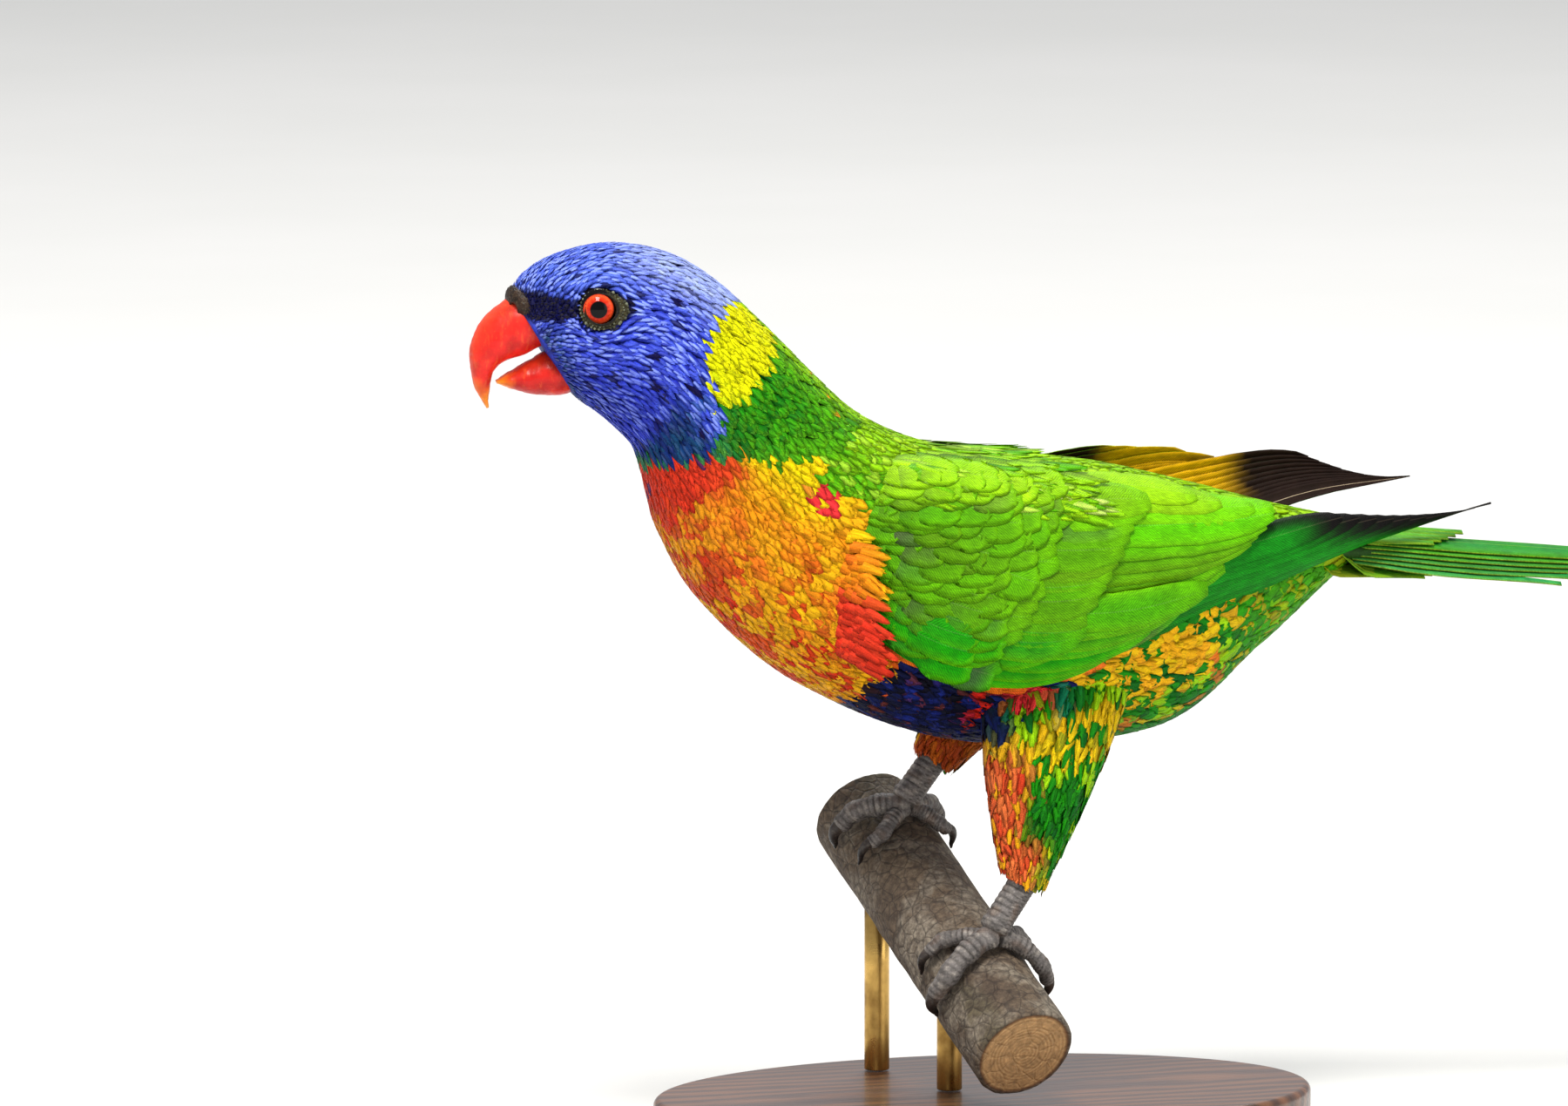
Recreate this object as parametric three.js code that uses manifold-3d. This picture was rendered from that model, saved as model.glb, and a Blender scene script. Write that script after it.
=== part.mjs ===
// A life-size rainbow lorikeet gripping a cut length of branch on a flat base, in millimetres.
// X runs from the bill (low) to the tail (high), the bird's left side faces -Y, and Z is up
// from the underside of the base. The head is turned a little to the bird's right.
import * as THREE from "three";
import { mergeVertices } from "three/addons/utils/BufferGeometryUtils.js";
import Module from "manifold-3d";

const wasm = await Module();
wasm.setup();

// Clearances
const GAP = 0.3;
const HALF_GAP = GAP / 2;

// The body's outline: back and breast points in the plane of symmetry, and half the width there.
const BODY = [
  { place: "bill base", back: [-102.4, 177.8], breast: [-89.3, 157.0], half: 7.2 },
  { place: "brow", back: [-98.6, 182.2], breast: [-87.2, 155.2], half: 9.8 },
  { place: "forehead", back: [-92.2, 185.7], breast: [-84.4, 153.3], half: 11.9 },
  { place: "crown", back: [-81.4, 187.8], breast: [-81.0, 150.5], half: 13.4 },
  { place: "hind crown", back: [-69.6, 186.4], breast: [-78.5, 148.1], half: 14.2 },
  { place: "occiput", back: [-59.6, 181.4], breast: [-76.6, 145.9], half: 14.3 },
  { place: "nape", back: [-49.4, 171.9], breast: [-75.1, 142.3], half: 14.6 },
  { place: "neck", back: [-38.0, 159.5], breast: [-73.0, 135.1], half: 16.4 },
  { place: "neck base", back: [-27.6, 150.8], breast: [-69.9, 126.7], half: 18.6 },
  { place: "shoulder", back: [-13.3, 144.6], breast: [-60.8, 112.4], half: 21.4 },
  { place: "keel", back: [3.8, 141.7], breast: [-39.9, 95.0], half: 22.8 },
  { place: "belly", back: [24.7, 138.9], breast: [-5.7, 82.2], half: 22.0 },
  { place: "vent", back: [45.6, 133.7], breast: [36.1, 83.0], half: 17.2 },
  { place: "undertail", back: [60.8, 129.4], breast: [58.9, 98.4], half: 11.8 },
  { place: "tail root", back: [72.2, 126.6], breast: [76.0, 112.6], half: 8.4 },
];
const HEAD_END = 5.7;
const NECK_END = 8.2;
const BODY_END = BODY.length - 1;
const BODY_SIDES = 24;
const BODY_SQUARENESS = 2.15;
const HEAD_ROWS = 12;
const TORSO_ROWS = 14;

// The head's turn in degrees about a vertical line through the neck, and where along the body it fades
const HEAD_TURN = -10;
const TURN_X = -73.2;
const TURN_FULL_TO = 5;
const TURN_ENDS_AT = 8;

// Eyes, lids and bill
const EYE = { x: -86.8, z: 174.6, radius: 4.6, iris: 3.15, sides: 14, rows: 9 };
const LID = { long: 4.6, high: 3.9, tube: 0.85, point: 0.9, steps: 16, sides: 5 };
const BILL_UPPER = [
  { back: [-99.9, 177.6], breast: [-90.6, 167.6], half: 5.4 },
  { back: [-102.9, 176.4], breast: [-94.6, 167.0], half: 5.9 },
  { back: [-107.1, 172.9], breast: [-98.9, 165.1], half: 5.5 },
  { back: [-109.5, 168.9], breast: [-102.8, 163.8], half: 4.6 },
  { back: [-110.2, 164.6], breast: [-105.1, 162.0], half: 3.6 },
  { back: [-109.5, 159.6], breast: [-105.8, 159.2], half: 2.3 },
  { back: [-108.0, 156.3], breast: [-106.2, 156.3], half: 1.2 },
  { back: [-106.7, 154.2], breast: [-106.2, 154.4], half: 0.4 },
];
const BILL_LOWER = [
  { back: [-90.6, 166.0], breast: [-87.6, 158.4], half: 4.9 },
  { back: [-94.2, 165.9], breast: [-89.9, 156.9], half: 5.3 },
  { back: [-97.3, 164.3], breast: [-94.1, 156.6], half: 4.9 },
  { back: [-100.4, 162.6], breast: [-98.6, 157.2], half: 4.0 },
  { back: [-103.1, 161.0], breast: [-102.2, 158.3], half: 2.8 },
  { back: [-104.8, 160.0], breast: [-104.5, 159.2], half: 1.2 },
];
const BILL_SIDES = 12;
const CERE = { x: -99.9, z: 175.3, long: 3.0, high: 4.7, wide: 6.4, tilt: 0.62 };
const NOSTRIL = { x: -102.6, z: 175.2, y: 3.9, radius: 0.9, depth: 2.2 };

// The perch: a cut branch under both feet
const PERCH_RADIUS = 11;
const NEAR_GRIP = new THREE.Vector3(-5.2, -12.3, 32.1);
const FAR_GRIP = new THREE.Vector3(-10.4, 25.7, 54.6);
const PERCH_OVERHANG = { near: 22, far: 15 };
const PERCH_SIDES = 24;
const PERCH_ROWS = 4;

// Base and rods
const BASE = { long: 140, wide: 100, high: 9, edge: 1.6, sides: 40 };
const ROD_RADIUS = 2.6;
const ROD_SPOTS = [0.35, 1.18];

// Legs: the ankle is where the feathering ends, front and rear points and half width
const LEGS = [
  { name: "left", grip: NEAR_GRIP, side: -1, ankleFront: [-3.1, 56.4], ankleRear: [5.4, 51.6], reach: 1 },
  { name: "right", grip: FAR_GRIP, side: 1, ankleFront: [-8.0, 78.4], ankleRear: [-0.4, 72.2], reach: 0.8 },
];
const THIGH_TOP_Z = 105;
const THIGH = { front: -6, rear: 31, topHalf: 3.2, bulge: 4.0, ankleHalf: 4.1, y: 12.4, narrowing: 1.25 };
const THIGH_ROWS = 8;
const THIGH_SIDES = 14;
const TARSUS_RADIUS = 3.0;
const FOOT_Y = 19;

// Toes by the angle they reach round the perch, their drift along it and their radius
const TOES = [
  { name: "inner_front", reach: 62, drift: 5.2, radius: 1.95 },
  { name: "outer_front", reach: 80, drift: -4.2, radius: 2.6 },
  { name: "inner_rear", reach: -50, drift: 4.2, radius: 1.85 },
  { name: "outer_rear", reach: -70, drift: -4.8, radius: 2.05 },
];
const TOE_SIDES = 8;
const TOE_ROWS = 6;
const TOE_TAPER = 0.22;
const TOE_ROOT_TURN = 4;
const CLAW_SIDES = 5;
const CLAW_ROWS = 5;
const CLAW_TURN = 26;

// The wing's sheet: a rounded shell outside the body, by stations along X
const WING_SHEET = [
  { x: -46, z: 124, high: 22, wide: 16.5 },
  { x: -25, z: 117, high: 29, wide: 24.5 },
  { x: 0, z: 112, high: 31, wide: 27 },
  { x: 25, z: 112, high: 29, wide: 25.5 },
  { x: 50, z: 116, high: 19, wide: 19.5 },
  { x: 80, z: 122.5, high: 11, wide: 14.2 },
  { x: 112, z: 126.8, high: 5, wide: 8 },
];
// The right wing is lifted behind the back and rolled open a little.
const RAISED = { from: -5, over: 50, lift: 7.5, roll: 24, rollFrom: 10, rollOver: 50, y: 14, below: 5 };

// The wing's core, which carries the feathers: where it starts and ends, its edges in degrees
// from the widest line, and its thickness to each side of the sheet, at even steps along it
const CORE = {
  from: -44,
  to: 24,
  low: [-4, -31, -31, -8],
  up: [34, 72, 72, 62],
  inner: [3.4, 3.4, 3.3, 1.7],
  outer: [0.9, 2.5, 1.5, 0.4],
};
const CORE_UNDER_SHEET = 0.6;
const CORE_ROWS = 6;
const CORE_ACROSS = 5;

// The wing's rows of feathers. Each goes from the lowest feather to the highest: roots and tips
// as x and degrees up from the widest line, how far the middle sags, the width and the height
// over the sheet at the tip. The root is sunk into the core.
const WING_ROWS = [
  { row: "primaries", count: 6, root: [[-4, -16], [10, 8]], tip: [[111, -6], [74, 26]],
    sag: [-4, 0], width: [7.5, 8.5], out: [-4.5, -0.5],
    tilt: 0, sink: 0.2, point: 0.25, steps: 5, flat: true },
  { row: "secondaries", count: 6, root: [[-28, -18], [-8, 33]], tip: [[33, -5], [56, 38]],
    sag: [-15, -2], width: [12, 11], out: [-0.9, 1.7], tilt: 0.4, sink: 0.5, point: 0.5, steps: 4 },
  { row: "tertials", count: 3, root: [[-4, 40], [2, 56]], tip: [[54, 45], [34, 60]],
    sag: [0, 2], width: [10, 9], out: [1.0, 1.4], tilt: 0.45, sink: 0.5, point: 0.4, steps: 3 },
  { row: "greater_coverts", count: 6, root: [[-24, -12], [-2, 40]], tip: [[3, -21], [24, 41]],
    sag: [-4, 0], width: [12, 12], out: [2.5, 2.5],
    tilt: 0.45, sink: 1.3, point: 0.6, steps: 2, flat: true },
  { row: "median_coverts", count: 6, root: [[-32, -10], [-12, 44]], tip: [[-11, -19], [11, 43]],
    sag: [-3, 0], width: [11, 11], out: [3.1, 3.1],
    tilt: 0.4, sink: 1.4, point: 0.6, steps: 2, flat: true },
  { row: "lesser_coverts", count: 6, root: [[-40, -4], [-24, 50]], tip: [[-22, -16], [-3, 48]],
    sag: [-2, 0], width: [10.5, 10.5], out: [3.6, 3.4],
    tilt: 0.35, sink: 1.5, point: 0.6, steps: 2, flat: true },
  { row: "scapulars", count: 3, root: [[-26, 56], [-18, 70]], tip: [[20, 56], [8, 70]],
    sag: [0, 0], width: [11, 10], out: [4.3, 3.6], tilt: 0.4, sink: 1.6, point: 0.5, steps: 2 },
];
// A vane: its thickness, its width at the root, the share of its length by which it is full
// wide, from which it narrows, and by which it has risen to its height and tilted fully
const VANE = { thick: 0.55, root: 0.55, wideBy: 0.35, narrowsFrom: 0.72, risenBy: 1 / 3, tiltedBy: 0.25 };

// The tail: its slope in degrees, and the fall of its roof to each side
const TAIL = { x: 74, z: 122.4, tipX: 181, slope: 6, roof: 0.22 };
// The tail's core behind the body: half width and half height where it starts and where it ends
const TAIL_CORE = { from: 78, to: 90, half: [8.2, 6.5], high: [6.6, 2.6], drop: 3.4, rows: 3 };
// The tail's twelve feathers from the middle pair out: each is shorter, further out and lower
const RECTRICES = { pairs: 6, rootX: 79, rootY: 3.5, tipY: 2.7, shorter: 11.5, further: 1.8, lower: 0.85 };
const RECTRIX = { width: 9.2, root: 0.7, wideBy: 0.3, narrowsFrom: 0.35, tip: 0.1, steps: 4, foldedPairs: 2 };
// Short feathers over and under the tail's root
const TAIL_COVERTS = [
  { count: 4, rootX: 77, tipX: 108, rootY: 2.6, tipY: 3.8, out: 1.5, sink: 0.45 },
  { count: 4, rootX: 78, tipX: 105, rootY: 2.4, tipY: 3.4, out: -5.9, sink: -0.4 },
];
const TAIL_COVERT = { width: 7.5, shorter: 5, lower: 0.4, steps: 2 };

// Numbers and curves

const lerp = (a, b, t) => a + (b - a) * t;
const clamp = (v, low, high) => Math.min(high, Math.max(low, v));
const smoothstep = (t) => clamp(t, 0, 1) ** 2 * (3 - 2 * clamp(t, 0, 1));
const degrees = THREE.MathUtils.degToRad;

// A smooth value at place s of a list, whose whole numbers are its items.
function smooth(values, s) {
  const last = values.length - 1;
  const i = clamp(Math.floor(s), 0, last - 1);
  const t = clamp(s, 0, last) - i;
  const at = (k) => {
    if (k < 0) return 2 * values[0] - values[1];
    if (k > last) return 2 * values[last] - values[last - 1];
    return values[k];
  };
  const [a, b, c, d] = [at(i - 1), at(i), at(i + 1), at(i + 2)];
  const slopes = [(c - a) / 2, (d - b) / 2];
  const h = t * t * (3 - 2 * t);
  return b * (1 - h) + c * h + slopes[0] * t * (1 - t) ** 2 - slopes[1] * t * t * (1 - t);
}

// The place s in a list of stations at which their x has the value given.
function placeAtX(stations, x) {
  let i = 0;
  while (i < stations.length - 2 && stations[i + 1].x < x) i += 1;
  return i + clamp((x - stations[i].x) / (stations[i + 1].x - stations[i].x), 0, 1);
}

// Closed surfaces

// A skin over rings of points, closed by flat ends or, where looped is true, onto itself.
// Where alike is true, the second half of each ring is split into triangles as the first is.
function skin(rings, { looped = false, alike = false } = {}) {
  const around = rings[0].length;
  const points = rings.flat();
  const faces = [];
  const steps = looped ? rings.length : rings.length - 1;
  for (let i = 0; i < steps; i += 1) {
    for (let j = 0; j < around; j += 1) {
      const next = (j + 1) % around;
      const row = ((i + 1) % rings.length) * around;
      const [a, b, c, d] = [i * around + j, i * around + next, row + next, row + j];
      if (alike && j >= around / 2) faces.push(a, b, d, b, c, d);
      else faces.push(a, b, c, a, c, d);
    }
  }
  if (!looped) {
    for (const end of [0, rings.length - 1]) {
      const ring = rings[end];
      const middle = ring.reduce((sum, p) => sum.add(p), new THREE.Vector3()).divideScalar(around);
      points.push(middle);
      for (let j = 0; j < around; j += 1) {
        const [p, q] = [end * around + j, end * around + ((j + 1) % around)];
        if (end === 0) faces.push(points.length - 1, q, p);
        else faces.push(points.length - 1, p, q);
      }
    }
  }
  const geometry = new THREE.BufferGeometry().setFromPoints(points);
  geometry.setIndex(faces);
  return outward(geometry);
}

// The geometry with its faces turned outward.
function outward(geometry) {
  const p = geometry.getAttribute("position");
  const index = geometry.index.array;
  const [a, b, c] = [new THREE.Vector3(), new THREE.Vector3(), new THREE.Vector3()];
  let volume = 0;
  for (let i = 0; i < index.length; i += 3) {
    a.fromBufferAttribute(p, index[i]);
    b.fromBufferAttribute(p, index[i + 1]);
    c.fromBufferAttribute(p, index[i + 2]);
    volume += a.dot(b.cross(c));
  }
  if (volume > 0) return geometry;
  const turned = [];
  for (let i = 0; i < index.length; i += 3) turned.push(index[i], index[i + 2], index[i + 1]);
  geometry.setIndex(turned);
  return geometry;
}

// Solids

function solid(geometry) {
  const bare = geometry.clone();
  bare.deleteAttribute("normal");
  bare.deleteAttribute("uv");
  const merged = mergeVertices(bare, 1e-4);
  return new wasm.Manifold(
    new wasm.Mesh({
      numProp: 3,
      vertProperties: new Float32Array(merged.getAttribute("position").array),
      triVerts: new Uint32Array(merged.index.array),
    }),
  );
}

// The solids joined, as the largest closed surface of what they make.
function joined(solids) {
  return largest(solids.reduce((sum, next) => sum.add(next)));
}

function largest(body) {
  return body.decompose().reduce((best, next) => (next.volume() > best.volume() ? next : best));
}

function geometryOf(body) {
  const made = body.getMesh();
  const geometry = new THREE.BufferGeometry();
  geometry.setAttribute("position", new THREE.BufferAttribute(made.vertProperties, 3));
  geometry.setIndex(new THREE.BufferAttribute(made.triVerts, 1));
  return geometry;
}

// The body's form

// One ring round the body at place s, out from its surface, shifted along its own axis.
function bodyRing(
  s,
  { out = 0, shift = 0, stations = BODY, sides = BODY_SIDES, square = BODY_SQUARENESS } = {},
) {
  const value = (key, k) => smooth(stations.map((station) => station[key][k]), s);
  const back = new THREE.Vector3(value("back", 0), 0, value("back", 1));
  const breast = new THREE.Vector3(value("breast", 0), 0, value("breast", 1));
  const half = smooth(stations.map((station) => station.half), s);
  const middle = back.clone().add(breast).multiplyScalar(0.5);
  const up = back.clone().sub(breast);
  const depth = up.length() / 2;
  up.normalize();
  const along = new THREE.Vector3(up.z, 0, -up.x);
  const side = new THREE.Vector3(0, 1, 0);
  const round = (v) => Math.sign(v) * Math.abs(v) ** (2 / square);
  return Array.from({ length: sides }, (_, j) => {
    const angle = (2 * Math.PI * j) / sides;
    return middle
      .clone()
      .addScaledVector(up, (depth + out) * round(Math.cos(angle)))
      .addScaledVector(side, (half + out) * round(Math.sin(angle)))
      .addScaledVector(along, shift);
  });
}

// A point turned with the head, in full where share is 1.
function turned(point, share = 1) {
  const angle = degrees(HEAD_TURN) * share;
  const x = point.x - TURN_X;
  const y = point.y;
  point.x = TURN_X + x * Math.cos(angle) - y * Math.sin(angle);
  point.y = x * Math.sin(angle) + y * Math.cos(angle);
  return point;
}

// The body's skin from place s0 to s1, with flat ends.
function bodyForm(s0, s1, rows, { out = 0, shifts = [0, 0] } = {}) {
  const rings = [];
  for (let i = 0; i <= rows; i += 1) {
    const s = lerp(s0, s1, i / rows);
    const shift = i === 0 ? shifts[0] : i === rows ? shifts[1] : 0;
    const share = 1 - smoothstep((s - TURN_FULL_TO) / (TURN_ENDS_AT - TURN_FULL_TO));
    rings.push(bodyRing(s, { out, shift }).map((p) => turned(p, share)));
  }
  return solid(skin(rings));
}

// A bill half's skin, from stations like the body's, turned with the head.
function billForm(stations, rows, out = 0) {
  const rings = [];
  for (let i = 0; i <= rows; i += 1) {
    const s = ((stations.length - 1) * i) / rows;
    rings.push(bodyRing(s, { out, stations, sides: BILL_SIDES, square: 2 }).map((p) => turned(p)));
  }
  return solid(skin(rings));
}

// Half the head's width at a point of its side view.
function headHalfAt(x, z) {
  let best = { far: Infinity, y: 0 };
  for (let s = 0; s <= HEAD_END; s += 0.05) {
    for (const p of bodyRing(s, { sides: 90 })) {
      const far = (p.x - x) ** 2 + (p.z - z) ** 2;
      if (p.y > 0 && far < best.far) best = { far, y: p.y };
    }
  }
  return best.y;
}

// Head, lids, eyes and bill

const headTurned = new THREE.Matrix4()
  .makeTranslation(TURN_X, 0, 0)
  .multiply(new THREE.Matrix4().makeRotationZ(degrees(HEAD_TURN)))
  .multiply(new THREE.Matrix4().makeTranslation(-TURN_X, 0, 0));

const eyeHalf = headHalfAt(EYE.x, EYE.z);
const eyeDepth = Math.sqrt(EYE.radius ** 2 - EYE.iris ** 2);

function eyeBall(side, out = 0) {
  const ball = new THREE.SphereGeometry(EYE.radius + out, EYE.sides, EYE.rows);
  ball.translate(EYE.x, side * (eyeHalf - eyeDepth + 0.5), EYE.z);
  return solid(ball.applyMatrix4(headTurned));
}

// A ring of lid round the eye, drawn out to a point behind it.
function lidForm(side) {
  const rings = [];
  for (let i = 0; i < LID.steps; i += 1) {
    const angle = (2 * Math.PI * i) / LID.steps;
    const long = LID.long + LID.point * Math.max(0, Math.cos(angle)) ** 6;
    const out = new THREE.Vector3(Math.cos(angle), 0, Math.sin(angle));
    const middle = new THREE.Vector3(EYE.x + long * out.x, side * (eyeHalf + 0.1), EYE.z + LID.high * out.z);
    const ring = [];
    for (let j = 0; j < LID.sides; j += 1) {
      const turn = (2 * Math.PI * j) / LID.sides;
      const p = middle.clone().addScaledVector(out, LID.tube * 1.5 * Math.cos(turn));
      p.y += side * LID.tube * Math.sin(turn);
      ring.push(p.applyMatrix4(headTurned));
    }
    rings.push(ring);
  }
  return solid(skin(rings, { looped: true }));
}

function cereForm(out = 0) {
  const bulge = new THREE.SphereGeometry(1, 12, 8);
  bulge.scale(CERE.long + out, CERE.wide + out, CERE.high + out);
  bulge.rotateY(-CERE.tilt);
  bulge.translate(CERE.x, 0, CERE.z);
  return solid(bulge.applyMatrix4(headTurned));
}

function nostril(side) {
  const hole = new THREE.CylinderGeometry(NOSTRIL.radius, NOSTRIL.radius, NOSTRIL.depth, 10);
  hole.translate(NOSTRIL.x, side * (NOSTRIL.y + NOSTRIL.depth / 2), NOSTRIL.z);
  return solid(hole.applyMatrix4(headTurned));
}

function headParts() {
  const form = bodyForm(0, HEAD_END, HEAD_ROWS, { shifts: [0, -HALF_GAP] });
  const sockets = [-1, 1].map((side) => eyeBall(side, GAP));
  const lids = [-1, 1].map(lidForm);
  const head = largest(joined([form, ...lids]).subtract(sockets[0]).subtract(sockets[1]));
  const clear = bodyForm(0, HEAD_END, HEAD_ROWS, { out: GAP, shifts: [-GAP, 0] });
  const cere = largest(cereForm().subtract(clear).subtract(nostril(-1)).subtract(nostril(1)));
  const upper = largest(billForm(BILL_UPPER, 13).subtract(clear).subtract(cereForm(GAP)));
  const lower = largest(billForm(BILL_LOWER, 10).subtract(clear));
  return {
    head,
    cere,
    bill_upper: upper,
    bill_lower: lower,
    eye_left: eyeBall(-1),
    eye_right: eyeBall(1),
  };
}

// Perch, base and rods

const perchAlong = FAR_GRIP.clone().sub(NEAR_GRIP).normalize();
const perchSpan = FAR_GRIP.distanceTo(NEAR_GRIP);
const perchFront = new THREE.Vector3(0, 0, 1).cross(perchAlong).normalize();
const perchUp = perchAlong.clone().cross(perchFront).normalize();
if (perchUp.z < 0) perchUp.negate();
if (perchFront.x > 0) perchFront.negate();

// A point at a distance along the perch from the near grip, at an angle from its top to its front.
function aroundPerch(along, angle, radius) {
  return NEAR_GRIP.clone()
    .addScaledVector(perchAlong, along)
    .addScaledVector(perchUp, radius * Math.cos(angle))
    .addScaledVector(perchFront, radius * Math.sin(angle));
}

function perchForm(out = 0) {
  const rings = [];
  for (let i = 0; i <= PERCH_ROWS; i += 1) {
    const along = lerp(-PERCH_OVERHANG.near, perchSpan + PERCH_OVERHANG.far, i / PERCH_ROWS);
    const ring = [];
    for (let j = 0; j < PERCH_SIDES; j += 1) {
      ring.push(aroundPerch(along, (2 * Math.PI * j) / PERCH_SIDES, PERCH_RADIUS + out));
    }
    rings.push(ring);
  }
  return solid(skin(rings));
}

function baseForm() {
  const ring = (inset, z) =>
    Array.from({ length: BASE.sides }, (_, j) => {
      const angle = (2 * Math.PI * j) / BASE.sides;
      const x = (BASE.long / 2 - inset) * Math.cos(angle);
      return new THREE.Vector3(x, (BASE.wide / 2 - inset) * Math.sin(angle), z);
    });
  return solid(skin([ring(0, 0), ring(0, BASE.high - BASE.edge), ring(BASE.edge, BASE.high)]));
}

function rodForm(spot) {
  const top = aroundPerch(spot * perchSpan, 0, 0);
  const bottom = BASE.high + GAP;
  const rod = new THREE.CylinderGeometry(ROD_RADIUS, ROD_RADIUS, top.z - bottom, 16);
  rod.rotateX(Math.PI / 2);
  rod.translate(top.x, top.y, (top.z + bottom) / 2);
  return largest(solid(rod).subtract(perchForm(GAP)));
}

// Legs

// The feathered thigh from inside the body down to the ankle, out from its surface.
function thighForm(leg, out = 0) {
  const rings = [];
  for (let i = 0; i <= THIGH_ROWS; i += 1) {
    const t = i / THIGH_ROWS;
    const fall = t ** THIGH.narrowing;
    const front = new THREE.Vector3(
      lerp(THIGH.front, leg.ankleFront[0], t ** 3),
      0,
      lerp(THIGH_TOP_Z, leg.ankleFront[1], t),
    );
    const rear = new THREE.Vector3(
      lerp(THIGH.rear, leg.ankleRear[0], fall),
      0,
      lerp(THIGH_TOP_Z, leg.ankleRear[1], t),
    );
    const bulge = THIGH.bulge * leg.reach * Math.sin(Math.PI * t) ** 2;
    const half = lerp(THIGH.topHalf, THIGH.ankleHalf, t ** 2) + bulge + out;
    const middle = front.clone().add(rear).multiplyScalar(0.5);
    const across = rear.clone().sub(front).multiplyScalar(0.5);
    const down = new THREE.Vector3(across.z, 0, -across.x).normalize();
    across.setLength(across.length() + out);
    middle.y = leg.side * lerp(THIGH.y, FOOT_Y, t);
    if (i === THIGH_ROWS) middle.addScaledVector(down, out);
    rings.push(
      Array.from({ length: THIGH_SIDES }, (_, j) => {
        const angle = (2 * Math.PI * j) / THIGH_SIDES;
        const p = middle.clone().addScaledVector(across, Math.cos(angle));
        p.y += half * Math.sin(angle);
        return p;
      }),
    );
  }
  return solid(skin(rings));
}

// A tube through points with a radius at each, as a solid with flat ends.
// Its sides lie round the direction it runs in, with the first towards up.
function tube(points, radii, sides, up) {
  const rings = points.map((point, i) => {
    const before = points[Math.max(0, i - 1)];
    const after = points[Math.min(points.length - 1, i + 1)];
    const along = after.clone().sub(before).normalize();
    const across = along.clone().cross(up(point)).normalize();
    const over = across.clone().cross(along).normalize();
    return Array.from({ length: sides }, (_, j) => {
      const angle = (2 * Math.PI * j) / sides;
      return point
        .clone()
        .addScaledVector(over, radii[i] * Math.cos(angle))
        .addScaledVector(across, radii[i] * Math.sin(angle));
    });
  });
  return solid(skin(rings));
}

// The way out from the perch's axis at a point.
function outFromPerch(point) {
  const from = point.clone().sub(NEAR_GRIP);
  from.addScaledVector(perchAlong, -from.dot(perchAlong));
  return from.normalize();
}

// One toe, from the ball of the foot round the perch, and its claw beyond it.
function toeForms(leg, toe) {
  const start = leg.grip === NEAR_GRIP ? 0 : perchSpan;
  const inner = -leg.side;
  const reach = degrees(toe.reach * leg.reach);
  const place = (t, lift, radius) => {
    const angle = lerp(degrees(TOE_ROOT_TURN), reach, t);
    const along = start + inner * toe.drift * Math.min(1, t * 1.4);
    return aroundPerch(along, angle, PERCH_RADIUS + GAP + radius + lift);
  };
  const points = [];
  const radii = [];
  for (let i = 0; i <= TOE_ROWS; i += 1) {
    const t = i / TOE_ROWS;
    const radius = toe.radius * (1 - TOE_TAPER * t);
    points.push(place(t, 0, radius));
    radii.push(radius);
  }
  const span = reach - degrees(TOE_ROOT_TURN);
  const clawPoints = [];
  const clawRadii = [];
  const gapTurn = GAP / (PERCH_RADIUS + toe.radius) / Math.abs(span);
  for (let i = 0; i <= CLAW_ROWS; i += 1) {
    const share = i / CLAW_ROWS;
    const radius = lerp(toe.radius * 0.62, 0.22, share ** 1.3);
    const t = 1 + gapTurn + (share * degrees(CLAW_TURN)) / Math.abs(span);
    clawPoints.push(place(t, 0.9 * Math.sin(Math.PI * Math.min(1, share + 0.25)), radius));
    clawRadii.push(radius);
  }
  return {
    toe: tube(points, radii, TOE_SIDES, outFromPerch),
    claw: tube(clawPoints, clawRadii, CLAW_SIDES, outFromPerch),
  };
}

function legParts(leg, torsoClear) {
  const parts = {};
  parts[`thigh_${leg.name}`] = largest(thighForm(leg).subtract(torsoClear));
  const front = new THREE.Vector3(leg.ankleFront[0], leg.side * FOOT_Y, leg.ankleFront[1]);
  const rear = new THREE.Vector3(leg.ankleRear[0], leg.side * FOOT_Y, leg.ankleRear[1]);
  const ankle = front.clone().add(rear).multiplyScalar(0.5);
  const start = leg.grip === NEAR_GRIP ? 0 : perchSpan;
  const ball = aroundPerch(start, degrees(6), PERCH_RADIUS + GAP + TARSUS_RADIUS + 0.3);
  const points = [];
  const radii = [];
  for (const t of [-0.2, 0.4, 1]) {
    points.push(ankle.clone().lerp(ball, t));
    radii.push(TARSUS_RADIUS);
  }
  const toes = TOES.map((toe) => toeForms(leg, toe));
  const tarsus = tube(points, radii, TOE_SIDES, () => new THREE.Vector3(0, 1, 0));
  const foot = joined([tarsus, ...toes.map((made) => made.toe)]);
  parts[`foot_${leg.name}`] = largest(foot.subtract(thighForm(leg, GAP)));
  toes.forEach((made, i) => {
    parts[`claw_${leg.name}_${TOES[i].name}`] = made.claw;
  });
  return parts;
}

// Wings

// The wing's sheet at x: its middle height, half height and half width.
function sheetAt(x) {
  const s = placeAtX(WING_SHEET, x);
  const value = (key) => smooth(WING_SHEET.map((station) => station[key]), s);
  return { z: value("z"), high: value("high"), wide: value("wide") };
}

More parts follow.
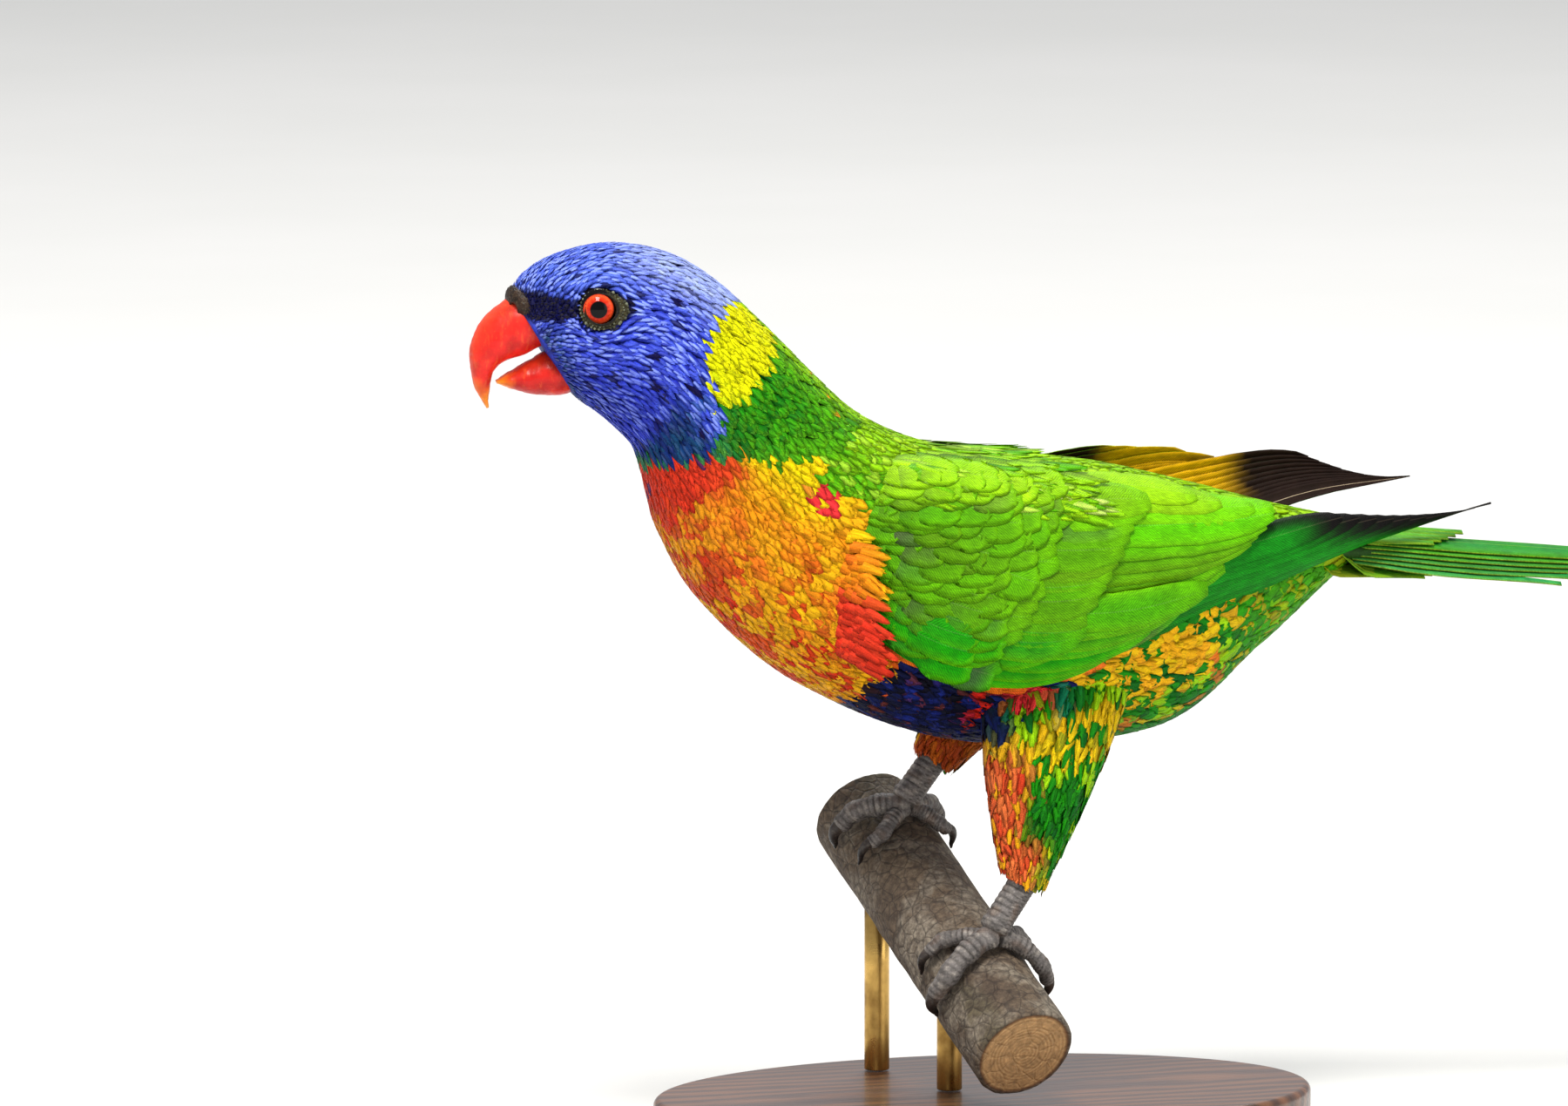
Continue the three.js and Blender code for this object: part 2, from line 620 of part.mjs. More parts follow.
// A point of the wing's sheet at x, at an angle up from its widest line, out from the sheet.
function wingPoint(side, x, angle, out) {
  const { z, high, wide } = sheetAt(x);
  const normal = new THREE.Vector2(Math.cos(angle) / wide, Math.sin(angle) / high).normalize();
  let y = wide * Math.cos(angle) + out * normal.x;
  let up = high * Math.sin(angle) + out * normal.y;
  if (side > 0) {
    const roll = degrees(RAISED.roll) * smoothstep((x - RAISED.rollFrom) / RAISED.rollOver);
    const [fromY, fromZ] = [y - RAISED.y, up + RAISED.below];
    y = RAISED.y + fromY * Math.cos(roll) + fromZ * Math.sin(roll);
    up = fromZ * Math.cos(roll) - fromY * Math.sin(roll) - RAISED.below;
    up += RAISED.lift * smoothstep((x - RAISED.from) / RAISED.over);
  }
  return new THREE.Vector3(x, side * y, z + up);
}

// How wide a feather is along its length, where point is its width at the tip.
function vaneProfile(t, point) {
  const base = lerp(VANE.root, 1, smoothstep(t / VANE.wideBy));
  const past = clamp((t - VANE.narrowsFrom) / (1 - VANE.narrowsFrom), 0, 1);
  return base * Math.sqrt(1 - (1 - point ** 2) * past ** 2);
}

// A ring round a vane, with a fold along its middle unless it is flat.
function vaneRing(flat, point) {
  const across = flat ? [-1, 1] : [-1, 0, 1];
  const upper = across.map((q) => point(q, 1));
  const lower = across.map((q) => point(q, -1)).reverse();
  return [...upper, ...lower];
}

// One feather of the wing, as a vane that lies on the sheet.
function wingVane(side, row, share) {
  const mix = (pair) => lerp(pair[0], pair[1], share);
  const root = [mix(row.root.map((end) => end[0])), degrees(mix(row.root.map((end) => end[1])))];
  const tip = [mix(row.tip.map((end) => end[0])), degrees(mix(row.tip.map((end) => end[1])))];
  const sag = degrees(mix(row.sag));
  const place = (t) => [lerp(root[0], tip[0], t), lerp(root[1], tip[1], t) + sag * Math.sin(Math.PI * t)];
  const rings = [];
  for (let i = 0; i <= row.steps; i += 1) {
    const t = i / row.steps;
    const [x, angle] = place(t);
    const [nextX, nextAngle] = place(t + 0.01);
    const { high, wide } = sheetAt(x);
    const reach = Math.hypot(wide * Math.sin(angle), high * Math.cos(angle));
    const along = new THREE.Vector2(nextX - x, reach * (nextAngle - angle)).normalize();
    const half = (mix(row.width) * vaneProfile(t, row.point)) / 2;
    const lift = lerp(row.sink, mix(row.out), smoothstep(t / VANE.risenBy));
    const tilt = row.tilt * smoothstep(t / VANE.tiltedBy);
    const point = (q, level) =>
      wingPoint(
        side,
        x - q * half * along.y,
        angle + (q * half * along.x) / reach,
        lift - q * tilt + (level * VANE.thick) / 2,
      );
    rings.push(vaneRing(row.flat, point));
  }
  return solid(skin(rings, { alike: true }));
}

// The core under the feathers: a shell on the sheet, thick along its middle line.
function wingCore(side) {
  const edge = (values, t) => degrees(smooth(values, t * (values.length - 1)));
  const rings = [];
  for (let i = 0; i <= CORE_ROWS; i += 1) {
    const t = i / CORE_ROWS;
    const x = lerp(CORE.from, CORE.to, t);
    const outer = smooth(CORE.outer, t * (CORE.outer.length - 1));
    const inner = smooth(CORE.inner, t * (CORE.inner.length - 1));
    const point = (j, out, under) => {
      const share = j / CORE_ACROSS;
      const bulge = Math.sqrt(Math.max(0, 1 - (2 * share - 1) ** 4));
      return wingPoint(side, x, lerp(edge(CORE.low, t), edge(CORE.up, t), share), out * bulge - under);
    };
    const places = Array.from({ length: CORE_ACROSS + 1 }, (_, j) => j);
    const upper = places.map((j) => point(j, outer, 0));
    const lower = places.map((j) => point(j, -inner, CORE_UNDER_SHEET)).reverse();
    rings.push([...upper, ...lower]);
  }
  return solid(skin(rings, { alike: true }));
}

function wingForm(side, torsoClear) {
  const vanes = [];
  for (const row of WING_ROWS) {
    for (let i = 0; i < row.count; i += 1) vanes.push(wingVane(side, row, i / (row.count - 1)));
  }
  return largest(joined([wingCore(side), ...vanes]).subtract(torsoClear));
}

// Tail

// A point over the tail's plane at x and y.
function tailPoint(x, y, out) {
  const fall = Math.tan(degrees(TAIL.slope)) * (x - TAIL.x);
  return new THREE.Vector3(x, y, TAIL.z - fall - TAIL.roof * Math.abs(y) + out);
}

// A feather of the tail from rootX to tipX, whose middle line runs between two distances from
// the plane of symmetry, narrowing to a point.
function tailVane({ rootX, tipX, rootY, tipY, width, out, sink, steps, flat = false }) {
  const rings = [];
  for (let i = 0; i <= steps; i += 1) {
    const t = i / steps;
    const x = lerp(rootX, tipX, t);
    const y = lerp(rootY, tipY, t);
    const past = smoothstep((t - RECTRIX.narrowsFrom) / (1 - RECTRIX.narrowsFrom));
    const taper = lerp(1, RECTRIX.tip, past) * lerp(RECTRIX.root, 1, smoothstep(t / RECTRIX.wideBy));
    const lift = lerp(sink, out, smoothstep(t / VANE.risenBy));
    const point = (q, level) => tailPoint(x, y + (q * width * taper) / 2, lift + (level * VANE.thick) / 2);
    rings.push(vaneRing(flat, point));
  }
  return solid(skin(rings, { alike: true }));
}

// The tail's root, face to face with the body.
function tailCore() {
  const root = bodyRing(BODY_END, { shift: GAP });
  const rings = [root];
  for (let i = 1; i <= TAIL_CORE.rows; i += 1) {
    const t = i / TAIL_CORE.rows;
    const middle = tailPoint(lerp(TAIL_CORE.from, TAIL_CORE.to, t), 0, -TAIL_CORE.drop);
    rings.push(
      root.map((_, j) => {
        const angle = (2 * Math.PI * j) / root.length;
        const y = lerp(...TAIL_CORE.half, t) * Math.sin(angle);
        return new THREE.Vector3(middle.x, y, middle.z + lerp(...TAIL_CORE.high, t) * Math.cos(angle));
      }),
    );
  }
  return solid(skin(rings));
}

function tailForm() {
  const vanes = [];
  for (let i = 0; i < RECTRICES.pairs; i += 1) {
    for (const side of [-1, 1]) {
      vanes.push(
        tailVane({
          rootX: RECTRICES.rootX,
          tipX: TAIL.tipX - RECTRICES.shorter * i,
          rootY: side * RECTRICES.rootY,
          tipY: side * (RECTRICES.tipY + RECTRICES.further * i),
          width: RECTRIX.width,
          out: -RECTRICES.lower * i,
          sink: -RECTRICES.lower * i,
          steps: RECTRIX.steps,
          flat: i >= RECTRIX.foldedPairs,
        }),
      );
    }
  }
  for (const coverts of TAIL_COVERTS) {
    for (let i = 0; i < coverts.count; i += 1) {
      const place = i - (coverts.count - 1) / 2;
      vanes.push(
        tailVane({
          rootX: coverts.rootX,
          tipX: coverts.tipX - TAIL_COVERT.shorter * Math.abs(place),
          rootY: coverts.rootY * place,
          tipY: coverts.tipY * place,
          width: TAIL_COVERT.width,
          out: coverts.out - TAIL_COVERT.lower * Math.abs(place),
          sink: coverts.sink,
          steps: TAIL_COVERT.steps,
        }),
      );
    }
  }
  return joined([tailCore(), ...vanes]);
}

// Colours and finishes
const finish = (color, roughness = 0.7, metalness = 0) =>
  new THREE.MeshStandardMaterial({ color, roughness, metalness });
const LOOKS = {
  head: finish(0x3c50dc),
  neck: finish(0x7fd000),
  torso: finish(0xee6a20),
  wing: finish(0x4fb010),
  tail: finish(0x2f9a50),
  thigh: finish(0x6fc020),
  foot: finish(0x6b625c, 0.6),
  claw: finish(0x2a2624, 0.4),
  bill: finish(0xeb2c1c, 0.25),
  cere: finish(0x2a1c20, 0.5),
  eye: finish(0xd03018, 0.1),
  perch: finish(0x7a6650, 0.85),
  stand_base: finish(0x4a3324, 0.45),
  stand_rod: finish(0xb0a070, 0.3, 1),
};
const lookOf = (name) => LOOKS[Object.keys(LOOKS).find((key) => name.startsWith(key))];

// The whole model

const torso = bodyForm(NECK_END, BODY_END, TORSO_ROWS, { shifts: [HALF_GAP, 0] });
const torsoClear = bodyForm(NECK_END, BODY_END, TORSO_ROWS, { out: GAP + 0.05, shifts: [0, GAP] });
const parts = {
  ...headParts(),
  neck: bodyForm(HEAD_END, NECK_END, 7, { shifts: [HALF_GAP, -HALF_GAP] }),
  torso,
  wing_left: wingForm(-1, torsoClear),
  wing_right: wingForm(1, torsoClear),
  tail: tailForm(),
  ...legParts(LEGS[0], torsoClear),
  ...legParts(LEGS[1], torsoClear),
  perch: perchForm(),
  stand_base: baseForm(),
  stand_rod_front: rodForm(ROD_SPOTS[0]),
  stand_rod_back: rodForm(ROD_SPOTS[1]),
};

const group = new THREE.Group();
for (const [name, body] of Object.entries(parts)) {
  const mesh = new THREE.Mesh(geometryOf(body), lookOf(name));
  mesh.name = name;
  group.add(mesh);
}

export default group;
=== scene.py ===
"""A life-size rainbow lorikeet on a cut branch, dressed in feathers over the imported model.

Lengths are in millimetres until a mesh is written, which is in metres. X runs from the bill
(low) to the tail (high), the bird's left side faces -Y, and Z is up from the base's underside.
"""

from __future__ import annotations

import logging
import math
from dataclasses import dataclass, field, replace
from enum import Enum
from typing import Callable

import bpy
import numpy as np
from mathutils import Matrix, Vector

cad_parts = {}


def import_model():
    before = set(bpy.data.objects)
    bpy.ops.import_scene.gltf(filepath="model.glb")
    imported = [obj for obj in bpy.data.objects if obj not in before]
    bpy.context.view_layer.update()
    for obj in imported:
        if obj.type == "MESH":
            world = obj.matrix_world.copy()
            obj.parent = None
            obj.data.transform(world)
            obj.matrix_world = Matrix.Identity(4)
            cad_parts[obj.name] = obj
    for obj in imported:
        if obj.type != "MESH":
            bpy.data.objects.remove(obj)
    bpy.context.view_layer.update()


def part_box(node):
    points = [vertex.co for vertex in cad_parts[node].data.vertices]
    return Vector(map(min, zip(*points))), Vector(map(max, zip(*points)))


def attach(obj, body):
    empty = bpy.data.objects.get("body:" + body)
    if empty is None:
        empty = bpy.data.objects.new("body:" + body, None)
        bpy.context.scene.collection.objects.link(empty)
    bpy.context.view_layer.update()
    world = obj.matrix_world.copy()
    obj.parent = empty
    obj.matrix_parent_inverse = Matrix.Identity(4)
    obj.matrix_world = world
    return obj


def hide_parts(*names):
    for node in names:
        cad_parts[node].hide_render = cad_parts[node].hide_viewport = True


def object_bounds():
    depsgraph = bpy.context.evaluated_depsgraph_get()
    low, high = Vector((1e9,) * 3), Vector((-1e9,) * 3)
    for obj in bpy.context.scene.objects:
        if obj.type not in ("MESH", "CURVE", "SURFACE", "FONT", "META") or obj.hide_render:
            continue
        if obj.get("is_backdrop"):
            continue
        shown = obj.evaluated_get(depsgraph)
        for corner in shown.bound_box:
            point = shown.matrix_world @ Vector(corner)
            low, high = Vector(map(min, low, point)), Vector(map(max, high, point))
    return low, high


LOG = logging.getLogger("lorikeet")
Array = np.ndarray
Socket = bpy.types.NodeSocket
MM = 0.001
SEED = 20260
TAU = 2 * math.pi


class Side(Enum):
    """One side of the bird, by the sign of its Y."""

    LEFT = -1
    RIGHT = 1

    @property
    def word(self) -> str:
        """The side's name in the node names."""
        return self.name.lower()


# Numbers and arrays


def lerp(low: Array | float, high: Array | float, share: Array | float) -> Array | float:
    """Value at a share of the way from low to high."""
    return low + (high - low) * share


def smoothstep(share: Array | float, start: float = 0.0, end: float = 1.0) -> Array:
    """Rise from 0 at start to 1 at end as 3t^2 - 2t^3, level outside.

    Args:
        share: The values to map.
        start: Where the rise starts.
        end: Where it ends.

    Returns:
        The mapped values, from 0 to 1.
    """
    t = np.clip((np.asarray(share, float) - start) / (end - start), 0.0, 1.0)
    return t * t * (3 - 2 * t)


def unit(vectors: Array) -> Array:
    """Vectors scaled to length one along their last axis."""
    return vectors / np.maximum(np.linalg.norm(vectors, axis=-1, keepdims=True), 1e-12)


def smooth(stations: Array, place: Array) -> Array:
    """Smooth curve through equal steps of a table's rows, as the solids' lofts use.

    Between rows b and c it is b(1-h) + ch with h = 3t^2 - 2t^3, plus the half differences of
    the neighbouring rows times t(1-t)^2 and -t^2(1-t). Past the last row it goes on straight.

    Args:
        stations: Table of one row for each whole number.
        place: Places from 0 on.

    Returns:
        One row of values for each place.
    """
    last = len(stations) - 1
    past = np.maximum(np.asarray(place, float) - last, 0)[..., None]
    place = np.clip(place, 0, last)
    i = np.clip(np.floor(place).astype(int), 0, last - 1)
    t = (place - i)[..., None]
    first = 2 * stations[0] - stations[1]
    final = 2 * stations[-1] - stations[-2]
    wide = np.vstack([first, stations, final])
    a, b, c, d = wide[i], wide[i + 1], wide[i + 2], wide[i + 3]
    h = t * t * (3 - 2 * t)
    bend = (c - a) / 2 * t * (1 - t) ** 2 - (d - b) / 2 * t * t * (1 - t)
    return b * (1 - h) + c * h + bend + past * (stations[-1] - stations[-2])


def ripple(points: Array, size: float, seed: int) -> Array:
    """Soft noise from -1 to 1: the mean of nine sines along seeded random directions.

    Args:
        points: Places, with coordinates along the last axis.
        size: Rough distance between bumps, in the points' units.
        seed: Seed of the directions and phases.

    Returns:
        One value for each place.
    """
    draw = np.random.default_rng(seed)
    ways = unit(draw.normal(size=(9, points.shape[-1])))
    pace = TAU / size * draw.uniform(0.6, 1.6, 9)
    waves = np.sin((points @ ways.T) * pace + draw.uniform(0, TAU, 9))
    return np.clip(waves.mean(axis=-1) * 1.8, -1, 1)


def linear(red: float, green: float, blue: float) -> Array:
    """Linear colour of an sRGB colour given from 0 to 255.

    Args:
        red: Red share.
        green: Green share.
        blue: Blue share.

    Returns:
        Three linear values.
    """
    c = np.array([red, green, blue], float) / 255
    return np.where(c <= 0.04045, c / 12.92, ((c + 0.055) / 1.055) ** 2.4)


def blend(low: Array, high: Array, share: Array) -> Array:
    """Colours a share of the way from low to high, one share for each colour."""
    return low + (high - low) * np.asarray(share)[..., None]


def painted(ground: Array, *coats: tuple[Array, Array]) -> Array:
    """Colours with coats blended over them in turn, each a colour and its share."""
    for colour, share in coats:
        ground = blend(ground, colour, share)
    return ground


def with_alpha(colours: Array, alpha: Array | float = 0.0) -> Array:
    """Colours with an alpha after them, one number or one for each colour."""
    return np.concatenate([colours, np.broadcast_to(alpha, (*colours.shape[:-1], 1))], axis=-1)


def circle(steps: int) -> Array:
    """Angles of even steps round a circle."""
    return TAU * np.arange(steps) / steps


def ring_grid(along: Array, around: int) -> tuple[Array, Array]:
    """Places along as rows and angles round as columns, as two full grids."""
    return np.broadcast_arrays(along[:, None], circle(around)[None, :])


def rounded(past: Array) -> Array:
    """Width of a round end by how far past its start a place is: the root of 1 - past^2."""
    return np.sqrt(np.clip(1 - np.clip(past, 0, 1) ** 2, 0.02, 1))


# Meshes in the making


@dataclass
class Web:
    """Points, faces, colours and UV pairs of a mesh before it is written.

    Attributes:
        points: Places in millimetres, one row each.
        quads: Four point numbers for each four-sided face.
        tris: Three point numbers for each three-sided face.
        tint: Linear colour and shaft strength at each point.
        uvs: For each map's name, the pairs at the corners of quads and of tris.
    """

    points: Array
    quads: Array
    tris: Array
    tint: Array
    uvs: dict[str, tuple[Array, Array]] = field(default_factory=dict)

    @staticmethod
    def joined(webs: list[Web]) -> Web:
        """All the webs as one, with their faces renumbered.

        Args:
            webs: The webs, which have the same UV maps.

        Returns:
            One web.
        """
        starts = np.cumsum([0] + [len(w.points) for w in webs[:-1]])
        uvs = {}
        for name in webs[0].uvs:
            uvs[name] = tuple(np.concatenate([w.uvs[name][k] for w in webs]) for k in (0, 1))
        return Web(
            np.concatenate([w.points for w in webs]),
            np.concatenate([w.quads + s for w, s in zip(webs, starts)]),
            np.concatenate([w.tris + s for w, s in zip(webs, starts)]),
            np.concatenate([w.tint for w in webs]), uvs,
        )

    def volume(self) -> float:
        """Enclosed volume, negative where the faces point inwards."""
        halves = [self.quads[:, [0, 1, 2]], self.quads[:, [0, 2, 3]], self.tris]
        a, b, c = np.moveaxis(self.points[np.concatenate(halves)], 1, 0)
        return float((a * np.cross(b, c)).sum() / 6)

    def outward(self) -> Web:
        """The web with its faces pointing out."""
        if self.volume() >= 0:
            return self
        uvs = {name: (four[:, ::-1], three[:, ::-1]) for name, (four, three) in self.uvs.items()}
        return Web(self.points, self.quads[:, ::-1], self.tris[:, ::-1], self.tint, uvs)

    def piece(self, name: str, finish: bpy.types.Material) -> bpy.types.Object:
        """Write the web as an object at the origin, in metres.

        Args:
            name: The object's name.
            finish: Its material.

        Returns:
            The linked object.
        """
        web = self.outward()
        mesh = bpy.data.meshes.new(name)
        loops = np.concatenate([web.quads.ravel(), web.tris.ravel()]).astype(np.int32)
        starts = np.concatenate(
            [np.arange(len(web.quads)) * 4, web.quads.size + np.arange(len(web.tris)) * 3]
        )
        mesh.vertices.add(len(web.points))
        mesh.vertices.foreach_set("co", (web.points * MM).astype(np.float32).ravel())
        mesh.loops.add(len(loops))
        mesh.loops.foreach_set("vertex_index", loops)
        mesh.polygons.add(len(starts))
        mesh.polygons.foreach_set("loop_start", starts.astype(np.int32))
        mesh.update(calc_edges=True)
        mesh.polygons.foreach_set("use_smooth", np.ones(len(starts), bool))
        colours = mesh.color_attributes.new("tint", "FLOAT_COLOR", "POINT")
        colours.data.foreach_set("color", web.tint.astype(np.float32).ravel())
        for title, (four, three) in web.uvs.items():
            layer = mesh.uv_layers.new(name=title)
            pairs = np.concatenate([four.reshape(-1, 2), three.reshape(-1, 2)])
            layer.data.foreach_set("uv", pairs.astype(np.float32).ravel())
        mesh.materials.append(finish)
        made = bpy.data.objects.new(name, mesh)
        bpy.context.scene.collection.objects.link(made)
        return made


def tube_web(rings: Array, tint: Array, ends: tuple[bool, bool] = (True, True)) -> Web:
    """Web of a surface carried through rings, closed round each and by a fan at the ends.

    Face (i, j) joins points j and j+1 of ring i to those of ring i+1, and an end's fan runs to
    the mean of its ring. The UV map OFBake is the ring number along and the share round.

    Args:
        rings: Places as ring by point by coordinate.
        tint: Colour and alpha as ring by point by four, or one of four.
        ends: Whether the first and the last ring get a fan.

    Returns:
        The web.
    """
    rows, around = rings.shape[:2]
    tint = np.broadcast_to(tint, (rows, around, 4))
    number = np.arange(rows * around).reshape(rows, around)
    after = np.roll(number, -1, axis=1)
    quads = np.stack([number[:-1], after[:-1], after[1:], number[1:]], axis=-1).reshape(-1, 4)
    u = np.broadcast_to(np.linspace(0.01, 0.99, rows)[:, None], (rows, around))
    v = np.broadcast_to(0.01 + 0.98 * np.arange(around)[None, :] / around, (rows, around))
    step = 0.98 / around
    corners = [(u[:-1], v[:-1]), (u[:-1], v[:-1] + step), (u[1:], v[1:] + step), (u[1:], v[1:])]
    four = np.stack([np.stack(pair, axis=-1) for pair in corners], axis=2).reshape(-1, 4, 2)
    points = [rings.reshape(-1, 3)]
    colours = [tint.reshape(-1, 4)]
    tris, three = [], []
    for row, wanted, turn in ((0, ends[0], -1), (rows - 1, ends[1], 1)):
        if not wanted:
            continue
        tip = sum(len(p) for p in points)
        points.append(rings[row].mean(axis=0)[None])
        colours.append(tint[row].mean(axis=0)[None])
        pair = [number[row], after[row]][::turn]
        tris.append(np.stack([*pair, np.full(around, tip)], axis=-1))
        edge = [v[row], v[row] + step][::turn]
        fan = [np.stack([u[row], e], axis=-1) for e in edge]
        fan.append(np.stack([u[row], v[row] + step / 2], axis=-1))
        three.append(np.stack(fan, axis=1))
    return Web(
        np.concatenate(points), quads, np.concatenate(tris) if tris else np.zeros((0, 3), int),
        np.concatenate(colours),
        {"OFBake": (four, np.concatenate(three) if three else np.zeros((0, 3, 2)))},
    )


def bead_web(centres: Array, radii: Array, tint: Array, steps: tuple[int, int] = (5, 6)) -> Web:
    """Web of small balls: circles of latitude about each centre, with a fan at both poles.

    Args:
        centres: Places, one row each.
        radii: One radius each.
        tint: One colour and alpha each.
        steps: Circles between the poles, and points round each.

    Returns:
        The web.
    """
    lean = np.pi * (np.arange(steps[0]) + 0.5) / steps[0]
    spin = circle(steps[1])
    x = np.sin(lean)[:, None] * np.cos(spin)
    y = np.sin(lean)[:, None] * np.sin(spin)
    z = np.broadcast_to(np.cos(lean)[:, None], x.shape)
    ball = tube_web(np.stack([x, y, z], axis=-1), np.zeros(4))
    count, each = len(centres), len(ball.points)
    shift = (np.arange(count) * each)[:, None, None]
    four = np.tile(ball.uvs["OFBake"][0], (count, 1, 1))
    three = np.tile(ball.uvs["OFBake"][1], (count, 1, 1))
    return Web(
        (centres[:, None] + radii[:, None, None] * ball.points[None]).reshape(-1, 3),
        (ball.quads[None] + shift).reshape(-1, 4), (ball.tris[None] + shift).reshape(-1, 3),
        np.repeat(tint, each, axis=0), {"OFBake": (four, three)},
    )


# Surfaces of the bird


class Surface:
    """A surface of two parameters, with a height over it as a third.

    Attributes:
        facing: 1 where the cross product of the two directions points out, or else -1.
        steps: Small steps of the parameters for slopes.
    """

    facing: int = 1
    steps: tuple[float, float] = (0.01, 0.004)

    def point(self, u: Array, v: Array, out: Array | float) -> Array:
        """Places on the surface at u and v, a height out from it."""
        raise NotImplementedError

    def slopes(self, u: Array, v: Array) -> tuple[Array, Array, Array]:
        """Change of place along each parameter, by central differences, and the way out.

        Args:
            u: First parameter.
            v: Second parameter.

        Returns:
            Slope along u, slope along v, and the unit vector out.
        """
        du, dv = self.steps
        pu = (self.point(u + du, v, 0.0) - self.point(u - du, v, 0.0)) / (2 * du)
        pv = (self.point(u, v + dv, 0.0) - self.point(u, v - dv, 0.0)) / (2 * dv)
        return pu, pv, unit(np.cross(pu, pv)) * self.facing

    @staticmethod
    def headed(pu: Array, normal: Array, turn: Array) -> Array:
        """Unit vectors along the first slope, turned by an angle in the tangent plane."""
        ahead = unit(pu)
        return np.cos(turn)[:, None] * ahead + np.sin(turn)[:, None] * np.cross(normal, ahead)

    def offsets(self, pu: Array, pv: Array, way: Array) -> tuple[Array, Array]:
        """Changes of u and v that move a place by a vector in the tangent plane.

        They solve the two-by-two least-squares system of the slopes.

        Args:
            pu: Slope along u.
            pv: Slope along v.
            way: The vector.

        Returns:
            Change of u and change of v.
        """
        uu, uv, vv = ((a * b).sum(-1) for a, b in ((pu, pu), (pu, pv), (pv, pv)))
        wu, wv = (pu * way).sum(-1), (pv * way).sum(-1)
        det = np.maximum(uu * vv - uv * uv, 1e-9)
        return (wu * vv - wv * uv) / det, (wv * uu - wu * uv) / det


@dataclass(frozen=True)
class Station:
    """One section of a loft: back and breast points in the plane of symmetry, and half width."""

    back: tuple[float, float]
    breast: tuple[float, float]
    half: float


BODY = (
    Station((-102.4, 177.8), (-89.3, 157.0), 7.2),
    Station((-98.6, 182.2), (-87.2, 155.2), 9.8),
    Station((-92.2, 185.7), (-84.4, 153.3), 11.9),
    Station((-81.4, 187.8), (-81.0, 150.5), 13.4),
    Station((-69.9, 185.9), (-78.5, 148.1), 14.2),
    Station((-60.2, 180.5), (-76.6, 145.9), 14.3),
    Station((-50.0, 171.3), (-75.1, 142.3), 14.6),
    Station((-38.0, 159.5), (-73.0, 135.1), 16.4),
    Station((-27.6, 150.8), (-69.9, 126.7), 18.6),
    Station((-13.3, 144.6), (-60.8, 112.4), 21.4),
    Station((3.8, 141.7), (-39.9, 95.0), 22.8),
    Station((24.7, 138.9), (-5.7, 82.2), 22.0),
    Station((45.6, 133.7), (36.1, 83.0), 17.2),
    Station((60.8, 129.4), (58.9, 98.4), 11.8),
    Station((72.2, 126.6), (76.0, 112.6), 8.4),
)
BODY_END = len(BODY) - 1
BODY_SQUARENESS = 2.15
HEAD_TURN = math.radians(-10)
TURN_X = -73.2
TURN_FULL_TO = 5
TURN_ENDS_AT = 8


def turned(points: Array, share: Array | float = 1.0) -> Array:
    """Points turned with the head about its upright line, by a share of the turn."""
    angle = HEAD_TURN * share
    x, y, z = np.moveaxis(points, -1, 0)
    c, s = np.cos(angle), np.sin(angle)
    return np.stack([TURN_X + (x - TURN_X) * c - y * s, (x - TURN_X) * s + y * c, z], axis=-1)


class Loft(Surface):
    """Surface through stations: u is the station, v the angle from the back to the bird's right.

    A section is middle + up (depth + out) r(cos v) + side (half + out) r(sin v), where r keeps
    the sign and raises the size to 2 over the squareness.
    """

    def __init__(self, stations: tuple[Station, ...], squareness: float, turns: bool) -> None:
        """Keep the stations as a table.

        Args:
            stations: The sections.
            squareness: 2 for an ellipse, more for a squarer section.
            turns: Whether the head's turn fades out along the loft, or else holds all along.
        """
        self.table = np.array([[*s.back, *s.breast, s.half] for s in stations])
        self.power = 2 / squareness
        self.turns = turns

    def straight(self, u: Array, v: Array, out: Array | float) -> Array:
        """Places before the head is turned."""
        row = smooth(self.table, np.asarray(u, float))
        back, breast, half = row[..., 0:2], row[..., 2:4], row[..., 4]
        middle = (back + breast) / 2
        up = (back - breast) / 2
        depth = np.linalg.norm(up, axis=-1)
        up = up / depth[..., None]
        c, s = np.cos(v), np.sin(v)
        rise = (depth + out) * np.sign(c) * np.abs(c) ** self.power
        y = (half + out) * np.sign(s) * np.abs(s) ** self.power
        return np.stack([middle[..., 0] + up[..., 0] * rise, y, middle[..., 1] + up[..., 1] * rise], -1)

    def point(self, u: Array, v: Array, out: Array | float) -> Array:
        """Places with the head turned."""
        share = 1.0
        if self.turns:
            share = 1 - smoothstep(u, TURN_FULL_TO, TURN_ENDS_AT)
        return turned(self.straight(u, v, out), share)

    def locate(self, x: Array, z: Array, side: Side, start: tuple[float, float]) -> tuple[Array, Array]:
        """Parameters whose straight place has the x and z given, by Gauss-Newton steps.

        Args:
            x: Wanted x.
            z: Wanted z.
            side: Side of the bird.
            start: First guess of u and of the angle from the back.

        Returns:
            u and v.
        """
        x, z = np.broadcast_arrays(np.asarray(x, float), np.asarray(z, float))
        u = np.full(x.shape, start[0])
        v = np.full(x.shape, start[1] * side.value)
        h = 1e-3
        for _ in range(30):
            here = self.straight(u, v, 0.0)
            pu = (self.straight(u + h, v, 0.0) - here) / h
            pv = (self.straight(u, v + h, 0.0) - here) / h
            det = pu[..., 0] * pv[..., 2] - pu[..., 2] * pv[..., 0]
            det = np.where(np.abs(det) < 1e-6, 1e-6, det)
            ex, ez = x - here[..., 0], z - here[..., 2]
            u = u + np.clip((ex * pv[..., 2] - ez * pv[..., 0]) / det, -0.3, 0.3)
            v = v + np.clip((ez * pu[..., 0] - ex * pu[..., 2]) / det, -0.2, 0.2)
        return u, v


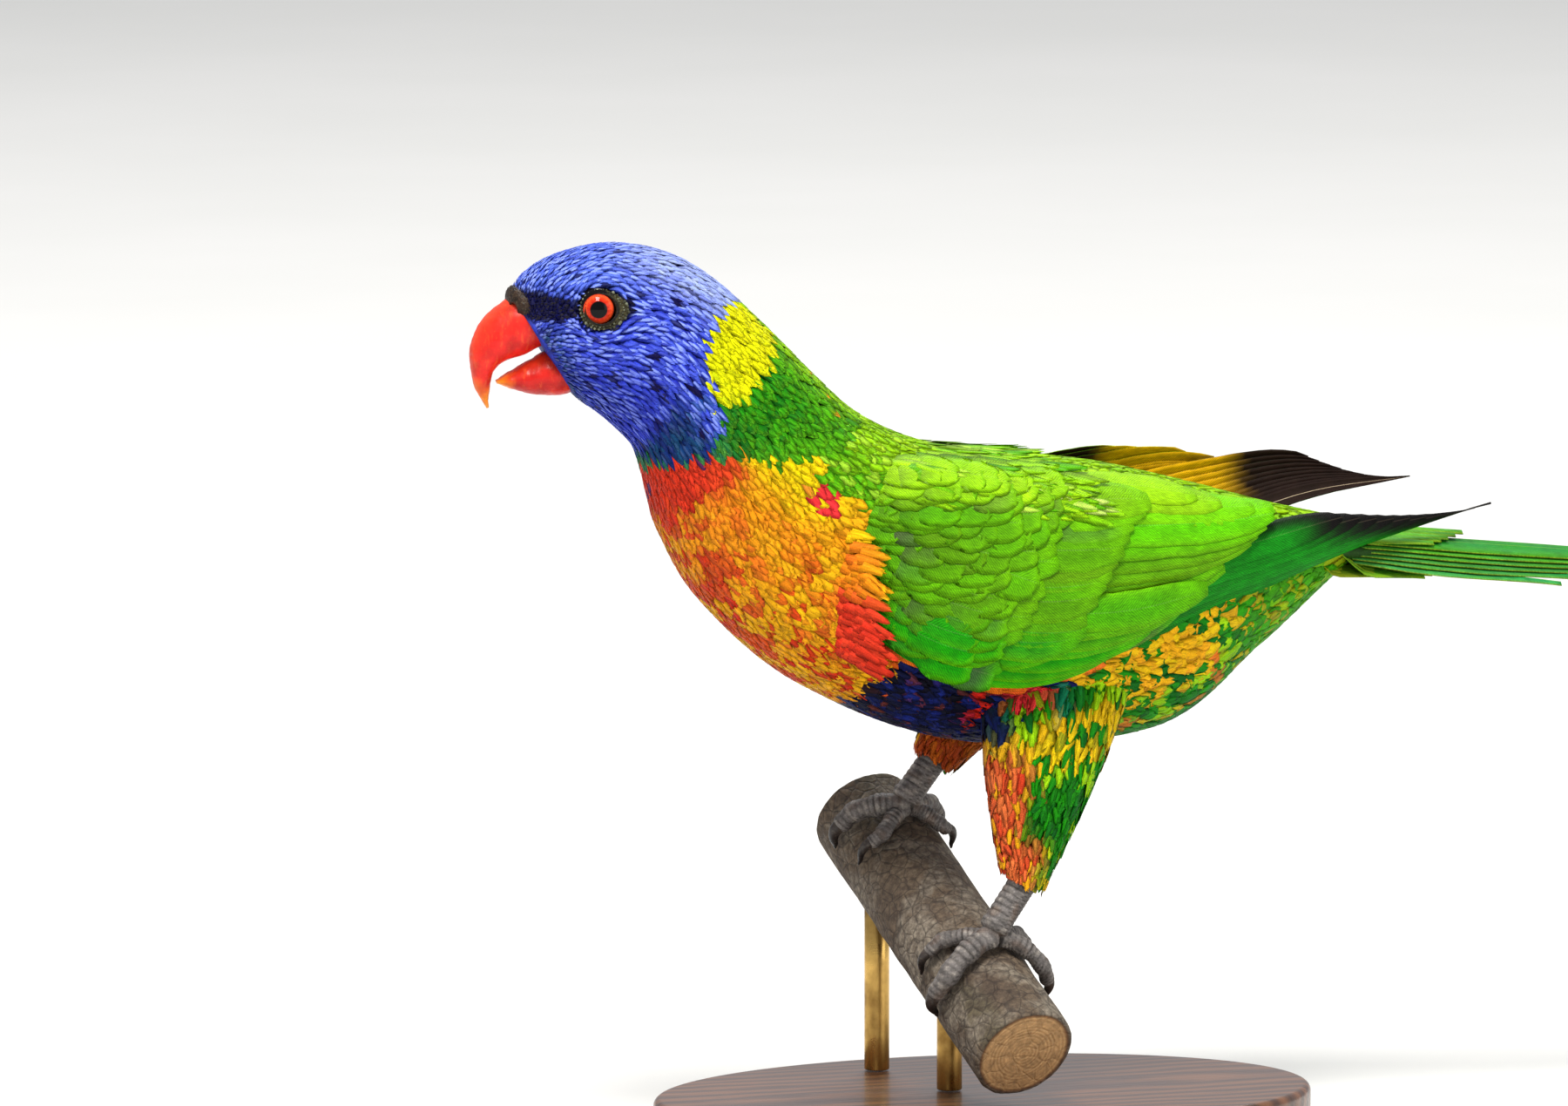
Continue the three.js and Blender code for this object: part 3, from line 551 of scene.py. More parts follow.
class PerchLine:
    """The branch's axis: along it, up from it and to its front, from the two grips."""

    radius: float = 11.0
    near = np.array([-5.2, -12.3, 32.1])
    far = np.array([-10.4, 25.7, 54.6])
    overhang: tuple[float, float] = (22.0, 15.0)

    def __init__(self) -> None:
        """Work out the axes."""
        self.span = float(np.linalg.norm(self.far - self.near))
        self.along = unit(self.far - self.near)
        front = unit(np.cross([0, 0, 1], self.along))
        up = unit(np.cross(self.along, front))
        self.up = up if up[2] > 0 else -up
        self.front = front if front[0] < 0 else -front

    def around(self, along: Array, angle: Array, radius: Array | float) -> Array:
        """Places at a distance along, an angle from the top to the front, and a radius.

        Args:
            along: Distance from the near grip.
            angle: Angle from the top.
            radius: Distance from the axis.

        Returns:
            The places.
        """
        along, angle, radius = np.broadcast_arrays(along, angle, radius)
        rise = (radius * np.cos(angle))[..., None] * self.up
        fore = (radius * np.sin(angle))[..., None] * self.front
        return self.near + along[..., None] * self.along + rise + fore


PERCH = PerchLine()


@dataclass(frozen=True)
class Leg:
    """One leg: its side, the grip it stands on, its ankle's front and rear, and its reach."""

    side: Side
    start: float
    ankle_front: tuple[float, float]
    ankle_rear: tuple[float, float]
    reach: float


LEGS = (
    Leg(Side.LEFT, 0.0, (-3.1, 56.4), (5.4, 51.6), 1.0),
    Leg(Side.RIGHT, PERCH.span, (-8.0, 78.4), (-0.4, 72.2), 0.8),
)
FOOT_Y = 19.0


class Thigh(Surface):
    """A feathered thigh: u is the share down to the ankle, v the angle from its rear outwards.

    Front and rear run from the flank to the ankle as powers of u, the half width swells by
    the square of a sine, and a section is an ellipse between them.
    """

    steps = (0.01, 0.01)
    top_z: float = 105.0
    front: float = -6.0
    rear: float = 31.0
    top_half: float = 3.2
    bulge: float = 4.0
    ankle_half: float = 4.1
    top_y: float = 12.4
    narrowing: float = 1.25

    def __init__(self, leg: Leg) -> None:
        """Keep the leg."""
        self.leg = leg

    def point(self, u: Array, v: Array, out: Array | float) -> Array:
        """Places on the thigh."""
        leg = self.leg
        u, v, out = np.broadcast_arrays(np.asarray(u, float), v, out)
        t = np.clip(u, 0, 1)
        beyond = u - t
        fx = lerp(self.front, leg.ankle_front[0], t**3)
        fz = lerp(self.top_z, leg.ankle_front[1], t)
        rx = lerp(self.rear, leg.ankle_rear[0], t**self.narrowing)
        rz = lerp(self.top_z, leg.ankle_rear[1], t)
        half = lerp(self.top_half, self.ankle_half, t**2)
        half = half + self.bulge * leg.reach * np.sin(np.pi * t) ** 2 + out
        ax, az = (rx - fx) / 2, (rz - fz) / 2
        length = np.hypot(ax, az)
        ax, az = ax * (length + out) / length, az * (length + out) / length
        x = (fx + rx) / 2 + ax * np.cos(v) + beyond * 8
        y = leg.side.value * lerp(self.top_y, FOOT_Y, u) + half * np.sin(v)
        z = (fz + rz) / 2 + az * np.cos(v) - beyond * (self.top_z - leg.ankle_front[1])
        return np.stack([x, y, z], axis=-1)


class WingSheet(Surface):
    """The sheet that a folded wing's feathers lie on: u is x, v the angle up from its widest line.

    A section is an ellipse, and a height out moves along its normal. The right wing is rolled
    open about a line near the back and lifted, both by smoothsteps of x.
    """

    steps = (0.3, 0.01)
    table = np.array(
        [
            [-46, 124, 22, 16.5],
            [-25, 117, 29, 24.5],
            [0, 112, 31, 27],
            [25, 112, 29, 25.5],
            [50, 116, 19, 19.5],
            [80, 122.5, 11, 14.2],
            [112, 126.8, 5, 8],
        ],
        float,
    )
    roll: float = math.radians(24)
    roll_y: float = 14.0
    roll_below: float = 5.0
    lift: float = 8.4

    def __init__(self, side: Side) -> None:
        """Keep the side, and which way the sheet faces."""
        self.side = side
        self.facing = -side.value

    def section(self, x: Array) -> tuple[Array, Array, Array]:
        """Middle height, half height and half width at x."""
        stations = self.table[:, 0]
        place = np.interp(x, stations, np.arange(len(stations)))
        row = smooth(self.table[:, 1:], place)
        return row[..., 0], row[..., 1], row[..., 2]

    def point(self, u: Array, v: Array, out: Array | float) -> Array:
        """Places on the sheet."""
        u, v, out = np.broadcast_arrays(np.asarray(u, float), v, out)
        z, high, wide = self.section(u)
        ny, nz = np.cos(v) / wide, np.sin(v) / high
        norm = np.hypot(ny, nz)
        y = wide * np.cos(v) + out * ny / norm
        up = high * np.sin(v) + out * nz / norm
        if self.side is Side.RIGHT:
            roll = self.roll * smoothstep(u, 10, 60)
            fy, fz = y - self.roll_y, up + self.roll_below
            y = self.roll_y + fy * np.cos(roll) + fz * np.sin(roll)
            up = fz * np.cos(roll) - fy * np.sin(roll) - self.roll_below
            up = up + self.lift * (0.9 * smoothstep(u, 12, 54) - 0.5 * smoothstep(u, 66, 108))
        return np.stack([u, self.side.value * y, z + up], axis=-1)


class TailPlane(Surface):
    """The tail's plane: u is x, v is y, and it falls by a slope backwards and a roof sideways."""

    steps = (0.5, 0.5)
    root_x: float = 74.0
    root_z: float = 122.4
    tip_x: float = 181.0
    slope: float = math.tan(math.radians(6))
    roof: float = 0.22

    def point(self, u: Array, v: Array, out: Array | float) -> Array:
        """Places on the plane."""
        u, v, out = np.broadcast_arrays(np.asarray(u, float), v, out)
        z = self.root_z - self.slope * (u - self.root_x) - self.roof * np.abs(v) + out
        return np.stack([u, v, z], axis=-1)


BODY_SURFACE = Loft(BODY, BODY_SQUARENESS, turns=True)


# Feathers


@dataclass
class Plumes:
    """A set of feathers, with one value for each in every array; a single number holds for all.

    Attributes:
        u: First surface parameter of the root.
        v: Second surface parameter of the root.
        length: Length.
        width: Full width.
        turn: Heading away from the lie, in radians.
        sink: Height of the root over the surface.
        lift: Height of the tip over it.
        roll: Height by which the left edge lies over the right one.
        base: Colour at the root.
        middle: Colour along the middle.
        tip: Colour at the end.
        edge: Colour of the margins.
        shaft: Strength of the pale shaft, from 0 to 1.
        reach: Share of the length that the end colour takes.
    """

    u: Array
    v: Array
    length: Array
    width: Array
    turn: Array
    sink: Array
    lift: Array
    roll: Array
    base: Array
    middle: Array
    tip: Array
    edge: Array
    shaft: Array
    reach: Array

    def __post_init__(self) -> None:
        """Repeat single numbers for every feather."""
        for name, value in vars(self).items():
            if np.ndim(value) == 0:
                setattr(self, name, np.full(len(self.u), float(value)))

    def only(self, keep: Array) -> Plumes:
        """The feathers for which keep is true."""
        return Plumes(**{name: value[keep] for name, value in vars(self).items()})


@dataclass(frozen=True)
class Cut:
    """The shape of a feather's blade.

    Attributes:
        rows: Rows of points along it.
        columns: Points across its face.
        root: Width at the root, as a share.
        wide_by: Share of the length by which it is full wide.
        narrows: Share from which it narrows.
        end: Width at the end, as a share.
        power: 2 for a round end, 1 for a pointed one.
        thick: Thickness of its middle.
        risen_by: Share of the length by which it has risen to its height.
        ragged: How unevenly its margins end, as a share of the width.
        fray: How far short some of its columns end, as a share of the last step.
        walled: Whether its edges are cut square, or else run out thin.
        crown: Height of the middle over the margins.
        glide: Height that the blade still gains along its length after the rise.
    """

    rows: int = 5
    columns: int = 3
    root: float = 0.45
    wide_by: float = 0.35
    narrows: float = 0.6
    end: float = 0.12
    power: float = 2.0
    thick: float = 0.16
    risen_by: float = 0.7
    ragged: float = 0.0
    fray: float = 0.0
    walled: bool = False
    crown: float = 0.12
    glide: float = 0.0

    def outline(self, t: Array) -> Array:
        """Width along the blade as a share: a smooth rise, then (1 - (1 - end^p) past^p)^(1/p)."""
        rise = lerp(self.root, 1.0, smoothstep(t / self.wide_by))
        past = np.clip((t - self.narrows) / (1 - self.narrows), 0, 1)
        fall = 1 - (1 - self.end**self.power) * past**self.power
        return rise * fall ** (1 / self.power)


def blade_web(
    top: Array, under: Array, tint: Array, under_tint: Array, vane: Array, bake: Array, walled: bool
) -> Web:
    """Web of closed blades from the places of their two faces.

    A ring goes across the upper face and back across the lower one. Thin-edged blades share the
    edge points of both faces, walled ones have a narrow wall there. Both ends are closed.

    Args:
        top: Upper places, as feather by row by column by coordinate.
        under: Lower places.
        tint: Colour and shaft strength over the upper face.
        under_tint: The same over the lower face.
        vane: Millimetres across and along.
        bake: Pairs of the OFBake map.
        walled: Whether the edges have walls.

    Returns:
        The web.
    """
    count, rows, columns = top.shape[:3]
    back = slice(None, None, -1) if walled else slice(columns - 2, 0, -1)
    points = np.concatenate([top, under[:, :, back]], axis=2)
    colours = np.concatenate([tint, under_tint[:, :, back]], axis=2)
    along = np.concatenate([vane, vane[:, :, back]], axis=2)
    places = np.concatenate([bake, bake[:, :, back]], axis=2)
    around = points.shape[2]
    number = np.arange(count * rows * around).reshape(count, rows, around)
    after = np.roll(number, -1, axis=2)
    quads = [np.stack([number[:, :-1], after[:, :-1], after[:, 1:], number[:, 1:]], -1).reshape(-1, 4)]
    tris = []
    j = np.arange(columns)
    if walled:
        below = 2 * columns - 1 - j
    else:
        below = np.where((j == 0) | (j == columns - 1), j, around - j)
    for row, turn in ((0, 1), (rows - 1, -1)):
        ring = number[:, row]
        a, b = ring[:, j[1:]], ring[:, j[:-1]]
        c, d = ring[:, below[:-1]], ring[:, below[1:]]
        inner = slice(None) if walled else slice(1, -1)
        cap = np.stack([a, b, c, d], axis=-1)[:, inner].reshape(-1, 4)
        quads.append(cap[:, ::turn])
        if not walled:
            tris.append(np.stack([a[:, 0], b[:, 0], d[:, 0]], axis=-1)[:, ::turn])
            tris.append(np.stack([a[:, -1], b[:, -1], c[:, -1]], axis=-1)[:, ::turn])
    quads = np.concatenate(quads)
    tris = np.concatenate(tris) if tris else np.zeros((0, 3), int)
    uvs = {}
    for name, pairs in (("OFBake", places.reshape(-1, 2)), ("vane", along.reshape(-1, 2))):
        uvs[name] = (pairs[quads], pairs[tris])
    return Web(points.reshape(-1, 3), quads, tris, colours.reshape(-1, 4), uvs)


BAKE_PATCH = 0.003


def bake_pairs(u: Array, v: Array, t: Array, q: Array) -> Array:
    """Pairs of a small patch at each root's place on the skin's unwrap.

    Args:
        u: First unwrap coordinate of each root, from 0 to 1.
        v: Second unwrap coordinate.
        t: Shares along the blade.
        q: Shares across, from -1 to 1.

    Returns:
        Pairs as feather by row by column by two.
    """
    u0 = 0.005 + 0.987 * np.clip(u, 0, 1)
    v0 = 0.005 + 0.987 * np.clip(v, 0, 1)
    across = v0[:, None, None] + BAKE_PATCH * (q[None, None, :] + 1) / 2
    along = u0[:, None, None] + BAKE_PATCH * t[None, :, None]
    shape = (len(u), len(t), len(q))
    return np.stack([np.broadcast_to(along, shape), np.broadcast_to(across, shape)], axis=-1)


def feather_web(
    surface: Surface, plumes: Plumes, cut: Cut, unwrap: Callable[[Array, Array], tuple[Array, Array]],
    heading: Callable[[Array, Array], Array] | None = None, seed: int = 0,
) -> Web:
    """Web of feathers that grow from a surface and lie along it.

    Each centre line starts at the root and takes equal steps in the tangent plane, along the
    first parameter turned by the heading. A point across it is a step sideways from there, and
    its height goes from the root's to the tip's by a smoothstep, less a slope of the glide.

    Args:
        surface: The surface.
        plumes: The feathers.
        cut: The blade's shape.
        unwrap: Gives the skin's unwrap coordinates of a root.
        heading: Turn of the lie at a place, in radians.
        seed: Seed of the ragged margins.

    Returns:
        The web.
    """
    draw = np.random.default_rng(SEED + seed)
    count = len(plumes.u)
    t = np.linspace(0, 1, cut.rows)
    q = np.linspace(-1, 1, cut.columns)
    u, v = plumes.u.astype(float), plumes.v.astype(float)
    step = (plumes.length / (cut.rows - 1))[:, None]
    lines, sides = [], []
    for _ in t:
        pu, pv, normal = surface.slopes(u, v)
        turn = plumes.turn + (heading(u, v) if heading else 0.0)
        way = surface.headed(pu, normal, turn)
        lines.append(np.stack([u, v], axis=-1))
        sides.append(np.stack(surface.offsets(pu, pv, np.cross(way, normal)), axis=-1))
        du, dv = surface.offsets(pu, pv, way * step)
        u, v = u + du, v + dv
    line, across = np.stack(lines, axis=1), np.stack(sides, axis=1)
    shape = (count, cut.rows, cut.columns)
    width = cut.outline(t)[None, :] * plumes.width[:, None] / 2
    if cut.ragged:
        notch = 1 + cut.ragged * draw.uniform(-1, 0.5, (count, cut.rows, 2))
        notch[:, : cut.rows // 2] = 1
        sided = np.where(q[None, None, :] < 0, notch[..., :1], notch[..., 1:])
        reach = width[..., None] * sided * q
    else:
        reach = width[..., None] * q
    place = line[:, :, None, :] + across[:, :, None, :] * reach[..., None]
    short = cut.fray * draw.uniform(0, 1, (count, cut.columns, 1))
    place[:, -1] = lerp(place[:, -1], place[:, -2], short)
    rise = smoothstep(t / cut.risen_by)[None, :]
    height = lerp(plumes.sink[:, None], plumes.lift[:, None], rise)[..., None]
    height = height - cut.glide * ((1 - t) * rise[0])[None, :, None]
    bow = cut.crown * (1 - q**2) * np.minimum(1, t * 4)[:, None]
    height = height + bow[None] - plumes.roll[:, None, None] * q * rise[..., None]
    thin = cut.thick * np.minimum(1, 1.3 - t)[:, None] * np.where(cut.walled, 1, 1 - 0.9 * q**2)
    top = surface.point(place[..., 0], place[..., 1], height)
    under = surface.point(place[..., 0], place[..., 1], height - thin[None])
    tint = plume_tint(plumes, t, q)
    vane = np.stack([reach, np.broadcast_to(t[None, :, None] * plumes.length[:, None, None], shape)], -1)
    vane = vane + np.array([0.0, 1.0]) * draw.uniform(0, 40, (count, 1, 1, 1))
    bake = bake_pairs(*unwrap(plumes.u, plumes.v), t, q)
    return blade_web(top, under, tint, tint, vane, bake, cut.walled)


def plume_tint(plumes: Plumes, t: Array, q: Array) -> Array:
    """Colour over each blade: root to middle to end along it, then towards the margin's colour.

    Args:
        plumes: The feathers.
        t: Shares along.
        q: Shares across.

    Returns:
        Colour and shaft strength as feather by row by column by four.
    """
    shape = (len(plumes.u), len(t), len(q))
    to_middle = np.broadcast_to(smoothstep(t, 0.15, 0.6)[None, :, None], shape)
    reach = plumes.reach[:, None, None]
    to_tip = smoothstep(t[None, :, None], 1 - reach, 1 - 0.2 * reach)
    to_tip = np.broadcast_to(to_tip, shape)
    to_edge = np.broadcast_to((np.abs(q) ** 3)[None, None, :] * 0.85, shape)
    spread = [c[:, None, None, :] for c in (plumes.base, plumes.middle, plumes.tip, plumes.edge)]
    colour = blend(spread[0], spread[1], to_middle)
    colour = blend(colour, spread[3], to_edge * to_middle)
    colour = blend(colour, spread[2], to_tip)
    fade = smoothstep(t, 0.05, 0.35) * smoothstep(t, 1.02, 0.8)
    return with_alpha(np.clip(colour, 0, 1), plumes.shaft[:, None, None, None] * fade[None, :, None, None])


def scattered(
    surface: Surface, u_range: tuple[float, float], v_range: tuple[float, float],
    spacing: Callable[[Array, Array], Array], draw: np.random.Generator, cells: int = 160,
) -> tuple[Array, Array]:
    """Roots spread over a surface with none closer than the spacing there.

    Candidates are drawn by area over the spacing squared, and each is kept if no kept one is
    nearer than its spacing, found through a table of cubes.

    Args:
        surface: The surface.
        u_range: Lowest and highest first parameter.
        v_range: Lowest and highest second parameter.
        spacing: Wanted distance at a place; a place with none has infinity.
        draw: Random draws.
        cells: Cells along each parameter.

    Returns:
        u and v of the roots.
    """
    cu = lerp(*u_range, (np.arange(cells) + 0.5) / cells)
    cv = lerp(*v_range, (np.arange(cells) + 0.5) / cells)
    gu, gv = (g.ravel() for g in np.meshgrid(cu, cv, indexing="ij"))
    pu, pv, _ = surface.slopes(gu, gv)
    du, dv = (u_range[1] - u_range[0]) / cells, (v_range[1] - v_range[0]) / cells
    area = np.linalg.norm(np.cross(pu, pv), axis=-1) * du * dv
    weight = area / spacing(gu, gv) ** 2
    picks = draw.choice(len(gu), int(weight.sum() * 6), p=weight / weight.sum())
    u = gu[picks] + draw.uniform(-0.5, 0.5, len(picks)) * du
    v = gv[picks] + draw.uniform(-0.5, 0.5, len(picks)) * dv
    places = surface.point(u, v, 0.0)
    gaps = spacing(u, v) * 0.86
    finite = np.isfinite(gaps)
    u, v, places, gaps = u[finite], v[finite], places[finite], gaps[finite]
    size = float(gaps.max())
    kept: list[int] = []
    table: dict[tuple[int, int, int], list[int]] = {}
    cubes = np.floor(places / size).astype(int)
    around = [(a, b, c) for a in (-1, 0, 1) for b in (-1, 0, 1) for c in (-1, 0, 1)]
    spots = places.tolist()
    for i, (cube, gap) in enumerate(zip(cubes.tolist(), gaps.tolist())):
        x, y, z = spots[i]
        near = (
            k
            for a, b, c in around
            for k in table.get((cube[0] + a, cube[1] + b, cube[2] + c), ())
            if (spots[k][0] - x) ** 2 + (spots[k][1] - y) ** 2 + (spots[k][2] - z) ** 2 < gap * gap
        )
        if next(near, None) is None:
            kept.append(i)
            table.setdefault(tuple(cube), []).append(i)
    chosen = np.array(kept)
    return u[chosen], v[chosen]


def petals(along: Array, across: Array, long: float, wide: float, seed: float) -> tuple[Array, Array, Array]:
    """Pattern of overlapping rounded petals, laid in rows like tiles.

    Row r ends at (r + 1) long - 0.5 long q^2, with q the distance from the petal's middle line
    in half widths, and every other row is shifted by half a petal. The foremost row that
    reaches a place is the one seen there.

    Args:
        along: Distance along the lie.
        across: Distance across it.
        long: Length of a petal that shows.
        wide: Its width.
        seed: Sets the draws.

    Returns:
        Distance to the petal's margin, and two draws from 0 to 1 for each petal.
    """
    made = []
    for step in (0.0, 1.0):
        row = np.floor(along / long) + step
        shift = across / wide + 0.5 * (row % 2)
        middle = np.round(shift)
        left = (row + 1) * long - 2.0 * long * (shift - middle) ** 2 - along
        made.append((left, row, middle))
    left, row, middle = (np.where(made[0][0] > 0, one, two) for one, two in zip(*made))
    waves = ((12.9898, 78.233), (39.346, 11.135))
    draws = [np.sin(row * k + middle * m + seed) * 43758.5453 % 1.0 for k, m in waves]
    return left, draws[0], draws[1]


def patch(p: Array, x: float, z: float, long: float, high: float) -> Array:
    """1 inside an ellipse in side view, fading over its border."""
    return smoothstep(np.hypot((p[..., 0] - x) / long, (p[..., 2] - z) / high), 1.2, 0.8)


# The body's markings


class Hue:
    """Linear colours of the plumage and the bare parts."""

    violet = linear(62, 84, 232)
    deep_blue = linear(30, 38, 176)
    sky = linear(100, 134, 255)
    # pale blue of the painted highlight on the hind crown
    pale_blue = linear(204, 220, 248)
    ink = linear(18, 12, 52)
    throat = linear(28, 40, 176)
    band = linear(8, 36, 96)
    sea = linear(8, 92, 96)
    lemon = linear(246, 250, 0)
    lime = linear(168, 226, 10)
    leaf = linear(84, 178, 10)
    green = linear(30, 150, 10)
    deep_green = linear(10, 98, 26)
    teal = linear(10, 128, 92)
    olive = linear(104, 150, 16)
    moss = linear(40, 92, 6)
    orange = linear(250, 138, 16)
    amber = linear(252, 174, 20)
    yellow = linear(246, 206, 8)
    red = linear(212, 34, 20)
    scarlet = linear(236, 66, 36)
    rust = linear(178, 50, 18)
    rose = linear(240, 52, 56)
    navy = linear(16, 32, 100)
    night = linear(10, 12, 30)
    brown = linear(66, 40, 30)
    plum = linear(72, 52, 62)
    soot = linear(18, 15, 14)
    bare = linear(50, 46, 26)


class Zone(Enum):
    """Regions of the body's plumage."""

    HEAD = 0
    COLLAR = 1
    NECK = 2
    BREAST = 3
    BELLY = 4
    BACK = 5
    VENT = 6


EYE_X, EYE_Z = -85.1, 175.3
RING_FRONT, RING_REAR, RING_HIGH = 4.2, 6.0, 4.1
LORE_END = (-100.0, 176.3)
LORE_HALF = 2.0


class BodyMap:
    """Where each colour of the body lies, by station and by degrees from the back to the breast."""

    head_edge = (
        (0, 14, 46, 68, 83, 88, 92, 98, 109, 140, 163, 180),
        (5.55, 5.53, 5.38, 5.26, 5.55, 6.05, 6.42, 6.6, 6.68, 6.42, 5.86, 5.74),
    )
    collar_edge = ((0, 10, 14, 38, 56, 75, 90, 96), (5.8, 5.85, 6.26, 6.4, 6.46, 6.44, 6.3, 6.0))
    breast_top = ((60, 70, 88, 97, 116, 156, 180), (8.05, 7.95, 7.68, 7.15, 6.68, 6.28, 6.18))
    wing_edge = (
        (7.6, 7.9, 8.15, 8.4, 8.65, 8.97, 9.38, 9.53, 9.68, 9.9, 10.1),
        (66, 71, 77, 80, 78, 77, 78, 80, 84, 90, 96),
    )
    breast_end = 10.3
    belly_end = ((90, 104, 118, 140, 180), (10.5, 10.95, 11.3, 11.5, 11.7))

    @staticmethod
    def degrees(v: Array) -> Array:
        """Degrees from the back's midline, alike on both sides."""
        return np.degrees(np.abs((np.asarray(v) + np.pi) % TAU - np.pi))

    def zone(self, s: Array, v: Array) -> Array:
        """Zone number at each place.

        Args:
            s: Station.
            v: Angle from the back.

        Returns:
            Values of Zone.
        """
        a = self.degrees(v)
        head = s < np.interp(a, *self.head_edge)
        collar = (s < np.interp(a, *self.collar_edge)) & (a < 93)
        flank = a > np.interp(s, *self.wing_edge)
        breast = (s > np.interp(a, *self.breast_top)) & flank & (s < self.breast_end)
        belly = (s >= self.breast_end) & (s < np.interp(a, *self.belly_end)) & (a > 92)
        vent = (s >= self.breast_end) & (a > 66)
        back = s > 8.0
        names = [Zone.HEAD, Zone.COLLAR, Zone.BREAST, Zone.BELLY, Zone.VENT, Zone.BACK]
        tests = [head, collar, breast, belly, vent, back]
        return np.select(tests, [z.value for z in names], Zone.NECK.value)

    def face_places(self, s: Array, v: Array) -> tuple[Array, Array]:
        """Side-view distances on the head that set the face's pattern.

        Args:
            s: Station.
            v: Angle from the back.

        Returns:
            Distance from the eye as a share of its bare ring, and from the lore's line as a share
            of its half height.
        """
        p = BODY_SURFACE.straight(s, v, 0.0)
        dx, dz = p[..., 0] - EYE_X, p[..., 2] - EYE_Z
        long = np.where(dx > 0, RING_REAR, RING_FRONT)
        pinch = 1 + 0.55 * smoothstep(dx / RING_REAR, 0.3, 1.0)
        ring = np.hypot(dx / long, dz * pinch / RING_HIGH)
        ax, az = LORE_END[0] - EYE_X, LORE_END[1] - EYE_Z
        t = np.clip((dx * ax + dz * az) / (ax * ax + az * az), 0, 1)
        lore = np.hypot(dx - t * ax, dz - t * az) / (LORE_HALF * (1 + 0.4 * t))
        return ring, lore

    def colours(self, s: Array, v: Array, chance: Array) -> tuple[Array, ...]:
        """Root, middle, end and margin colours, shaft strength and end share at each place.

        Args:
            s: Station.
            v: Angle from the back.
            chance: Five draws from 0 to 1 for each place.

        Returns:
            The four colours, the shaft strength and the end's share.
        """
        a = self.degrees(v)
        p = BODY_SURFACE.point(s, v, 0.0)
        c = list(np.moveaxis(chance, -1, 0))
        zone = self.zone(s + 0.09 * (c[0] - 0.5), np.radians(a + 4 * (c[1] - 0.5)))
        sets = {
            Zone.HEAD: self.head(s, v, a, p, c),
            Zone.COLLAR: self.collar(s, a, c),
            Zone.NECK: self.neck(s, a, p, c),
            Zone.BREAST: self.breast(s, a, p, c),
            Zone.BELLY: self.belly(p, c),
            Zone.BACK: self.back(s, a, p, c),
            Zone.VENT: self.vent(s, a, p, c),
        }
        made = []
        for k in range(6):
            column = [np.broadcast_to(sets[z][k], s.shape + (3,) if k < 4 else s.shape) for z in Zone]
            test = [(zone == z.value)[..., None] if k < 4 else zone == z.value for z in Zone]
            made.append(np.select(test, column))
        return tuple(made)

    def head(self, s: Array, v: Array, a: Array, p: Array, c: list[Array]) -> tuple:
        """Violet-blue with pale shafts, a painted highlight on the hind crown, dark spots and a dark lore."""
        ring, lore = self.face_places(s, v)
        jaw = smoothstep(a, 84, 122)
        # sheen: where the painted highlight lies, over the hind crown and nape
        sheen = smoothstep(s, 2.7, 4.1) * smoothstep(a, 66, 30)
        low = smoothstep(s, 5.0, 5.7) * smoothstep(a, 96, 116)
        face = smoothstep(s, 1.9, 0.5) * smoothstep(a, 66, 84)
        middle = painted(
            blend(Hue.violet, Hue.deep_blue, 0.85 * c[0]),
            (Hue.sky, (0.25 + 0.5 * c[1]) * (smoothstep(s, 4.4, 2.6) * smoothstep(a, 78, 52))),
            (Hue.throat, 0.75 * jaw),
            # painted highlight: pale blue over the hind crown, standing in for light on the top of the head
            (Hue.pale_blue, sheen * (0.35 + 0.5 * c[1])),
            (Hue.band, 0.95 * low),
            (Hue.sea, 0.5 * smoothstep(s, 5.3, 5.9) * smoothstep(a, 84, 96) * c[0]),
            (blend(Hue.ink, Hue.sea, 0.6 * c[1]), face * (0.35 + 0.6 * (c[0] > 0.55))),
        )
        tip = blend(middle, Hue.sky, (0.1 + 0.25 * c[1]) * (1 - low))
        spots = smoothstep(ripple(p, 4.6, 77), 0.62, 0.8) * smoothstep(s, 1.8, 3.0) * (a > 38) * (a < 150)
        spots = np.maximum(spots, 0.9 * (c[2] > 0.975))
        dark = np.clip(smoothstep(lore, 1.45, 1.05) + smoothstep(ring, 1.25, 1.02), 0, 1)
        marks = ((Hue.ink, spots), (blend(Hue.bare * 0.7, Hue.soot * 0.5, c[3]), dark))
        middle, tip = painted(middle, *marks), painted(tip, *marks)
        base = blend(middle, Hue.deep_blue * 0.5, 0.5)
        # margins darker, but not under the painted highlight
        edge = blend(middle, Hue.deep_blue * 0.6, 0.45 * (1 - sheen))
        streak = np.where(c[3] < 0.5, 0.65 + 0.7 * c[3], 0.12)
        shaft = streak * (1 - dark) * (1 - 0.5 * jaw) * (1 - 0.8 * low) * (1 - spots) * (1 - 0.5 * face)
        return base, middle, tip, edge, shaft, 0.3

    def collar(self, s: Array, a: Array, c: list[Array]) -> tuple:
        """Lemon yellow, greener at its margins."""
        near = smoothstep(s, 6.3, 6.55) + smoothstep(a, 76, 90)
        green = smoothstep(a, 20, 4) * 0.8 + 0.6 * near * c[1]
        middle = painted(Hue.lemon, (Hue.yellow, 0.25 * c[0]), (Hue.leaf, np.clip(green, 0, 0.9)))
        return middle, middle, middle, middle, 0.0, 0.35

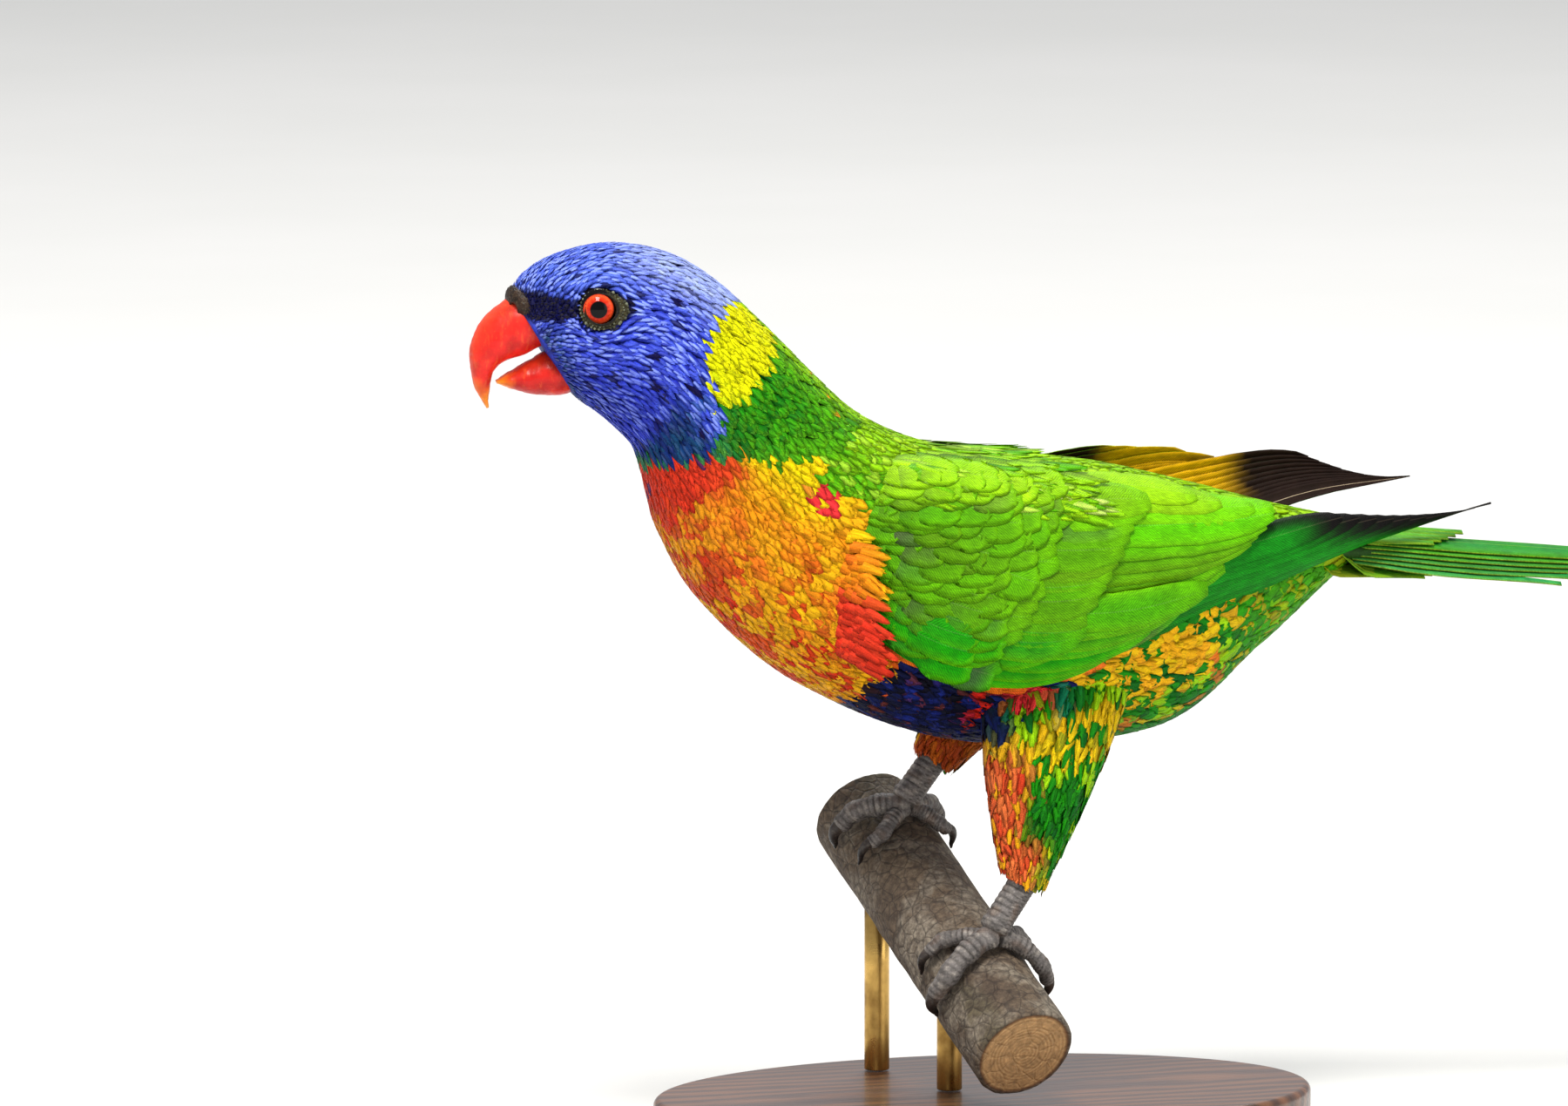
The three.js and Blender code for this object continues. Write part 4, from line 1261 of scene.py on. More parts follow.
    def neck(self, s: Array, a: Array, p: Array, c: list[Array]) -> tuple:
        """Lime on the hind neck, mottled leaf green on its side, deep green low down."""
        cloud = ripple(p, 3.4, 21) + 0.7 * (c[1] - 0.5)
        middle = painted(
            Hue.lime,
            (Hue.leaf, smoothstep(a, 12, 40)),
            (Hue.green, smoothstep(a, 36, 58) * smoothstep(s, 8.0, 6.8)),
            (Hue.deep_green, smoothstep(a, 76, 96) * (0.4 + 0.5 * c[0])),
            (Hue.sea, smoothstep(a, 96, 108) * 0.8),
            (Hue.deep_green, np.clip(0.75 * cloud, 0, 0.6)),
            (Hue.leaf, np.clip(-0.6 * cloud, 0, 0.5)),
        )
        fleck = (c[2] > 0.985) & (a < 70) & (s > 6.8)
        tip = np.where(fleck[..., None], Hue.orange, blend(middle, Hue.lime, 0.16))
        edge = blend(middle, Hue.deep_green, 0.2)
        return blend(middle, Hue.deep_green, 0.45), middle, tip, edge, 0.1 * c[2], 0.3

    def breast(self, s: Array, a: Array, p: Array, c: list[Array]) -> tuple:
        """Orange silk, red in front and at the top, yellow to the shoulder, scalloped low down.

        Clouds and streaks come from ripples drawn out along the lie. The scallops are the
        petals' pattern, gold with red margins, and dark crescents mark the upper front.
        """
        along, across = 0.64 * p[..., 0] - 0.77 * p[..., 2], np.radians(a) * 26
        cloud = ripple(np.stack([along * 0.5, across, 0 * s], -1), 7.0, 51)
        streak = ripple(np.stack([along * 0.25, across, 0 * s], -1), 2.8, 52) + 0.3 * (c[0] - 0.5)
        wander = 1.3 * ripple(p, 4.5, 53)
        margin, d0, d1 = petals(along + wander, across + wander, 5.2, 7.4, 3.0)
        top = smoothstep(s + 0.15 * cloud, 7.9, 7.2) * smoothstep(a + 4 * cloud, 92, 108)
        front = smoothstep(a + 9 * cloud, 120, 146)
        shoulder = smoothstep(a + 5 * cloud, 108, 84) * smoothstep(s, 9.2, 8.2)
        low = smoothstep(s + 0.2 * cloud, 8.5, 9.4) * smoothstep(a, 88, 106)
        side = smoothstep(a + 6 * cloud, 114, 102) * smoothstep(s + 0.3 * cloud, 9.35, 9.95)
        flame = painted(
            Hue.scarlet,
            (Hue.rust, np.clip(0.35 * front + 0.4 * streak, 0, 1)),
            (Hue.red, np.clip(side + 0.5 * top, 0, 1) * 0.8),
        )
        scaled = np.clip(low + 0.7 * front * (1 - top), 0, 1) * (1 - side)
        rim = smoothstep(margin, 2.3, 0.9)
        tuft = patch(p, -41.2, 136.2, 2.4, 5.0)
        crescent = smoothstep(margin, 1.5, 1.0) * ((s < 7.1) & (a > 118) & (d1 > 0.4))
        middle = painted(
            Hue.orange,
            (Hue.amber, np.clip(0.55 + 0.5 * cloud + 0.3 * streak, 0, 1)),
            (Hue.scarlet, np.clip(0.7 * (streak - cloud) - 0.2, 0, 0.45) * (1 - shoulder)),
            (linear(255, 226, 2), 0.95 * shoulder * (1 - 0.3 * np.clip(streak, 0, 1))),
            (flame, np.clip(0.95 * top + 0.85 * front + side, 0, 1)),
            (blend(Hue.amber, Hue.yellow, 0.6 * d0), 0.8 * scaled * (1 - rim) * (d0 > 0.2)),
            (Hue.red, 0.75 * scaled * rim * (d1 > 0.2)),
            (blend(Hue.rose, Hue.yellow, smoothstep(tuft, 0.75, 0.35)), np.minimum(1, 3 * tuft)),
            (Hue.navy, 0.85 * crescent),
        )
        middle = middle * (0.97 + 0.06 * c[1])[..., None]
        base = blend(middle, Hue.scarlet, 0.1 * (1 - shoulder))
        # the end colour, middle * 1.03, is a painted highlight on the feathers' ends
        return base, middle, middle * 1.03, middle, 0.0, 0.2 + 0.1 * c[2]

    def belly(self, p: Array, c: list[Array]) -> tuple:
        """Navy mottled with near-black and brown, with red and rose patches high on the flank."""
        cloud = ripple(p, 5.0, 61) + 0.5 * (c[0] - 0.5)
        rusty = smoothstep(ripple(p, 4.0, 67) + 0.4 * (c[1] - 0.5), 0.42, 0.66)
        middle = painted(
            Hue.navy,
            (Hue.night, np.clip(0.45 + 0.8 * cloud, 0, 1)),
            (linear(28, 44, 140), np.clip(-0.9 * cloud - 0.1, 0, 0.7)),
            (linear(120, 52, 26), 0.7 * rusty),
        )
        middle = self.flank_patches(middle, p, c)
        return blend(middle, Hue.night, 0.5), middle, middle, blend(middle, Hue.night, 0.3), 0.0, 0.4

    @staticmethod
    def flank_patches(middle: Array, p: Array, c: list[Array]) -> Array:
        """The rose patch behind the wing's lowest edge, a red one under it and a teal one behind."""
        q = p + 1.5 * ripple(p, 3.0, 68)[..., None] + 1.2 * (c[0] - 0.5)[..., None]
        middle = blend(middle, Hue.rose, patch(q, 3.5, 96.0, 7.5, 5.2) * (c[1] > 0.12))
        middle = blend(middle, Hue.red, patch(q, -6.5, 91.0, 3.2, 3.4) * (c[1] > 0.3))
        return blend(middle, Hue.teal, 0.8 * patch(q, 11.0, 91.0, 3.4, 2.8))

    def back(self, s: Array, a: Array, p: Array, c: list[Array]) -> tuple:
        """Yellow-green mantle with pale streaks painted as highlights on some feathers, greener to the rump.
        """
        share = 0.1 + 0.3 * c[0] + 0.3 * ripple(p, 7.0, 63) + smoothstep(a, 40, 74)
        # pale: a painted highlight on one feather in five, towards the front of the back
        pale = (c[1] > 0.8) * smoothstep(s, 11.0, 10.0)
        middle = painted(Hue.lime, (Hue.leaf, np.clip(share, 0, 1)), (linear(206, 246, 70), 0.45 * pale))
        return blend(middle, Hue.moss, 0.3), middle, blend(middle, Hue.lime, 0.4), middle, 0.1 * c[1], 0.3

    def vent(self, s: Array, a: Array, p: Array, c: list[Array]) -> tuple:
        """Yellow petals over green high on the flank, green with yellow-green ones low and behind."""
        along, across = 0.42 * p[..., 0] - 0.9 * p[..., 2], 0.9 * p[..., 0] + 0.42 * p[..., 2]
        wander = 1.4 * ripple(p, 5.0, 69)
        _, d0, d1 = petals(along + wander, across - wander, 5.2, 4.0, 9.0)
        high = smoothstep(s, 12.7, 12.0) * smoothstep(a + 6 * (d1 - 0.5), 136, 118)
        petal = blend(Hue.yellow, Hue.amber, c[4])
        petal = np.where((d0 > 0.5 + 0.45 * high)[..., None], Hue.lime, petal)
        petal = np.where((d1 > 0.9)[..., None], blend(Hue.orange, Hue.rose, 0.3), petal)
        there = (c[3] < 0.35 + 0.45 * high) * (0.6 + 0.4 * high) * smoothstep(a, 160, 146)
        middle = painted(
            Hue.green,
            (Hue.deep_green, np.clip(0.5 + 0.6 * wander + 0.4 * (c[0] - 0.5), 0, 1)),
            (petal, there),
            (Hue.leaf, 0.6 * smoothstep(s, 12.2, 13.2)),
        )
        middle = self.flank_patches(middle, p, c)
        edge = blend(middle, Hue.amber, 0.4 * there)
        # the end colour, middle * 1.05, is a painted highlight on the feathers' ends
        return blend(middle, Hue.deep_green, 0.3), middle, middle * 1.05, edge, 0.0, 0.3


BODY_MAP = BodyMap()


# Finishes


class Graph:
    """A material's node tree, with short calls for the nodes that the finishes use."""

    def __init__(self, name: str) -> None:
        """Start a material that holds a Principled shader and its output."""
        self.material = bpy.data.materials.new(name)
        self.material.use_nodes = True
        self.tree = self.material.node_tree
        self.shader = self.tree.nodes["Principled BSDF"]
        self._object = None

    def node(
        self, kind: str, wires: dict[str | int, object] | None = None, **settings: object
    ) -> bpy.types.Node:
        """Add a node, set its properties, and link its inputs or set their values.

        Args:
            kind: The node's type.
            wires: An output or a value for each input, by its name or number.
            settings: The node's properties.

        Returns:
            The node.
        """
        made = self.tree.nodes.new(f"ShaderNode{kind}")
        for name, value in settings.items():
            setattr(made, name, value)
        for name, value in (wires or {}).items():
            self.wire(value, made.inputs[name])
        return made

    def wire(self, value: object, socket: Socket) -> None:
        """Link an output to a socket, or set the socket's own value."""
        if isinstance(value, Socket):
            self.tree.links.new(value, socket)
        else:
            socket.default_value = value

    def place(self) -> Socket:
        """Object coordinates, in metres."""
        if self._object is None:
            self._object = self.node("TexCoord").outputs["Object"]
        return self._object

    def stretched(self, scale: tuple[float, float, float], source: object = None) -> Socket:
        """Object coordinates, or another source's, scaled along each axis."""
        return self.node("Mapping", {"Vector": source or self.place(), "Scale": scale}).outputs["Vector"]

    def attribute(self, name: str) -> bpy.types.Node:
        """An attribute of the mesh."""
        return self.node("Attribute", attribute_name=name)

    def sum(self, kind: str, first: object, second: object = 0.0) -> Socket:
        """One step of arithmetic."""
        return self.node("Math", {0: first, 1: second}, operation=kind).outputs[0]

    def times(self, first: object, second: object) -> Socket:
        """The product of two values."""
        return self.sum("MULTIPLY", first, second)

    def span(self, value: object, low: float, high: float, start: float = 0, end: float = 1) -> Socket:
        """A value mapped smoothly from low..high to start..end, held outside."""
        wires = dict(enumerate((value, low, high, start, end)))
        return self.node("MapRange", wires, interpolation_type="SMOOTHSTEP").outputs[0]

    def mix(self, share: object, first: object, second: object, kind: str = "MIX") -> Socket:
        """Two colours mixed by a share."""
        return self.node("Mix", {0: share, 6: first, 7: second}, data_type="RGBA", blend_type=kind).outputs[2]

    def noise(self, place: object, scale: float, detail: float = 3.0, rough: float = 0.55) -> Socket:
        """Cloudy noise from 0 to 1."""
        wires = {"Vector": place, "Scale": scale, "Detail": detail, "Roughness": rough}
        return self.node("TexNoise", wires).outputs["Fac"]

    def cells(self, place: object, scale: float, feature: str = "F1") -> Socket:
        """Distance in a pattern of cells."""
        return self.node("TexVoronoi", {"Vector": place, "Scale": scale}, feature=feature).outputs["Distance"]

    def bump(self, height: object, strength: float, depth: float) -> None:
        """Relief on the shader's normal: strength from 0 to 1, depth in metres."""
        made = self.node("Bump", {"Strength": strength, "Distance": depth, "Height": height})
        self.wire(made.outputs["Normal"], self.shader.inputs["Normal"])

    def dress(self, **values: object) -> bpy.types.Material:
        """Set the shader's sockets, named with spaces as underscores, and give the material."""
        for name, value in values.items():
            socket = self.shader.inputs[name.replace("_", " ")]
            if isinstance(value, tuple) and len(value) == 3 and socket.type == "RGBA":
                value = (*value, 1.0)
            self.wire(value, socket)
        return self.material


def rgba(red: float, green: float, blue: float) -> tuple[float, ...]:
    """A socket's colour with full alpha from an sRGB colour given from 0 to 255."""
    return (*linear(red, green, blue).tolist(), 1.0)


@dataclass(frozen=True)
class FeatherFinish:
    """A feather's surface: barbs that run out from a shaft, and a soft sheen.

    Attributes:
        name: The material's name.
        shaft: Colour of the shaft.
        shaft_half: Half the shaft's width in millimetres.
        barb: Distance between barbs in millimetres.
        slant: How far the barbs sweep towards the end for each millimetre across.
        contrast: How much darker the gaps between barbs are.
        silk: How strongly fine lengthwise streaks show.
        roughness: Roughness of the shader.
        gloss: Specular level.
    """

    name: str
    shaft: tuple[float, float, float]
    shaft_half: float = 0.16
    barb: float = 0.42
    slant: float = 1.1
    contrast: float = 0.3
    silk: float = 0.3
    roughness: float = 0.55
    gloss: float = 0.08

    def material(self) -> bpy.types.Material:
        """The finish as a material.

        Barbs are a sine of the distance along less the slant times the distance across, with
        its pace jittered by noise. Silky streaks are noise drawn out along the feather, and the
        shaft is a narrow band at the middle.

        Returns:
            The material.
        """
        g = Graph(self.name)
        tint = g.attribute("tint")
        vane = g.node("UVMap", uv_map="vane").outputs["UV"]
        split = g.node("SeparateXYZ", {0: vane})
        across = g.sum("ABSOLUTE", split.outputs["X"])
        along = g.sum("SUBTRACT", split.outputs["Y"], g.times(across, self.slant))
        cloud = g.noise(g.place(), 900.0, 2.0)
        along = g.sum("ADD", along, g.times(cloud, self.barb * 1.6))
        wave = g.sum("SINE", g.times(along, TAU / self.barb))
        barbs = g.span(wave, -1.0, 1.0)
        broad = g.noise(g.place(), 260.0, 3.0)
        streaks = g.noise(g.stretched((3.4, 0.5, 1.0), vane), 1.0, 4.0, 0.6)
        shade = g.times(g.sum("SUBTRACT", 1.0, barbs), self.contrast)
        shade = g.sum("SUBTRACT", 1.0, shade)
        shade = g.times(shade, g.span(broad, 0.25, 0.75, 0.84, 1.12))
        silky = g.span(streaks, 0.3, 0.7, 1.0 - self.silk, 1.0 + self.silk * 0.5)
        shade = g.times(shade, silky)
        colour = g.mix(1.0, tint.outputs["Color"], shade, "MULTIPLY")
        stem = g.span(across, self.shaft_half, self.shaft_half * 0.3)
        stem = g.times(stem, tint.outputs["Alpha"])
        stem = g.times(stem, g.span(streaks, 0.25, 0.6, 0.6, 1.0))
        colour = g.mix(stem, colour, (*self.shaft, 1.0))
        relief = g.sum("ADD", barbs, g.times(streaks, 2.0))
        g.bump(relief, 0.4, 0.0001)
        return g.dress(Base_Color=colour, Roughness=self.roughness, Specular_IOR_Level=self.gloss)


@dataclass(frozen=True)
class SkinFinish:
    """Feathered or bare skin, coloured by its attribute with fine pimples."""

    name: str
    pimple: float = 1500.0
    depth: float = 0.00015
    roughness: float = 0.6
    mottle: float = 0.35

    def material(self) -> bpy.types.Material:
        """The finish as a material: cells raised as pimples, darker between, clouded by noise."""
        g = Graph(self.name)
        tint = g.attribute("tint").outputs["Color"]
        cell = g.cells(g.place(), self.pimple)
        raised = g.span(cell, 0.75, 0.05)
        cloud = g.span(g.noise(g.place(), 420.0), 0.3, 0.7, 1.0 - self.mottle, 1.0 + self.mottle * 0.6)
        shade = g.times(cloud, g.span(cell, 0.0, 0.8, 1.1, 0.72))
        g.bump(raised, 0.5, self.depth)
        return g.dress(
            Base_Color=g.mix(1.0, tint, shade, "MULTIPLY"), Roughness=self.roughness, Specular_IOR_Level=0.22
        )


@dataclass(frozen=True)
class HornFinish:
    """Horn of the bill and claws: clouded colour along the growth, fine lines and a gloss."""

    name: str
    flecks: tuple[float, float, float]
    fleck_share: float = 0.5
    gloss: float = 0.35
    roughness: float = 0.34

    def material(self) -> bpy.types.Material:
        """The finish as a material: noise flecks over the attribute's colour, with growth lines."""
        g = Graph(self.name)
        tint = g.attribute("tint").outputs["Color"]
        streaks = g.noise(g.stretched((900.0, 500.0, 260.0)), 1.0, 5.0, 0.65)
        dots = g.noise(g.place(), 1500.0, 2.0, 0.5)
        share = g.times(g.span(streaks, 0.5, 0.72), self.fleck_share)
        share = g.sum("ADD", share, g.times(g.span(dots, 0.62, 0.78), self.fleck_share * 0.8))
        colour = g.mix(share, tint, (*self.flecks, 1.0))
        shade = g.span(g.noise(g.place(), 300.0), 0.3, 0.7, 0.78, 1.1)
        g.bump(g.sum("ADD", streaks, g.times(dots, 0.4)), 0.35, 0.0002)
        rough = g.span(dots, 0.3, 0.8, self.roughness, self.roughness + 0.22)
        return g.dress(
            Base_Color=g.mix(1.0, colour, shade, "MULTIPLY"), Roughness=rough, Specular_IOR_Level=0.2,
            Coat_Weight=self.gloss, Coat_Roughness=0.24,
        )


@dataclass(frozen=True)
class EyeFinish:
    """The eye's ball: its attribute's colour with fine radial threads, under a wet coat."""

    name: str

    def material(self) -> bpy.types.Material:
        """The finish as a material: noise in the iris and a clear smooth coat."""
        g = Graph(self.name)
        tint = g.attribute("tint").outputs["Color"]
        threads = g.noise(g.place(), 2600.0, 4.0, 0.7)
        shade = g.span(threads, 0.3, 0.7, 0.72, 1.2)
        g.bump(threads, 0.15, 0.00006)
        return g.dress(
            Base_Color=g.mix(1.0, tint, shade, "MULTIPLY"), Roughness=0.5, Specular_IOR_Level=0.0,
            Coat_Weight=0.6, Coat_Roughness=0.03, Coat_IOR=1.36,
        )


@dataclass(frozen=True)
class BarkFinish:
    """Bark, and the sawn ends of the branch, told apart by the attribute's alpha."""

    name: str

    def material(self) -> bpy.types.Material:
        """The finish as a material: stretched noise in two scales, pale scales and dark cracks."""
        g = Graph(self.name)
        tint = g.attribute("tint")
        grain = g.noise(g.place(), 700.0, 6.0, 0.7)
        patch = g.noise(g.place(), 95.0, 4.0, 0.6)
        cracks = g.cells(g.place(), 330.0, "DISTANCE_TO_EDGE")
        grey = g.mix(g.span(patch, 0.45, 0.62), tint.outputs["Color"], rgba(150, 138, 120))
        colour = g.mix(g.span(grain, 0.35, 0.7, 0.75, 0.0), grey, rgba(48, 36, 28))
        colour = g.mix(g.span(cracks, 0.07, 0.0, 0.0, 0.55), colour, rgba(34, 26, 22))
        colour = g.mix(tint.outputs["Alpha"], colour, g.mix(1.0, tint.outputs["Color"], grain, "OVERLAY"))
        height = g.sum("ADD", grain, g.span(cracks, 0.0, 0.12, 0.0, 0.5))
        g.bump(height, 0.6, 0.0006)
        return g.dress(Base_Color=colour, Roughness=0.82)


@dataclass(frozen=True)
class WoodFinish:
    """Dark turned wood with rings along X and a thin varnish."""

    name: str

    def material(self) -> bpy.types.Material:
        """The finish as a material: a wave across the grain, bent by noise, with fine pores."""
        g = Graph(self.name)
        grain = {"Scale": 1.6, "Distortion": 5.0, "Detail": 3.0, "Detail Scale": 1.2}
        grain["Vector"] = g.stretched((14.0, 46.0, 60.0))
        wave = g.node("TexWave", grain, wave_type="RINGS", rings_direction="X")
        pores = g.noise(g.stretched((60.0, 900.0, 900.0)), 1.0, 4.0, 0.6)
        colour = g.mix(wave.outputs["Fac"], rgba(66, 38, 22), rgba(112, 70, 40))
        colour = g.mix(g.span(pores, 0.55, 0.75, 0.0, 0.6), colour, rgba(38, 22, 14))
        g.bump(pores, 0.25, 0.0002)
        rough = g.span(pores, 0.3, 0.7, 0.34, 0.5)
        return g.dress(Base_Color=colour, Roughness=rough, Coat_Weight=0.4, Coat_Roughness=0.18)


@dataclass(frozen=True)
class BrassFinish:
    """Brushed brass with a little tarnish."""

    name: str

    def material(self) -> bpy.types.Material:
        """The finish as a material: fine turned lines, and clouds of tarnish."""
        g = Graph(self.name)
        lines = g.noise(g.stretched((200.0, 200.0, 9000.0)), 1.0, 2.0)
        tarnish = g.noise(g.place(), 180.0, 4.0)
        colour = g.mix(g.span(tarnish, 0.4, 0.75, 0.0, 0.7), rgba(212, 172, 96), rgba(132, 96, 48))
        g.bump(lines, 0.12, 0.0001)
        rough = g.span(tarnish, 0.3, 0.7, 0.24, 0.42)
        return g.dress(Base_Color=colour, Roughness=rough, Metallic=1.0)


@dataclass(frozen=True)
class FloorFinish:
    """Pale studio floor, nearly plain."""

    name: str

    def material(self) -> bpy.types.Material:
        """The finish as a material: a pale grey with a trace of cloud."""
        g = Graph(self.name)
        cloud = g.noise(g.place(), 6.0, 3.0)
        colour = g.mix(cloud, rgba(222, 222, 218), rgba(230, 229, 226))
        return g.dress(Base_Color=colour, Roughness=0.85)


def settle(made: bpy.types.Object, slot: str, *nodes: str) -> bpy.types.Object:
    """Attach a piece to the model's root body and hide the nodes it stands for; the slot is only logged.

    Args:
        made: The piece.
        slot: The record's material slot.
        nodes: Names of the nodes that it replaces.

    Returns:
        The piece.
    """
    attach(made, "root")
    if nodes:
        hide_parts(*nodes)
    faces = sum(len(p.vertices) - 2 for p in made.data.polygons)
    LOG.info("%s: %d triangles, slot %s, stands for %s", made.name, faces, slot, list(nodes))
    return made


# The skin


class Island(Enum):
    """Places of the skin's parts on its unwrap: low u, low v, high u, high v."""

    BODY = (0.01, 0.01, 0.99, 0.58)
    THIGH_LEFT = (0.01, 0.60, 0.32, 0.78)
    THIGH_RIGHT = (0.34, 0.60, 0.65, 0.78)
    WING_LEFT = (0.01, 0.80, 0.32, 0.98)
    WING_RIGHT = (0.34, 0.80, 0.65, 0.98)
    TAIL = (0.67, 0.60, 0.98, 0.78)

    def place(self, pairs: Array) -> Array:
        """Pairs from 0 to 1 moved to the island."""
        low, high = np.array(self.value[:2]), np.array(self.value[2:])
        return low + (high - low) * pairs

    def inside(self, pairs: Array) -> Array:
        """Whether pairs lie on the island."""
        low, high = np.array(self.value[:2]) - 0.006, np.array(self.value[2:]) + 0.006
        return np.all((pairs >= low) & (pairs <= high), axis=-1)

    def back(self, pairs: Array) -> Array:
        """Pairs on the island moved back to 0 to 1."""
        low, high = np.array(self.value[:2]), np.array(self.value[2:])
        return np.clip((pairs - low) / (high - low), 0, 1)


def coat_depth(s: Array) -> Array:
    """Depth of the body's coat over its skin, by station."""
    return np.interp(s, (0, 0.6, 2, 4, 6, 8, 10, 13, 14), (0.35, 0.45, 0.8, 1.1, 1.5, 1.9, 2.2, 1.6, 1.0))


@dataclass
class Skin:
    """The one skin under the coat: body, thighs, wing roots and tail root joined.

    Attributes:
        rows: Rings along the body.
        around: Points round it.
        thigh_depth: Depth of the thighs' coat.
        core_rows: Rings along a wing's root.
    """

    rows: int = 150
    around: int = 96
    thigh_depth: float = 1.3
    core_rows: int = 30
    core_from: float = -44.0
    core_to: float = 24.0
    core_low: tuple[float, ...] = (-4, -31, -31, -8)
    core_up: tuple[float, ...] = (30, 50, 52, 46)
    core_inner: tuple[float, ...] = (3.4, 3.4, 3.3, 1.7)
    core_outer: tuple[float, ...] = (0.2, 0.9, 0.5, 0.0)

    def island_web(self, rings: Array, island: Island) -> Web:
        """A closed part of the skin with its pairs on its island."""
        web = tube_web(rings, np.array([0.5, 0.5, 0.5, 0]))
        four, three = web.uvs["OFBake"]
        fit = [island.place(np.clip((pairs - 0.01) / 0.98, 0, 1)) for pairs in (four, three)]
        web.uvs["OFBake"] = (fit[0], fit[1])
        return web.outward()

    def body(self) -> Web:
        """Rings of the body at even stations, inside its outline by the coat's depth."""
        s, a = ring_grid(np.linspace(0, BODY_END, self.rows), self.around)
        return self.island_web(BODY_SURFACE.point(s, a, -coat_depth(s)), Island.BODY)

    def thigh(self, leg: Leg) -> Web:
        """Rings of a thigh at even shares down, inside its outline by the coat's depth."""
        t, a = ring_grid(np.linspace(0, 1, 40), 40)
        return self.island_web(Thigh(leg).point(t, a, -self.thigh_depth), Island[f"THIGH_{leg.side.name}"])

    def wing_root(self, side: Side) -> Web:
        """A shell on the wing's sheet: each face bulges by the fourth root of 1 - share^4."""
        sheet = WingSheet(side)
        t, q = np.meshgrid(np.linspace(0, 1, self.core_rows), np.linspace(0, 1, 20), indexing="ij")
        table = np.array([self.core_low, self.core_up, self.core_inner, self.core_outer]).T
        low, up, inner, outer = np.moveaxis(smooth(table, t * 3), -1, 0)
        bulge = np.sqrt(np.maximum(0, 1 - (2 * q - 1) ** 4))
        x = lerp(self.core_from, self.core_to, t)
        angle = np.radians(lerp(low, up, q))
        over = sheet.point(x, angle, outer * bulge - 0.3)
        under = sheet.point(x, angle, -inner * bulge - 0.6)
        return self.island_web(np.concatenate([over, under[:, ::-1]], axis=1), Island[f"WING_{side.name}"])

    def tail_root(self) -> Web:
        """Ellipses behind the body that sink and flatten towards the tail's feathers."""
        t, a = ring_grid(np.linspace(-0.35, 1, 16), 36)
        middle = TailPlane().point(lerp(78.0, 90.0, t), 0.0 * t, -3.4)
        y = lerp(7.6, 6.0, t) * np.sin(a)
        z = middle[..., 2] + lerp(3.4, 1.9, t) * np.cos(a)
        return self.island_web(np.stack([middle[..., 0], y, z], axis=-1), Island.TAIL)

    def colours(self, pairs: Array) -> Array:
        """Colour of the skin at pairs of its unwrap, from the same maps as the coat's.

        Args:
            pairs: Pairs, one row each.

        Returns:
            One colour and alpha each.
        """
        chance = np.full((len(pairs), 5), 0.5)
        where = Island.BODY.back(pairs)
        s, v = where[:, 0] * BODY_END, where[:, 1] * TAU
        base, middle, *_ = BODY_MAP.colours(s, v, chance)
        made = blend(base, middle, 0.35)
        for island, leg in ((Island.THIGH_LEFT, LEGS[0]), (Island.THIGH_RIGHT, LEGS[1])):
            here = island.inside(pairs)
            place = island.back(pairs[here])
            base, middle, *_ = thigh_colours(leg, place[:, 0], place[:, 1] * TAU, chance[here])
            made[here] = blend(base, middle, 0.35)
        for island in (Island.WING_LEFT, Island.WING_RIGHT, Island.TAIL):
            made[island.inside(pairs)] = Hue.moss * 0.6
        return with_alpha(made)

    def build(self) -> bpy.types.Object:
        """Join the parts into one closed surface and colour it."""
        finish = SkinFinish("feathered_skin").material()
        whole = self.body().piece("skin", finish)
        others = [self.thigh(leg) for leg in LEGS]
        others += [self.wing_root(side) for side in Side]
        others.append(self.tail_root())
        for web in others:
            other = web.piece("skin_part", finish)
            cut = whole.modifiers.new("join", "BOOLEAN")
            cut.operation = "UNION"
            cut.solver = "EXACT"
            cut.object = other
            evaluated = whole.evaluated_get(bpy.context.evaluated_depsgraph_get())
            joined = bpy.data.meshes.new_from_object(evaluated)
            whole.modifiers.clear()
            whole.data = joined
            bpy.data.objects.remove(other)
        self.paint(whole.data)
        return settle(whole, "body_feathers", "head", "neck", "torso", "thigh_left", "thigh_right")

    def paint(self, mesh: bpy.types.Mesh) -> None:
        """Write the markings as a corner attribute, read from the unwrap's pairs."""
        old = mesh.color_attributes.get("tint")
        if old is not None:
            mesh.color_attributes.remove(old)
        pairs = np.zeros(len(mesh.loops) * 2, np.float32)
        mesh.uv_layers["OFBake"].data.foreach_get("uv", pairs)
        tint = self.colours(pairs.reshape(-1, 2).astype(float))
        layer = mesh.color_attributes.new("tint", "FLOAT_COLOR", "CORNER")
        layer.data.foreach_set("color", tint.astype(np.float32).ravel())


# The body's coat


@dataclass(frozen=True)
class Tract:
    """A region of the body's coat that becomes one piece.

    Attributes:
        name: The piece's name.
        zones: Zones whose roots it holds.
        slot: The record's material slot.
        cut: The blade's shape.
        finish: The material's name in the coat's list.
        gap: Distance between roots against the plan's; not used.
        long: Length against the plan's.
        wide: Width against the plan's.
        loose: How far a feather's heading strays, in radians.
        proud: Height of the tips over the outline.
    """

    name: str
    zones: tuple[Zone, ...]
    slot: str
    cut: Cut
    finish: str
    gap: float = 1.0
    long: float = 1.0
    wide: float = 1.0
    loose: float = 0.1
    proud: float = 0.0


SILK_CUT = Cut(rows=6, columns=3, root=0.6, wide_by=0.3, narrows=0.42, end=0.22, power=1.5, thick=0.03,
               risen_by=0.3, ragged=0.2, fray=0.8, crown=0.0, glide=0.22)
PETAL_CUT = Cut(rows=6, columns=4, root=0.5, wide_by=0.4, narrows=0.5, end=0.35, thick=0.03, risen_by=0.3,
                ragged=0.15, fray=0.8, crown=0.0, glide=0.3)

